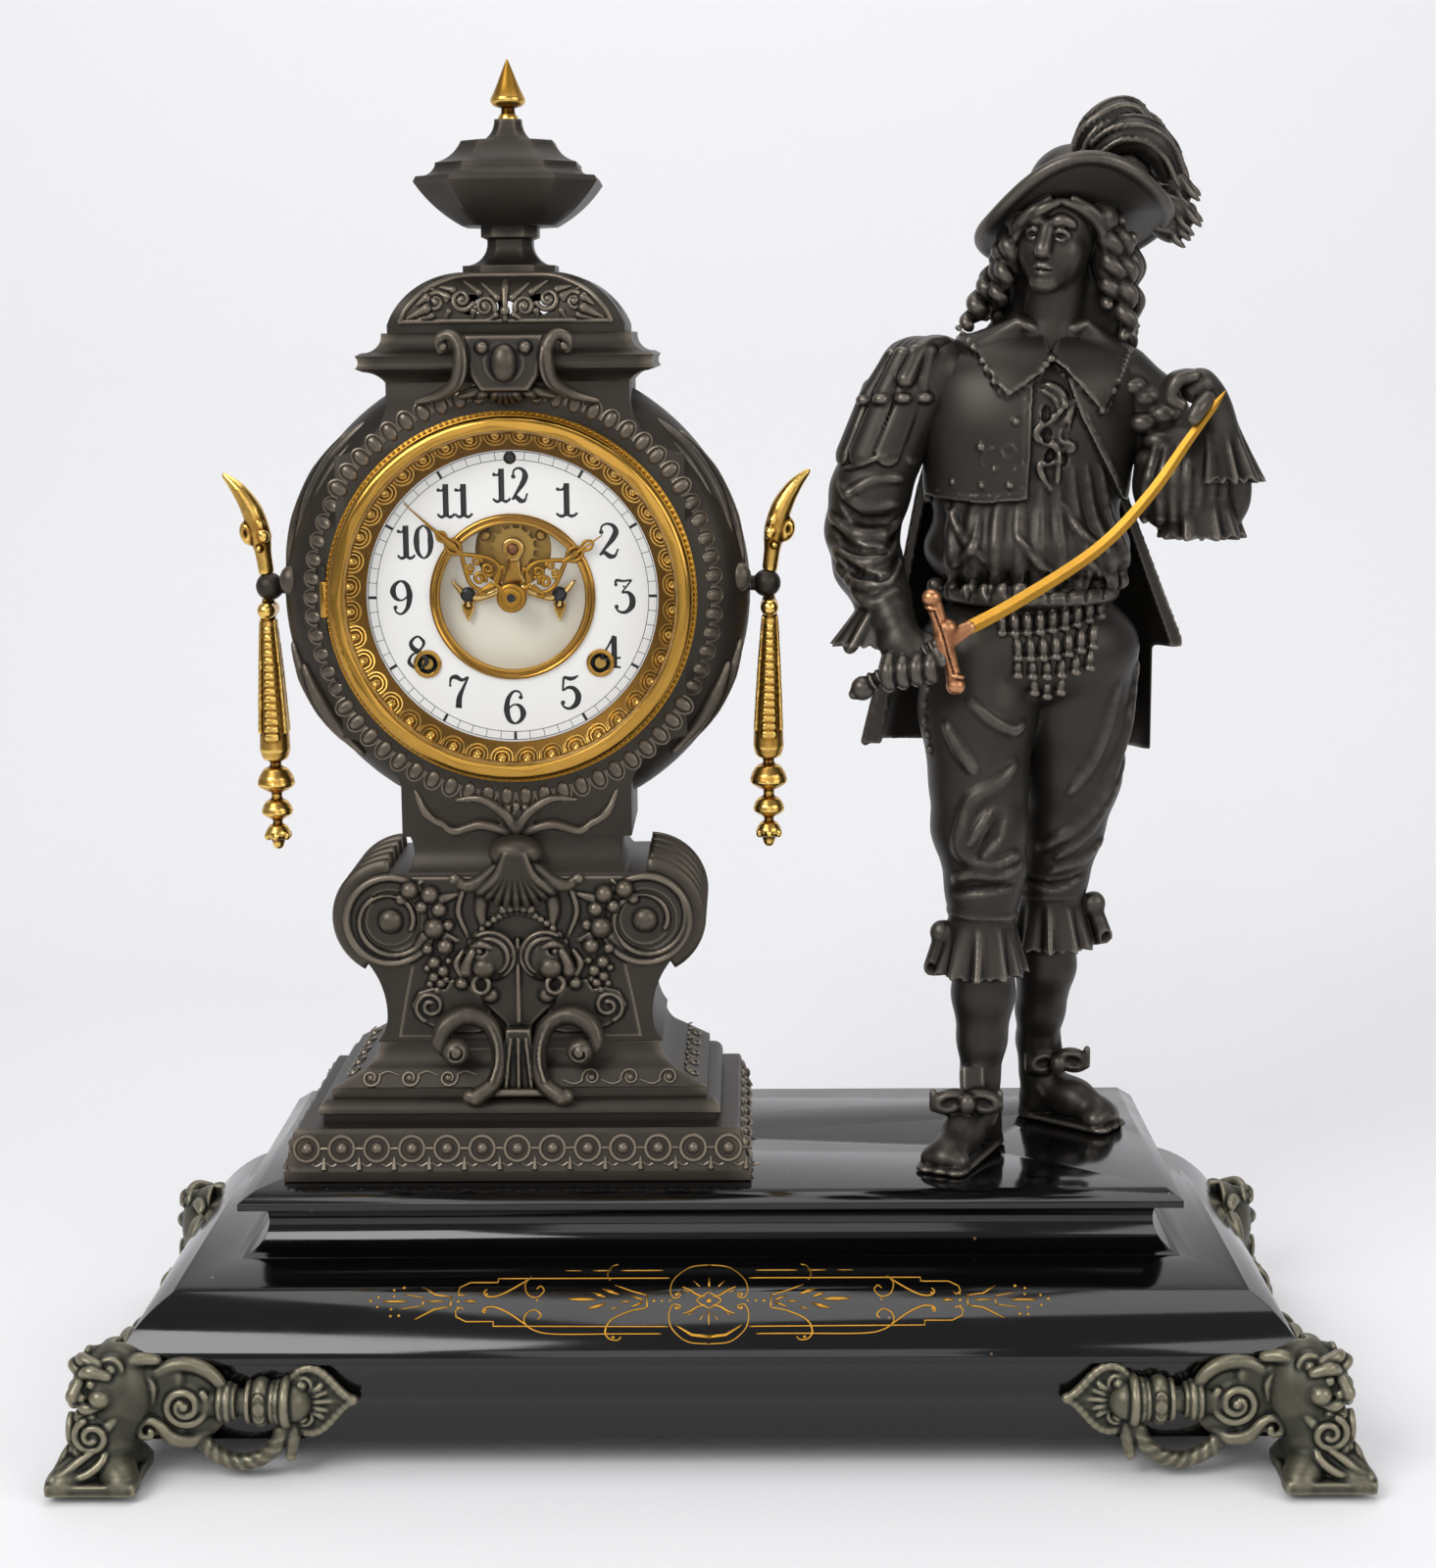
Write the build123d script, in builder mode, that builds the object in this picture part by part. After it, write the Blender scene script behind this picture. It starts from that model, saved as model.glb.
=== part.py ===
from build123d import *
import os
from math import atan2, cos, degrees, hypot, pi, radians, sin, sqrt

# A mantel clock with a standing figure: a moulded iron base on four corner feet, a cast clock
# case with its movement, and a cast figure that holds a sword. Millimetres, +Z up, front to -Y.
# The origin is the middle of the floor area that the four feet reach.

# Fits
running_gap = 0.06    # a shaft in its bearing, on the radius
thread_gap = 0.05     # a screw in its hole, on the radius
moving_gap = 0.3      # between pieces that move past each other
pass_gap = 0.8        # round an arbor that only passes through a piece

# Base
lip_half_width = 223.3
lip_half_depth = 90.55
lip_thickness = 3.2
lip_top = 48.1
skirt_inset = 4.0
skirt_wall = 5.0
skirt_bottom = 14.0
cushion_rise = 24.3
cushion_reach = 40.4
cushion_bow = 7.0
cove_height = 17.5
cove_inset = 8.4
cove_bow = 4.5
slab_step = 2.0
slab_edge = 2.8
slab_bevel_drop = 3.7
slab_bevel_reach = 6.1
slab_overhang = 0.8
base_wall = 6.0
tie_rod_x = 140.0
tie_rod_front = -15.0
tie_rod_back = 65.0
tie_rod_radius = 2.4
cross_bar_width = 16.0
cross_bar_thickness = 5.0
boss_radius = 6.5
boss_depth = 9.0

lip_bottom = lip_top - lip_thickness
skirt_half_width = lip_half_width - skirt_inset
skirt_half_depth = lip_half_depth - skirt_inset
cove_bottom = lip_top + cushion_rise
cove_half_width = lip_half_width - cushion_reach
cove_front = -lip_half_depth + cushion_reach
back_plane = lip_half_depth
slab_bottom = cove_bottom + cove_height
slab_rim = slab_bottom + slab_step
slab_half_width = cove_half_width + slab_overhang
slab_front = cove_front - slab_overhang
base_top_z = slab_rim + slab_edge + slab_bevel_drop

# Corner feet
foot_reach = 23.5     # how far a foot stands out past the lip
pad_size = 33.6
pad_height = 7.4
ankle_size = 19.0
ankle_z = 21.0
arm_axis_z = 31.0
arm_axis_out = 7.0
scroll_from_corner = 21.9
scroll_radius = 17.0
scroll_thickness = 12.0
ring_radius = 8.3
ring_from_corner = 37.5
knop_radius = 9.8
knop_from_corner = 50.5
bar_radius = 6.2
collar_from_corner = 59.5
heart_start = 61.5
heart_length = 23.5
heart_half_height = 12.7
heart_thickness = 6.0
swag_radius = 3.3
swag_drop = 26.5
swag_start = 18.0
swag_end = 62.0
mask_radius = 14.5
mask_half_height = 20.0
mask_z = 38.5
mask_out = 10.0
foot_screw_radius = 2.0
foot_screw_head = 5.0
foot_screw_depth = 6.0

# Case, each height measured from the piece below
case_x = -75.7
case_y = 21.8
plinth_half_width = 92.0
plinth_half_depth = 58.2
plinth_fillet = 5.2
plinth_floor = 8.0
case_bolt_x = 62.0
band_height = 15.4
band_inset = 4.4
recess_height = 3.5
recess_inset = 14.0
cyma_height = 5.5
cyma_inset = 12.0
ledge_height = 4.0
ledge_inset = 17.5
frieze_height = 6.6
frieze_inset = 30.0
ogee_height = 10.0
ogee_inset = 36.0
front_share = 0.72    # how much less the upper mouldings step in at the front than at the sides
pedestal_height = 68.7
pedestal_half_depth = 32.3
waist_half_width = 53.0
waist_height = 11.4
pedestal_foot_out = 4.0
volute_radius = 19.0
volute_center = 50.5
volute_boss = 12.0
volute_relief = 2.0
bracket_radius = 13.0
bracket_out = 12.0
shell_radius = 20.0
shell_out = 7.0
hood_height = 13.9
hood_half_width = 43.5
hood_bow = 2.0
case_wall = 6.0
dial_rise = 94.9
drum_front = -6.0
drum_back = 50.0
drum_rim_radius = 73.0
drum_shoulder_radius = 84.0
drum_shoulder_depth = 8.0
drum_radius = 93.0
drum_back_radius = 80.0
drum_inner_radius = 79.0
front_wall = 7.5
back_wall = 2.0
back_opening = 60.0
dial_opening = 62.0
dial_ledge = 57.6
ledge_depth = 2.5
ear_plate = 12.0
lower_neck_half = 45.5
lower_neck_drop = 74.5
upper_neck_half = 47.0
upper_neck_rise = 74.9
ear_half_width = 67.8
ear_top = 55.0
cornice_rise = 83.2
cornice_height = 18.7
cornice_out = 11.0
dome_height = 23.0
dome_rim = 3.0
dome_inset = 1.5
dome_half_depth = 30.0
dome_bow = 5.0
dome_wall = 3.0
dome_window = 5.0
urn_foot_half = 18.0
urn_waist_half = 8.7
urn_band_half = 11.0
urn_base_half = 17.8
urn_half = 35.3
urn_step_half = 27.2
urn_lid_half = 17.6
urn_knob_half = 8.6
urn_collar_half = 5.2
urn_waist_rise = 10.6
urn_base_rise = 17.7
urn_rim_rise = 34.2
urn_step_rise = 40.5
urn_lid_rise = 50.0
urn_height = 58.5
urn_facet = 1.11      # half size across the cut corners for each half width
finial_height = 22.8
finial_radius = 6.9
finial_neck = 2.6
urn_rod_radius = 2.0

plinth_steps = [plinth_fillet, band_height, recess_height, cyma_height, ledge_height, frieze_height]
plinth_top = base_top_z + sum(plinth_steps) + ogee_height
pedestal_top = plinth_top + pedestal_height
hood_top = pedestal_top + hood_height
dial_z = hood_top + dial_rise
cornice_bottom = dial_z + cornice_rise
dome_bottom = cornice_bottom + cornice_height
dome_top = dome_bottom + dome_height
urn_top = dome_top + urn_height
drum_half_depth = case_y - drum_front

# Side handles
boss_ball_radius = 5.6
boss_stem_radius = 3.0
boss_rise = 2.5
boss_out = 6.6
handle_half_width = 7.9

# Dial, bezel and hands
bezel_radius = 70.5
bezel_depth = 10.7
bezel_inner_radius = 63.5
glass_seat = 2.6      # how far the glass reaches under the bezel
glass_depth = 4.5
glass_thickness = 2.0
sash_inner_radius = 57.15
sash_thickness = 1.0
sash_depth = 6.5
hinge_out = 2.2
hinge_radius = 2.0
hinge_pin_radius = 0.9
hinge_knuckle = 7.0
hinge_leaf = 5.5
dial_radius = 61.5
dial_thickness = 2.0
center_hole = 31.2
center_ring_radius = 32.5
center_ring_height = 1.6
center_sleeve = 1.2
center_window = 28.4
center_depth = 7.4    # from the dial's face to the sunk centre plate
center_plate_thickness = 1.0
escape_window = 15.0
grommet_radius = 5.5
grommet_wall = 0.8
winding_hole = 3.8
winding_x = 34.0
winding_z = -26.2
regulator_z = 54.0
regulator_radius = 1.5
regulator_hole = 2.5
hand_thickness = 0.8
hour_hand_length = 43.0
minute_hand_length = 55.5
shown_hour = 1.0
shown_minute = 52.0
hand_nut_radius = 4.0

dial_back = drum_front + front_wall - ledge_depth
dial_front = dial_back - dial_thickness
ring_front = dial_front - center_ring_height
center_plate_y = dial_front + center_depth
hour_hand_y = ring_front - 1.4
minute_hand_y = hour_hand_y - 1.0 - hand_thickness
hand_nut_front = minute_hand_y - 1.8
bezel_back = drum_front - moving_gap
bezel_front = bezel_back - bezel_depth
glass_front = bezel_front + glass_depth
glass_back = glass_front + glass_thickness

# Movement
front_plate_y = 14.0
back_plate_y = 38.0
bridge_y = 2.6
bridge_thickness = 1.2
escape_y = 6.7
escape_thickness = 1.2
hour_wheel_y = 9.2
minute_wheel_y = 11.8
motion_thickness = 1.6
great_wheel_y = 18.5
great_thickness = 2.0
center_wheel_y = 22.5
train_thickness = 1.5
second_wheel_y = 26.5
third_wheel_y = 33.0
barrel_front = 22.0
barrel_back = 36.0
pinion_over = 0.6     # how far a pinion reaches past the wheel it meets, on each side
crutch_y = 40.0
crutch_thickness = 1.2
crutch_length = 30.0
pendulum_y = 42.2
pendulum_thickness = 1.2
movement_plate = 1.5
movement_radius = 62.0
lug_radius = 66.0
lug_size = 6.0
lug_screw_radius = 1.8
pillar_radius = 3.0
winding_arbor = 2.2
arbor_radius = 1.5
thin_arbor = 0.9
cannon_radius = 2.2
hour_pipe_radius = 3.4
barrel_radius = 18.0
escape_z = 18.2
escape_radius = 10.5
escape_root = 8.0
escape_teeth = 15
pallet_rise = 14.8
bridge_arm = 18.5
bridge_post = 1.8
pendulum_length = 95.0
pendulum_half_width = 1.0
bob_radius = 14.0
bob_thickness = 5.0
bob_front = 40.3
cock_rise = 13.0
cock_post = 2.5
hammer_x = -8.0
hammer_z = -57.0
hammer_y = 24.0
hammer_head = 4.0
hammer_rest = 0.6     # between the resting hammer and the bell
bell_x = 13.0
bell_radius = 17.0
bell_wall = 2.0
bell_rise = 16.0
door_radius = 64.0
door_thickness = 1.5

# Tooth counts
cannon_teeth = 12
minute_wheel_teeth = 36
minute_pinion_teeth = 10
hour_wheel_teeth = 40
motion_distance = 16.0
great_teeth = 60
second_pinion_teeth = 10
great_module = 1.0
second_teeth = 36
center_pinion_teeth = 18
second_module = 0.8
center_teeth = 56
third_pinion_teeth = 8
center_module = 0.55
third_teeth = 56
escape_pinion_teeth = 8
third_module = 0.5

# Figure: where it stands; its pose is given as offsets from there, the legs' as shares of
# the hip height and the arms' and sword's from the hips
figure_x = 127.0
figure_y = 22.0
hip_height = 193.6
chest_length = 132.0     # hips to collar
head_length = 45.4       # collar to brow
sword_out = -47.0
hand_radius = 9.0
elbow_radius = 14.8
shoe_height = 13.0
shoe_half_width = 8.5
coat_wall = 5.0
grip_radius = 3.0
guard_radius = 2.4
guard_disc = 9.0
blade_half_width = 3.2
blade_thickness = 2.0


def stepped_side(edge, side, levels):
    # One side of a stepped outline from its lowest level to its highest. A level has how far it
    # stands out from the edge, its height, and how far the stretch below it bows outwards.
    start = (edge + side * levels[0][0], levels[0][1])
    for out, height, bow in levels[1:]:
        end = (edge + side * out, height)
        if bow:
            run, rise = end[0] - start[0], end[1] - start[1]
            length = hypot(run, rise)
            middle = (
                (start[0] + end[0]) / 2 + side * bow * rise / length,
                (start[1] + end[1]) / 2 - side * bow * run / length,
            )
            ThreePointArc(start, middle, end)
        else:
            Line(start, end)
        start = end


def stepped_block(levels, half_width, half_depth, middle=(0, 0), flat_back=None):
    # A block with mitred mouldings. Each level is (out at the sides, out at the front, height,
    # bow), and flat_back is the plane that cuts the back off where it is given.
    side_levels = [(out_x, z, bow) for out_x, out_y, z, bow in levels]
    front_levels = [(out_y, z, bow) for out_x, out_y, z, bow in levels]
    bottom, top = levels[0][2], levels[-1][2]
    reach = 2 * (half_width + half_depth)
    with BuildPart() as block:
        with BuildSketch(Plane.XZ):
            with BuildLine():
                stepped_side(middle[0] + half_width, 1, side_levels)
                stepped_side(middle[0] - half_width, -1, side_levels)
                for level, z in ((side_levels[0], bottom), (side_levels[-1], top)):
                    half = half_width + level[0]
                    Line((middle[0] - half, z), (middle[0] + half, z))
            make_face()
        extrude(amount=reach, both=True)
        with BuildSketch(Plane.YZ):
            with BuildLine():
                stepped_side(middle[1] - half_depth, -1, front_levels)
                if flat_back is None:
                    stepped_side(middle[1] + half_depth, 1, front_levels)
                else:
                    Line((flat_back, bottom), (flat_back, top))
                for level, z in ((front_levels[0], bottom), (front_levels[-1], top)):
                    back = middle[1] + half_depth + level[0] if flat_back is None else flat_back
                    Line((middle[1] - half_depth - level[0], z), (back, z))
            make_face()
        extrude(amount=reach, both=True, mode=Mode.INTERSECT)
    return block.part


def lofted(sections):
    # A rounded body through level ellipses, each (x, y, z, half width, half depth).
    with BuildPart() as body:
        for x, y, z, half_width, half_depth in sections:
            with BuildSketch(Plane(origin=(x, y, z))):
                Ellipse(half_width, half_depth)
        loft()
    return body.part


def limb(stations):
    # A rounded limb through circles square to the line that joins the stations, each
    # ((x, y, z), radius).
    points = [Vector(*place) for place, radius in stations]
    with BuildPart() as body:
        for index, (place, radius) in enumerate(stations):
            before = points[max(index - 1, 0)]
            after = points[min(index + 1, len(points) - 1)]
            direction = (after - before).normalized()
            across = Vector(0, 1, 0).cross(direction).normalized()
            with BuildSketch(Plane(origin=place, x_dir=across, z_dir=direction)):
                Circle(radius)
        loft()
    return body.part


def dial_plane(y, x=0.0, z=0.0):
    # A plane parallel to the dial, measured from the dial's centre, facing the front.
    return Plane(origin=(case_x + x, y, dial_z + z), x_dir=(1, 0, 0), z_dir=(0, -1, 0))


def gear_points(teeth, module, phase):
    # A wheel with straight-sided teeth that are slim enough to turn freely in mesh.
    pitch_radius = teeth * module / 2
    tip = pitch_radius + 0.75 * module
    root = pitch_radius - 1.15 * module
    pitch_angle = 2 * pi / teeth
    points = []
    for tooth in range(teeth):
        middle = phase + tooth * pitch_angle
        for radius, share in ((root, -0.25), (tip, -0.1), (tip, 0.1), (root, 0.25)):
            angle = middle + share * pitch_angle
            points.append((radius * cos(angle), radius * sin(angle)))
    return points


def turned(outline, place=(0, 0)):
    # A piece turned about an axis square to the dial; the outline is (depth, radius) points.
    x, z = place
    section = Plane((case_x + x, 0, dial_z + z), x_dir=(0, 1, 0), z_dir=(1, 0, 0))
    with BuildPart() as body:
        with BuildSketch(section):
            Polygon(*outline, align=None)
        revolve(axis=Axis((case_x + x, 0, dial_z + z), (0, 1, 0)))
    return body.part


def rod(front, back, radius, place=(0, 0), bore=0):
    # A round bar square to the dial, hollow where a bore is given.
    return turned([(front, bore), (front, radius), (back, radius), (back, bore)], place)


def wheel(points, front, thickness, place=(0, 0)):
    # A flat toothed wheel or a flat plate parallel to the dial.
    with BuildPart() as body:
        with BuildSketch(dial_plane(front, *place)):
            Polygon(*points, align=None)
        extrude(amount=-thickness)
    return body.part


def meshed_phase(line_angle, phase, teeth, other_teeth):
    # The angle of a tooth of the other wheel that puts its gap on this wheel's tooth.
    share = ((line_angle - phase) * teeth / (2 * pi)) % 1
    return line_angle + pi - (0.5 - share) * 2 * pi / other_teeth


def meeting_point(first, second, first_distance, second_distance, side):
    # The place at the two given distances from two arbors.
    run, rise = second[0] - first[0], second[1] - first[1]
    span = hypot(run, rise)
    along = (first_distance**2 - second_distance**2 + span**2) / (2 * span)
    across = side * sqrt(first_distance**2 - along**2)
    return (
        first[0] + (along * run - across * rise) / span,
        first[1] + (along * rise + across * run) / span,
    )


# The base, from the floor up

cushion_levels = [
    (0, 0, lip_bottom, 0),
    (0, 0, lip_top, 0),
    (-cushion_reach, -cushion_reach, cove_bottom, cushion_bow),
]
cushion_void_levels = [
    (-skirt_inset - base_wall, -skirt_inset - base_wall, lip_bottom, 0),
    (-skirt_inset - base_wall, -skirt_inset - base_wall, lip_top, 0),
    (-cushion_reach - base_wall, -cushion_reach - base_wall, cove_bottom - base_wall, cushion_bow),
    (-cushion_reach - base_wall, -cushion_reach - base_wall, cove_bottom, 0),
]
cove_levels = [
    (0, 0, cove_bottom, 0),
    (-cove_inset, -cove_inset, slab_bottom, -cove_bow),
]
cove_void = cove_inset + base_wall + cove_bow
slab_levels = [
    (-cove_inset + slab_step, -cove_inset + slab_step, slab_bottom, 0),
    (-cove_inset + slab_step, -cove_inset + slab_step, slab_rim, 0),
    (0, 0, slab_rim, 0),
    (0, 0, slab_rim + slab_edge, 0),
    (-slab_bevel_reach, -slab_bevel_reach, base_top_z, 0),
]
inner_back = back_plane - base_wall
tie_rod_places = [(x, y) for x in (-tie_rod_x, tie_rod_x) for y in (tie_rod_front, tie_rod_back)]
bar_top = lip_bottom - moving_gap
bar_bottom = bar_top - cross_bar_thickness
slab_underside = base_top_z - base_wall
figure_bolt_places = [(figure_x - 20.0, figure_y - 15.0), (figure_x + 13.0, figure_y + 28.0)]
case_bolt_places = [(case_x - case_bolt_x, case_y), (case_x + case_bolt_x, case_y)]
stud_places = figure_bolt_places + case_bolt_places
stud_top = base_top_z + plinth_floor - 1.0

cushion_block = stepped_block(cushion_levels, lip_half_width, lip_half_depth, flat_back=back_plane)
cushion_void = stepped_block(cushion_void_levels, lip_half_width, lip_half_depth, flat_back=inner_back)
cove_block = stepped_block(
    cove_levels, cove_half_width, lip_half_depth - cushion_reach, flat_back=back_plane
)
slab_block = stepped_block(
    slab_levels, slab_half_width, -slab_front, flat_back=back_plane
)

foot_screw_places = []
for side_x in (-1, 1):
    for side_y in (-1, 1):
        along_x = side_x * (skirt_half_width - scroll_from_corner)
        along_y = side_y * (skirt_half_depth - scroll_from_corner)
        foot_screw_places.append(
            Plane((along_x, side_y * skirt_half_depth, arm_axis_z), z_dir=(0, side_y, 0))
        )
        foot_screw_places.append(
            Plane((side_x * skirt_half_width, along_y, arm_axis_z), z_dir=(side_x, 0, 0))
        )

with BuildPart() as base_skirt:
    with BuildSketch(Plane.XY.offset(skirt_bottom)):
        Rectangle(2 * skirt_half_width, 2 * skirt_half_depth)
        Rectangle(
            2 * (skirt_half_width - skirt_wall),
            2 * (skirt_half_depth - skirt_wall),
            mode=Mode.SUBTRACT,
        )
    extrude(amount=lip_bottom - skirt_bottom)
    with BuildSketch(Plane.XY.offset(bar_bottom)):
        with Locations((-tie_rod_x, 0), (tie_rod_x, 0)):
            Rectangle(cross_bar_width, 2 * skirt_half_depth - skirt_wall)
    extrude(amount=cross_bar_thickness)
    with BuildSketch(Plane.XY.offset(bar_bottom)):
        with Locations(*tie_rod_places):
            Circle(tie_rod_radius + thread_gap)
    extrude(amount=cross_bar_thickness, mode=Mode.SUBTRACT)
    for place in foot_screw_places:
        with BuildSketch(place):
            Circle(foot_screw_radius + thread_gap)
        extrude(amount=-skirt_wall, mode=Mode.SUBTRACT)

with BuildPart() as base_cushion:
    add(cushion_block)
    add(cushion_void, mode=Mode.SUBTRACT)

with BuildPart() as base_cove:
    add(cove_block)
    with BuildSketch(Plane.XY.offset(cove_bottom)):
        with Locations((0, (cove_front + cove_void + inner_back) / 2)):
            Rectangle(2 * (cove_half_width - cove_void), inner_back - cove_front - cove_void)
    extrude(amount=cove_height, mode=Mode.SUBTRACT)

with BuildPart() as base_top:
    add(slab_block)
    with BuildSketch(Plane.XY.offset(slab_bottom)):
        with Locations((0, (cove_front + cove_void + inner_back) / 2)):
            Rectangle(2 * (cove_half_width - cove_void), inner_back - cove_front - cove_void)
    extrude(amount=slab_underside - slab_bottom, mode=Mode.SUBTRACT)
    with BuildSketch(Plane.XY.offset(slab_underside - boss_depth)):
        with Locations(*tie_rod_places):
            Circle(boss_radius)
    extrude(amount=boss_depth)
    with BuildSketch(Plane.XY.offset(slab_underside - boss_depth)):
        with Locations(*tie_rod_places):
            Circle(tie_rod_radius + thread_gap)
    extrude(amount=boss_depth, mode=Mode.SUBTRACT)
    with BuildSketch(Plane.XY.offset(slab_underside)):
        with Locations(*stud_places):
            Circle(foot_screw_radius + thread_gap)
    extrude(amount=base_wall, mode=Mode.SUBTRACT)

with BuildPart() as base_fasteners:
    with BuildSketch(Plane.XY.offset(bar_bottom)):
        with Locations(*tie_rod_places):
            RegularPolygon(2 * tie_rod_radius, 6)
    extrude(amount=-1.6 * tie_rod_radius)
    with BuildSketch(Plane.XY.offset(bar_bottom)):
        with Locations(*tie_rod_places):
            Circle(tie_rod_radius)
    extrude(amount=slab_underside - bar_bottom)
    with BuildSketch(Plane.XY.offset(slab_underside)):
        with Locations(*stud_places):
            RegularPolygon(2 * foot_screw_radius, 6)
    extrude(amount=-1.6 * foot_screw_radius)
    with BuildSketch(Plane.XY.offset(slab_underside)):
        with Locations(*stud_places):
            Circle(foot_screw_radius)
    extrude(amount=stud_top - slab_underside)
    for place in foot_screw_places:
        with BuildSketch(place.offset(-skirt_wall)):
            Circle(foot_screw_head)
        extrude(amount=-foot_screw_radius)
        with BuildSketch(place.offset(-skirt_wall)):
            Circle(foot_screw_radius)
        extrude(amount=skirt_wall + foot_screw_depth)

# The four corner feet: a scroll arm along each side of the corner, a mask and a splayed pad

corner_x = skirt_half_width
corner_y = -skirt_half_depth
pad_corner = lip_half_width + foot_reach
pad_front = -lip_half_depth - foot_reach
pad_middle = (pad_corner - pad_size / 2, pad_front + pad_size / 2)
ankle_middle = (corner_x + mask_out, corner_y - mask_out)
arm_plane = Plane((corner_x, corner_y, arm_axis_z), x_dir=(-1, 0, 0), z_dir=(0, 1, 0))
arm_axis_plane = Plane(
    (corner_x, corner_y - arm_axis_out, arm_axis_z), x_dir=(-1, 0, 0), z_dir=(0, 1, 0)
)
arm_axis = Axis((corner_x, corner_y - arm_axis_out, arm_axis_z), (-1, 0, 0))
corner_mirror = Plane((corner_x, corner_y, 0), z_dir=(1, 1, 0))
ring_half = 3.0
neck_radius = 0.7 * bar_radius
heart_middle = heart_start + 0.4 * heart_length
heart_tip = heart_start + heart_length

mask_sections = [(-1.0, 0.45), (-0.5, 0.87), (0.0, 1.0), (0.5, 0.9), (1.0, 0.5)]
mask = lofted(
    [
        (*ankle_middle, mask_z + rise * mask_half_height, share * mask_radius, share * mask_radius)
        for rise, share in mask_sections
    ]
)

with BuildPart() as base_outline:
    add(cushion_block)
    with BuildSketch(Plane.XY.offset(skirt_bottom)):
        Rectangle(2 * skirt_half_width, 2 * skirt_half_depth)
    extrude(amount=lip_bottom - skirt_bottom)

with BuildPart() as foot_front_right:
    with BuildSketch(arm_plane):
        with Locations((scroll_from_corner, 0)):
            Circle(scroll_radius)
    extrude(amount=-scroll_thickness)
    with BuildSketch(arm_axis_plane):
        with BuildLine():
            Polyline(
                (scroll_from_corner, 0),
                (scroll_from_corner, bar_radius),
                (ring_from_corner - ring_half, bar_radius),
                (ring_from_corner - ring_half, ring_radius),
                (ring_from_corner + ring_half, ring_radius),
                (ring_from_corner + ring_half, neck_radius),
                (knop_from_corner - knop_radius * 0.6, neck_radius),
            )
            ThreePointArc(
                (knop_from_corner - knop_radius * 0.6, neck_radius),
                (knop_from_corner, knop_radius),
                (knop_from_corner + knop_radius * 0.6, neck_radius),
            )
            Polyline(
                (knop_from_corner + knop_radius * 0.6, neck_radius),
                (collar_from_corner - ring_half / 2, neck_radius),
                (collar_from_corner - ring_half / 2, ring_radius),
                (collar_from_corner + ring_half / 2, ring_radius),
                (collar_from_corner + ring_half / 2, neck_radius),
                (heart_start + ring_half, neck_radius),
                (heart_start + ring_half, 0),
                (scroll_from_corner, 0),
            )
        make_face()
    revolve(axis=arm_axis)
    with BuildSketch(arm_plane):
        with BuildLine():
            for side in (-1, 1):
                ThreePointArc(
                    (heart_start + ring_half, 0),
                    (heart_start + ring_half / 2, side * heart_half_height * 0.7),
                    (heart_middle, side * heart_half_height),
                )
                ThreePointArc(
                    (heart_middle, side * heart_half_height),
                    (heart_tip - heart_length * 0.24, side * heart_half_height * 0.64),
                    (heart_tip, 0),
                )
        make_face()
    extrude(amount=-heart_thickness)
    with BuildLine(arm_axis_plane) as swag_line:
        ThreePointArc(
            (swag_start, -bar_radius),
            ((swag_start + swag_end) / 2, -swag_drop),
            (swag_end, -bar_radius / 2),
        )
    with BuildSketch(Plane(swag_line.line @ 0, z_dir=swag_line.line % 0)):
        Circle(swag_radius)
    sweep(path=swag_line.line)
    mirror(about=corner_mirror)
    with BuildSketch():
        with Locations(pad_middle):
            Rectangle(pad_size, pad_size)
    extrude(amount=pad_height)
    with BuildSketch(Plane.XY.offset(pad_height)):
        with Locations(pad_middle):
            Rectangle(pad_size, pad_size)
    with BuildSketch(Plane.XY.offset(ankle_z)):
        with Locations(ankle_middle):
            Rectangle(ankle_size, ankle_size)
    loft()
    with BuildSketch(Plane.XY.offset(ankle_z)):
        with Locations((corner_x, corner_y)):
            Rectangle(2 * ankle_size, 2 * ankle_size)
    extrude(amount=lip_bottom - ankle_z)
    add(mask)
    add(base_outline.part, mode=Mode.SUBTRACT)
    for place in foot_screw_places:
        with BuildSketch(place):
            Circle(foot_screw_radius + thread_gap)
        extrude(amount=foot_screw_depth + thread_gap, mode=Mode.SUBTRACT)

with BuildPart() as foot_front_left:
    mirror(foot_front_right.part, about=Plane.YZ)

with BuildPart() as foot_rear_right:
    mirror(foot_front_right.part, about=Plane.XZ)
    add(base_outline.part, mode=Mode.SUBTRACT)

with BuildPart() as foot_rear_left:
    mirror(foot_front_left.part, about=Plane.XZ)
    add(base_outline.part, mode=Mode.SUBTRACT)

# The clock case, from the plinth up to the finial

case_middle = (case_x, case_y)
band_bottom = base_top_z + plinth_fillet
recess_bottom = band_bottom + band_height
cyma_bottom = recess_bottom + recess_height
ledge_bottom = cyma_bottom + cyma_height
frieze_bottom = ledge_bottom + ledge_height
ogee_bottom = frieze_bottom + frieze_height
plinth_levels = [
    (0, 0, base_top_z, 0),
    (0, 0, band_bottom, 0),
    (-band_inset, -band_inset, recess_bottom, 0),
    (-recess_inset, -recess_inset, recess_bottom, 0),
    (-recess_inset, -recess_inset, cyma_bottom, 0),
    (-cyma_inset, -cyma_inset, cyma_bottom, 0),
    (-ledge_inset, -ledge_inset, ledge_bottom, 1.5),
    (-ledge_inset, -ledge_inset, frieze_bottom, 0),
    (-frieze_inset, -front_share * frieze_inset, ogee_bottom, 0),
    (-ogee_inset, -front_share * ogee_inset, plinth_top, -1.5),
]
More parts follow.
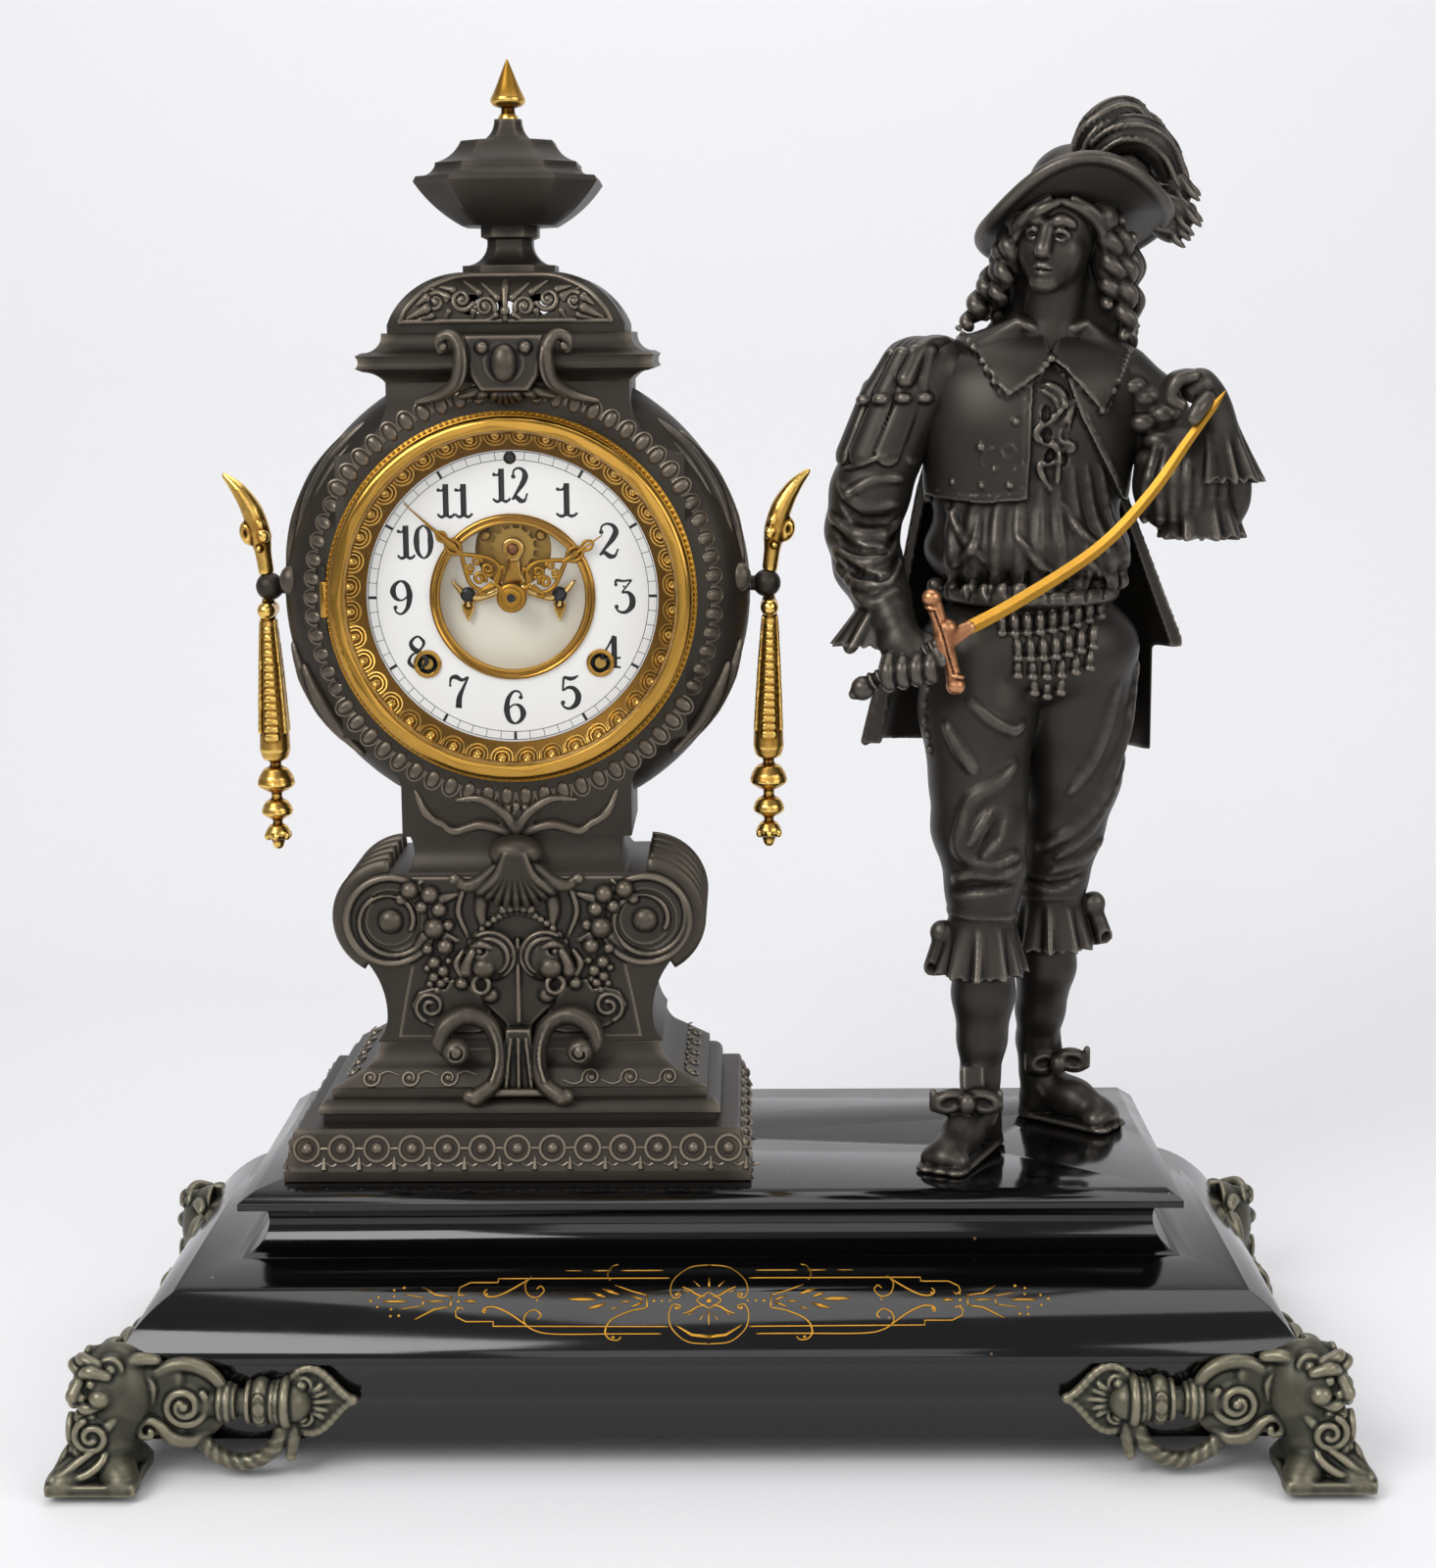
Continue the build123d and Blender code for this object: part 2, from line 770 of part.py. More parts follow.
plinth_void_levels = [
    (-case_wall, -case_wall, base_top_z + plinth_floor, 0),
    (-band_inset - case_wall, -band_inset - case_wall, recess_bottom - case_wall, 0),
    (-ledge_inset - case_wall, -ledge_inset - case_wall, recess_bottom, 0),
    (-ledge_inset - case_wall, -ledge_inset - case_wall, ledge_bottom, 0),
    (-ogee_inset - case_wall, -front_share * ogee_inset - case_wall, plinth_top - case_wall, 0),
]
plinth_block = stepped_block(plinth_levels, plinth_half_width, plinth_half_depth, case_middle)
plinth_void = stepped_block(plinth_void_levels, plinth_half_width, plinth_half_depth, case_middle)
duct_half_width = hood_half_width - case_wall
duct_half_depth = pedestal_half_depth - 2 * case_wall

with BuildPart() as case_plinth:
    add(plinth_block)
    add(plinth_void, mode=Mode.SUBTRACT)
    with BuildSketch(Plane.XY.offset(plinth_top - case_wall)):
        with Locations((case_x - (duct_half_width + case_wall) / 2, case_y)):
            Rectangle(duct_half_width - case_wall, 2 * duct_half_depth)
    extrude(amount=case_wall, mode=Mode.SUBTRACT)
    with BuildSketch(Plane.XY.offset(base_top_z)):
        with Locations(*case_bolt_places):
            Circle(foot_screw_radius + thread_gap)
    extrude(amount=plinth_floor, mode=Mode.SUBTRACT)

volute_z = pedestal_top - volute_radius
waist_z = plinth_top + waist_height
pedestal_front = case_y - pedestal_half_depth
volute_low_angle = radians(-42)
volute_low = (
    volute_center + volute_radius * cos(volute_low_angle),
    volute_z + volute_radius * sin(volute_low_angle),
)
hood_levels = [
    (0, 0, pedestal_top, 0),
    (-1, drum_half_depth - pedestal_half_depth, hood_top, -hood_bow),
]
hood_block = stepped_block(hood_levels, hood_half_width, pedestal_half_depth, case_middle)
pedestal_plane = Plane((case_x, pedestal_front, 0), x_dir=(1, 0, 0), z_dir=(0, -1, 0))
bracket_x = 1.55 * bracket_radius
bracket_z = plinth_top - bracket_radius / 2
shell_z = pedestal_top - 2.0

with BuildPart() as case_pedestal:
    with BuildSketch(pedestal_plane):
        with BuildLine():
            for side in (-1, 1):
                foot_half = waist_half_width + pedestal_foot_out
                Line((0, plinth_top), (side * foot_half, plinth_top))
                ThreePointArc(
                    (side * foot_half, plinth_top),
                    (side * (waist_half_width + 0.8), (plinth_top + waist_z) / 2),
                    (side * waist_half_width, waist_z),
                )
                ThreePointArc(
                    (side * waist_half_width, waist_z),
                    (side * (waist_half_width + 2.5), (waist_z + volute_low[1]) / 2),
                    (side * volute_low[0], volute_low[1]),
                )
                ThreePointArc(
                    (side * volute_low[0], volute_low[1]),
                    (side * (volute_center + volute_radius), volute_z),
                    (side * volute_center, pedestal_top),
                )
                Line((side * volute_center, pedestal_top), (0, pedestal_top))
        make_face()
    extrude(amount=-2 * pedestal_half_depth)
    add(hood_block)
    for face_plane in (pedestal_plane, Plane.XZ.offset(-case_y - pedestal_half_depth)):
        out = volute_relief if face_plane is pedestal_plane else -volute_relief
        shift = 0 if face_plane is pedestal_plane else case_x
        with BuildSketch(face_plane):
            with Locations((shift - volute_center, volute_z), (shift + volute_center, volute_z)):
                Circle(volute_boss)
        extrude(amount=out)
        with BuildSketch(face_plane):
            with Locations((shift - volute_center, volute_z), (shift + volute_center, volute_z)):
                Circle(volute_boss / 2.4)
        extrude(amount=3 * out)
    with BuildSketch(pedestal_plane):
        with BuildLine():
            Line((-shell_radius, shell_z), (shell_radius, shell_z))
            ThreePointArc(
                (-shell_radius, shell_z), (0, shell_z - 1.4 * shell_radius), (shell_radius, shell_z)
            )
        make_face()
    extrude(amount=shell_out)
    with BuildSketch(pedestal_plane):
        with Locations((-bracket_x, bracket_z), (bracket_x, bracket_z)):
            Circle(bracket_radius / 1.6)
        with BuildLine():
            Polyline(
                (-0.9 * bracket_x, bracket_z + bracket_radius),
                (0.9 * bracket_x, bracket_z + bracket_radius),
                (0.4 * bracket_x, bracket_z - bracket_radius),
                (-0.4 * bracket_x, bracket_z - bracket_radius),
                close=True,
            )
        make_face()
    extrude(amount=bracket_out)
    add(plinth_block, mode=Mode.SUBTRACT)
    with BuildSketch(Plane.XY.offset(plinth_top)):
        with Locations(case_middle):
            Rectangle(2 * duct_half_width, 2 * duct_half_depth)
    extrude(amount=pedestal_height + hood_height, mode=Mode.SUBTRACT)

lug_angles = [45, 135, 225, 315]
lug_places = [(lug_radius * cos(radians(a)), lug_radius * sin(radians(a))) for a in lug_angles]
hinge_x = -bezel_radius - hinge_out
hinge_y = drum_front - moving_gap - hinge_radius
door_y = drum_back + moving_gap
door_hinge_x = door_radius + hinge_out
door_hinge_y = door_y + hinge_radius
leaf_low = hinge_knuckle + moving_gap
leaf_places = (dial_z + leaf_low, dial_z - leaf_low - hinge_leaf)
dial_axis = Axis((case_x, 0, dial_z), (0, 1, 0))
dial_axis_plane = Plane((case_x, 0, dial_z), x_dir=(0, 1, 0), z_dir=(1, 0, 0))
shoulder_front = drum_front + drum_shoulder_depth
shoulder_back = 2 * case_y - shoulder_front

with BuildPart() as case_drum:
    with BuildSketch(dial_axis_plane):
        with BuildLine():
            Line((drum_front, 0), (drum_front, drum_rim_radius))
            Line((drum_front, drum_rim_radius), (shoulder_front, drum_shoulder_radius))
            ThreePointArc(
                (shoulder_front, drum_shoulder_radius),
                (case_y, drum_radius),
                (shoulder_back, drum_shoulder_radius),
            )
            Line((shoulder_back, drum_shoulder_radius), (drum_back, drum_back_radius))
            Line((drum_back, drum_back_radius), (drum_back, 0))
            Line((drum_back, 0), (drum_front, 0))
        make_face()
    revolve(axis=dial_axis)
    with BuildSketch(dial_plane(drum_front)):
        with BuildLine():
            for side in (-1, 1):
                Line((0, cornice_rise), (side * upper_neck_half, cornice_rise))
                Line((side * upper_neck_half, cornice_rise), (side * upper_neck_half, upper_neck_rise))
                ThreePointArc(
                    (side * upper_neck_half, upper_neck_rise),
                    (side * (upper_neck_half + 6.5), (upper_neck_rise + ear_top) / 2 - 3),
                    (side * ear_half_width, ear_top),
                )
                Line((side * ear_half_width, ear_top), (side * ear_half_width, -ear_top))
                ThreePointArc(
                    (side * ear_half_width, -ear_top),
                    (side * (lower_neck_half + 7.5), -(lower_neck_drop + ear_top) / 2 + 3),
                    (side * lower_neck_half, -lower_neck_drop),
                )
                Line((side * lower_neck_half, -lower_neck_drop), (side * lower_neck_half, -dial_rise))
                Line((side * lower_neck_half, -dial_rise), (0, -dial_rise))
        make_face()
    extrude(amount=-ear_plate)
    with BuildSketch(dial_plane(drum_front)):
        with Locations((0, -dial_rise / 2)):
            Rectangle(2 * lower_neck_half, dial_rise)
        with Locations((0, cornice_rise / 2)):
            Rectangle(2 * upper_neck_half, cornice_rise)
    extrude(amount=-2 * drum_half_depth)
    with BuildSketch(Plane.XY.offset(cornice_bottom)):
        with Locations(case_middle):
            Rectangle(2 * drum_radius, 2 * drum_radius)
    extrude(amount=drum_radius, mode=Mode.SUBTRACT)
    with BuildSketch(dial_plane(drum_front + front_wall)):
        Circle(drum_inner_radius)
    extrude(amount=-(drum_back - back_wall - drum_front - front_wall), mode=Mode.SUBTRACT)
    with BuildSketch(dial_plane(drum_front)):
        Circle(dial_opening)
    extrude(amount=-(front_wall - ledge_depth), mode=Mode.SUBTRACT)
    with BuildSketch(dial_plane(drum_front)):
        Circle(dial_ledge)
    extrude(amount=-front_wall, mode=Mode.SUBTRACT)
    with BuildSketch(dial_plane(drum_back - back_wall)):
        Circle(back_opening)
    extrude(amount=-back_wall, mode=Mode.SUBTRACT)
    with BuildSketch(Plane.XY.offset(hood_top)):
        with Locations(case_middle):
            Rectangle(2 * duct_half_width, 2 * duct_half_depth)
    extrude(amount=dial_rise, mode=Mode.SUBTRACT)
    with BuildSketch(dial_plane(drum_front + front_wall)):
        with Locations(*lug_places):
            Circle(lug_size)
    extrude(amount=-(front_plate_y - drum_front - front_wall))
    for z in leaf_places:
        with BuildSketch(Plane.XY.offset(z)):
            with Locations((case_x + hinge_x, hinge_y)):
                Circle(hinge_radius)
            with Locations((case_x + hinge_x, (hinge_y + shoulder_front) / 2)):
                Rectangle(hinge_radius, shoulder_front - hinge_y)
            with Locations((case_x + hinge_x, hinge_y)):
                Circle(hinge_pin_radius + thread_gap, mode=Mode.SUBTRACT)
        extrude(amount=hinge_leaf)
        with BuildSketch(Plane.XY.offset(z)):
            with Locations((case_x + door_hinge_x, door_hinge_y)):
                Circle(hinge_radius)
            with Locations((case_x + door_hinge_x, (door_hinge_y + drum_back) / 2)):
                Rectangle(hinge_radius, door_hinge_y - drum_back)
        extrude(amount=hinge_leaf)
    with BuildSketch(Plane.XY.offset(leaf_places[1])):
        with Locations((case_x + door_hinge_x, door_hinge_y)):
            Circle(hinge_pin_radius)
    extrude(amount=leaf_places[0] + hinge_leaf - leaf_places[1])

cornice_half_width = upper_neck_half + cornice_out
cornice_half_depth = drum_half_depth + cornice_out
torus_bottom = cornice_bottom + 0.28 * cornice_height
torus_top = cornice_bottom + 0.58 * cornice_height
cornice_levels = [
    (-cornice_out, -cornice_out, cornice_bottom, 0),
    (-0.3 * cornice_out, -0.3 * cornice_out, torus_bottom, -1),
    (0, 0, torus_bottom, 0),
    (0, 0, torus_top, 1),
    (-cornice_out + 1, -cornice_out + 1, cornice_bottom + cornice_height - 1, -2),
    (-cornice_out + 1, -cornice_out + 1, dome_bottom, 0),
]
cornice_block = stepped_block(cornice_levels, cornice_half_width, cornice_half_depth, case_middle)
dome_half_width = upper_neck_half - dome_inset
dome_levels = [
    (0, 0, dome_bottom, 0),
    (0, 0, dome_bottom + dome_rim, 0),
    (urn_foot_half - dome_half_width, urn_foot_half - dome_half_depth, dome_top, dome_bow),
]
dome_void_levels = [
    (-dome_wall, -dome_wall, dome_bottom, 0),
    (-dome_wall, -dome_wall, dome_bottom + dome_rim, 0),
    (
        urn_foot_half - dome_half_width - dome_wall,
        urn_foot_half - dome_half_depth - dome_wall,
        dome_top - dome_wall,
        dome_bow,
    ),
]
dome_block = stepped_block(dome_levels, dome_half_width, dome_half_depth, case_middle)
dome_void = stepped_block(dome_void_levels, dome_half_width, dome_half_depth, case_middle)
window_z = dome_bottom + dome_height / 2 - 1

with BuildPart() as case_cornice:
    add(cornice_block)
    with BuildSketch(Plane.XY.offset(cornice_bottom)):
        with Locations(case_middle):
            Rectangle(2 * (dome_half_width - 2 * dome_wall), 2 * (dome_half_depth - 2 * dome_wall))
    extrude(amount=cornice_height, mode=Mode.SUBTRACT)

with BuildPart() as case_dome:
    add(dome_block)
    add(dome_void, mode=Mode.SUBTRACT)
    with BuildSketch(Plane.XZ):
        with Locations(*[(case_x + x * 2.6 * dome_window, window_z) for x in (-1, 0, 1)]):
            Ellipse(dome_window, 0.8 * dome_window)
    extrude(amount=2 * plinth_half_width, both=True, mode=Mode.SUBTRACT)
    with BuildSketch(Plane.YZ):
        with Locations((case_y, window_z)):
            Ellipse(dome_window, 0.8 * dome_window)
    extrude(amount=2 * plinth_half_width, both=True, mode=Mode.SUBTRACT)
    with BuildSketch(Plane.XY.offset(dome_top - dome_wall)):
        with Locations(case_middle):
            Circle(urn_rod_radius + thread_gap)
    extrude(amount=dome_wall, mode=Mode.SUBTRACT)

urn_profile = [
    (urn_foot_half, 0, 0),
    (urn_foot_half, 0.25 * urn_waist_rise, 0),
    (urn_waist_half, urn_waist_rise, -2.5),
    (urn_waist_half, urn_waist_rise + 2, 0),
    (urn_band_half, urn_waist_rise + 3, 0),
    (urn_band_half, urn_base_rise, 0),
    (urn_base_half, urn_base_rise, 0),
    (urn_half, urn_rim_rise, 1.5),
    (urn_half - 1, urn_rim_rise + 2, 0),
    (urn_step_half, urn_step_rise, -1.5),
    (urn_step_half, urn_step_rise + 1, 0),
    (urn_lid_half, urn_lid_rise, -1.5),
    (urn_knob_half, urn_lid_rise + 1, 0),
    (urn_collar_half, urn_height, -1),
]
urn_levels = [(half - urn_half, half - urn_half, dome_top + rise, bow) for half, rise, bow in urn_profile]
facet_levels = [(out * urn_facet, out * urn_facet, z, bow) for out, front, z, bow in urn_levels]
urn_block = stepped_block(urn_levels, urn_half, urn_half)
facet_block = stepped_block(facet_levels, urn_half * urn_facet, urn_half * urn_facet)

with BuildPart() as case_urn:
    with Locations(case_middle):
        add(urn_block)
        add(facet_block, rotation=(0, 0, 45), mode=Mode.INTERSECT)
    with BuildSketch(Plane.XY.offset(dome_top)):
        with Locations(case_middle):
            Circle(urn_rod_radius + thread_gap)
    extrude(amount=urn_height, mode=Mode.SUBTRACT)

with BuildPart() as urn_finial:
    with BuildSketch(Plane((case_x, case_y, urn_top), x_dir=(1, 0, 0), z_dir=(0, -1, 0))):
        with BuildLine():
            Polyline(
                (0, 0),
                (finial_neck * 1.5, 0),
                (finial_neck, 0.1 * finial_height),
                (finial_neck, 0.2 * finial_height),
                (finial_radius, 0.34 * finial_height),
                (0.4, finial_height),
                (0, finial_height),
                close=True,
            )
        make_face()
    revolve(axis=Axis((case_x, case_y, 0), (0, 0, 1)))
    with BuildSketch(Plane.XY.offset(urn_top)):
        with Locations(case_middle):
            Circle(urn_rod_radius + thread_gap)
    extrude(amount=0.3 * finial_height, mode=Mode.SUBTRACT)

rod_bottom = dome_top - dome_wall
with BuildPart() as urn_rod:
    with BuildSketch(Plane.XY.offset(rod_bottom)):
        with Locations(case_middle):
            Circle(urn_rod_radius)
    extrude(amount=urn_top + 0.3 * finial_height - rod_bottom)
    with BuildSketch(Plane.XY.offset(rod_bottom)):
        with Locations(case_middle):
            RegularPolygon(2 * urn_rod_radius, 6)
    extrude(amount=-1.6 * urn_rod_radius)

# The ball knobs at the sides of the drum and the gilt handles that hang on them

boss_from_center = drum_radius + boss_out
boss_z = dial_z + boss_rise

stem_meets_ball = boss_out - sqrt(boss_ball_radius**2 - boss_stem_radius**2)
with BuildPart() as handle_bosses:
    for side in (-1, 1):
        start = (case_x + side * drum_radius, case_y, boss_z)
        with BuildSketch(Plane(start, x_dir=(side, 0, 0), z_dir=(0, -side, 0))):
            with BuildLine():
                Polyline((boss_out + boss_ball_radius, 0), (0, 0), (0, boss_stem_radius))
                Line((0, boss_stem_radius), (stem_meets_ball, boss_stem_radius))
                ThreePointArc(
                    (stem_meets_ball, boss_stem_radius),
                    (boss_out, boss_ball_radius),
                    (boss_out + boss_ball_radius, 0),
                )
            make_face()
        revolve(axis=Axis(start, (1, 0, 0)))

# Stations of a handle: out from the ball's middle, height from it, half width, half depth
leaf_stations = [
    (1.0, 0.5, 3.0, 8.4),
    (1.0, 9.0, 2.8, 6.4),
    (3.6, 18.0, 4.6, 5.0),
    (6.4, 29.0, 3.6, 4.4),
    (10.8, 38.0, 2.6, 3.4),
    (14.6, 44.5, 1.5, 2.0),
]
drop_stations = [
    (1.0, 0.5, 3.0, 8.4),
    (1.2, -12.0, 4.4, 6.4),
    (1.6, -30.0, 5.0, 5.0),
    (2.0, -52.0, 7.2, 6.4),
    (2.2, -62.0, handle_half_width, 7.0),
    (2.4, -72.0, 5.0, 5.0),
    (2.4, -74.0, 2.2, 2.2),
]
bead_out = 2.4
bead_stem = 2.2
bead_radii = [7.2, 5.9, 5.0]
bead_overlap = 0.8
bead_top = -76.5


def handle_side(side):
    # One handle, with its drops, on the given side of the drum.
    ball_x = case_x + side * boss_from_center
    leaf = lofted([(ball_x + side * o, case_y, boss_z + h, w, d) for o, h, w, d in leaf_stations])
    drop = lofted([(ball_x + side * o, case_y, boss_z + h, w, d) for o, h, w, d in drop_stations])
    bead_x = ball_x + side * bead_out
    with BuildPart() as handle:
        add(leaf)
        add(drop)
        with BuildSketch(Plane((bead_x, case_y, boss_z), x_dir=(1, 0, 0), z_dir=(0, -1, 0))):
            with BuildLine():
                start = (bead_stem, bead_top)
                Polyline((0, bead_top + 6.0), (bead_stem, bead_top + 6.0), start)
                for radius in bead_radii:
                    middle = start[1] - sqrt(radius**2 - bead_stem**2)
                    end = (bead_stem, 2 * middle - start[1])
                    ThreePointArc(start, (radius, middle), end)
                    start = (bead_stem, end[1] - bead_overlap)
                    Line(end, start)
                Polyline(start, (0, start[1]), (0, bead_top + 6.0))
            make_face()
        revolve(axis=Axis((bead_x, case_y, 0), (0, 0, 1)))
        add(handle_bosses.part, mode=Mode.SUBTRACT)
    return handle.part


with BuildPart() as handle_left:
    add(handle_side(-1))

with BuildPart() as handle_right:
    add(handle_side(1))

# The back door, the bezel with its glass, and the dial

knuckle_bottom = dial_z - hinge_knuckle
pin_bottom = dial_z - leaf_low - hinge_leaf
pin_length = 2 * (leaf_low + hinge_leaf)

with BuildPart() as back_door:
    with BuildSketch(dial_plane(door_y)):
        Circle(door_radius)
    extrude(amount=-door_thickness)
    with BuildSketch(Plane.XY.offset(knuckle_bottom)):
        with Locations((case_x + door_hinge_x, door_hinge_y)):
            Circle(hinge_radius)
        with Locations((case_x + door_hinge_x - hinge_out, door_y + door_thickness / 2)):
            Rectangle(2 * hinge_out, door_thickness)
        with Locations((case_x + door_hinge_x, door_hinge_y)):
            Circle(hinge_pin_radius + running_gap, mode=Mode.SUBTRACT)
    extrude(amount=2 * hinge_knuckle)

with BuildPart() as bezel:
    with BuildSketch(dial_axis_plane):
        with BuildLine():
            groove = bezel_inner_radius + glass_seat
            Polyline(
                (bezel_front + 2.5, bezel_radius),
                (bezel_back, bezel_radius),
                (bezel_back, groove),
                (glass_front, groove),
                (glass_front, bezel_inner_radius),
                (bezel_front, bezel_inner_radius + 1.6),
                (bezel_front, bezel_radius - 3.0),
            )
            ThreePointArc(
                (bezel_front, bezel_radius - 3.0),
                (bezel_front + 0.6, bezel_radius - 1.0),
                (bezel_front + 2.5, bezel_radius),
            )
        make_face()
    revolve(axis=dial_axis)
    with BuildSketch(Plane.XY.offset(knuckle_bottom)):
        with Locations((case_x + hinge_x, hinge_y)):
            Circle(hinge_radius)
        with Locations((case_x + hinge_x + hinge_out, hinge_y)):
            Rectangle(2 * hinge_out, hinge_radius)
        with Locations((case_x + hinge_x, hinge_y)):
            Circle(hinge_pin_radius + running_gap, mode=Mode.SUBTRACT)
    extrude(amount=2 * hinge_knuckle)

with BuildPart() as bezel_pin:
    with BuildSketch(Plane.XY.offset(pin_bottom)):
        with Locations((case_x + hinge_x, hinge_y)):
            Circle(hinge_pin_radius)
    extrude(amount=pin_length)

with BuildPart() as bezel_glass:
    add(rod(glass_front, glass_back, bezel_inner_radius + glass_seat - thread_gap))

sash_outer = bezel_inner_radius + glass_seat - thread_gap
with BuildPart() as sash_ring:
    add(
        turned(
            [
                (glass_back, sash_outer),
                (glass_back + sash_thickness, sash_outer),
                (glass_back + sash_depth, sash_inner_radius + sash_thickness),
                (glass_back + sash_depth, sash_inner_radius),
                (glass_back, sash_outer - 2 * sash_thickness),
            ]
        )
    )

winding_places = [(winding_x, winding_z), (-winding_x, winding_z)]
grommet_hole = winding_hole + grommet_wall
with BuildPart() as dial:
    add(rod(dial_front, dial_back, dial_radius, bore=center_hole))
    with BuildSketch(dial_plane(dial_front)):
        with Locations(*winding_places):
            Circle(grommet_hole + thread_gap)
        with Locations((0, regulator_z)):
            Circle(regulator_hole)
    extrude(amount=-dial_thickness, mode=Mode.SUBTRACT)

sleeve_radius = center_hole - thread_gap
sleeve_inner = sleeve_radius - center_sleeve
sleeve_back = center_plate_y + center_plate_thickness + 0.8
with BuildPart() as center_ring:
    add(rod(ring_front, dial_front, center_ring_radius, bore=center_window))
    add(rod(dial_front, sleeve_back, sleeve_radius, bore=sleeve_inner))

with BuildPart() as winding_grommets:
    for place in winding_places:
        add(rod(dial_front - grommet_wall, dial_front, grommet_radius, place, bore=winding_hole))
        add(rod(dial_front, dial_back, grommet_hole, place, bore=winding_hole))

# Where the arbors stand, measured from the dial's centre

center_place = (0, 0)
time_place, strike_place = winding_places
escape_place = (0, escape_z)
pallet_place = (0, escape_z + pallet_rise)
minute_place = (0, -motion_distance)
cannon_module = 2 * motion_distance / (cannon_teeth + minute_wheel_teeth)
hour_module = 2 * motion_distance / (minute_pinion_teeth + hour_wheel_teeth)
great_distance = great_module * (great_teeth + second_pinion_teeth) / 2
second_distance = second_module * (second_teeth + center_pinion_teeth) / 2
center_distance = center_module * (center_teeth + third_pinion_teeth) / 2
third_distance = third_module * (third_teeth + escape_pinion_teeth) / 2
second_place = meeting_point(time_place, center_place, great_distance, second_distance, -1)
third_place = meeting_point(center_place, escape_place, center_distance, third_distance, 1)
hammer_place = (hammer_x, hammer_z)
regulator_place = (0, regulator_z)
pillar_places = [(0, hammer_z + 7.0), (0, pallet_place[1] + 15.0), (-48.0, 22.0), (48.0, 22.0)]
bridge_places = [(-bridge_arm, 0.5), (bridge_arm, 0.5)]
front_plate_back = front_plate_y + movement_plate
back_plate_back = back_plate_y + movement_plate


def heading(start, end):
    # The direction from one arbor to another.
    return atan2(end[1] - start[1], end[0] - start[0])


second_phase = meshed_phase(heading(center_place, second_place), 0, center_pinion_teeth, second_teeth)
great_phase = meshed_phase(heading(second_place, time_place), 0, second_pinion_teeth, great_teeth)
third_phase = meshed_phase(heading(center_place, third_place), 0, center_teeth, third_pinion_teeth)
escape_phase = meshed_phase(heading(third_place, escape_place), 0, third_teeth, escape_pinion_teeth)
minute_phase = meshed_phase(heading(center_place, minute_place), 0, cannon_teeth, minute_wheel_teeth)
hour_phase = meshed_phase(heading(minute_place, center_place), 0, minute_pinion_teeth, hour_wheel_teeth)

# The movement

with BuildPart() as center_plate:
    with BuildSketch(dial_plane(center_plate_y)):
        Circle(sleeve_inner - thread_gap)
        Circle(hour_pipe_radius + pass_gap, mode=Mode.SUBTRACT)
        with Locations(escape_place):
            Circle(escape_window, mode=Mode.SUBTRACT)
        with Locations(*bridge_places):
            Circle(bridge_post + thread_gap, mode=Mode.SUBTRACT)
    extrude(amount=-center_plate_thickness)

arbor_holes = [
    (center_place, arbor_radius + running_gap),
    (second_place, arbor_radius + running_gap),
    (third_place, arbor_radius + running_gap),
    (time_place, winding_arbor + running_gap),
    (strike_place, winding_arbor + running_gap),
    (escape_place, thin_arbor + running_gap),
    (pallet_place, thin_arbor + running_gap),
    (hammer_place, arbor_radius + running_gap),
    (regulator_place, regulator_radius + running_gap),
]

with BuildPart() as front_plate:
    with BuildSketch(dial_plane(front_plate_y)):
        Circle(movement_radius)
        with Locations(*lug_places):
            Circle(lug_size)
        for place, radius in arbor_holes:
            with Locations(place):
                Circle(radius, mode=Mode.SUBTRACT)
        with Locations(*lug_places):
            Circle(lug_screw_radius + thread_gap, mode=Mode.SUBTRACT)
    extrude(amount=-movement_plate)
    add(rod(hour_wheel_y - 1.0, front_plate_y, arbor_radius, minute_place))

with BuildPart() as back_plate:
    with BuildSketch(dial_plane(back_plate_y)):
        Circle(movement_radius)
        for place, radius in arbor_holes:
            with Locations(place):
                Circle(radius, mode=Mode.SUBTRACT)
    extrude(amount=-movement_plate)
    cock_place = (pallet_place[0], pallet_place[1] + cock_rise)
    cock_y = pendulum_y + 2 * pendulum_thickness
    add(rod(back_plate_back, cock_y, cock_post, cock_place))
    with BuildSketch(dial_plane(cock_y)):
        with Locations((0, pallet_place[1] + cock_rise / 2)):
            SlotCenterToCenter(cock_rise, 2 * cock_post, rotation=90)
    extrude(amount=-movement_plate)
    add(rod(pendulum_y - moving_gap, cock_y, thin_arbor, pallet_place))

with BuildPart() as movement_fasteners:
    for place in pillar_places:
        add(rod(front_plate_back, back_plate_y, pillar_radius, place))
    for place in lug_places:
        add(rod(front_plate_back, front_plate_back + lug_screw_radius, 1.8 * lug_screw_radius, place))
        add(rod(front_plate_y, front_plate_back, lug_screw_radius, place))

with BuildPart() as time_barrel:
    add(
        wheel(
            gear_points(great_teeth, great_module, great_phase),
            great_wheel_y,
            great_thickness,
            time_place,
        )
    )
    add(rod(great_wheel_y, barrel_back, barrel_radius * 0.5, time_place))
    add(rod(barrel_front, barrel_back, barrel_radius, time_place))
    add(rod(dial_front, back_plate_back, winding_arbor, time_place))

with BuildPart() as strike_barrel:
    add(wheel(gear_points(great_teeth, great_module, 0), great_wheel_y, great_thickness, strike_place))
    add(rod(great_wheel_y, barrel_back, barrel_radius * 0.5, strike_place))
    add(rod(barrel_front, barrel_back, barrel_radius, strike_place))
    add(rod(dial_front, back_plate_back, winding_arbor, strike_place))

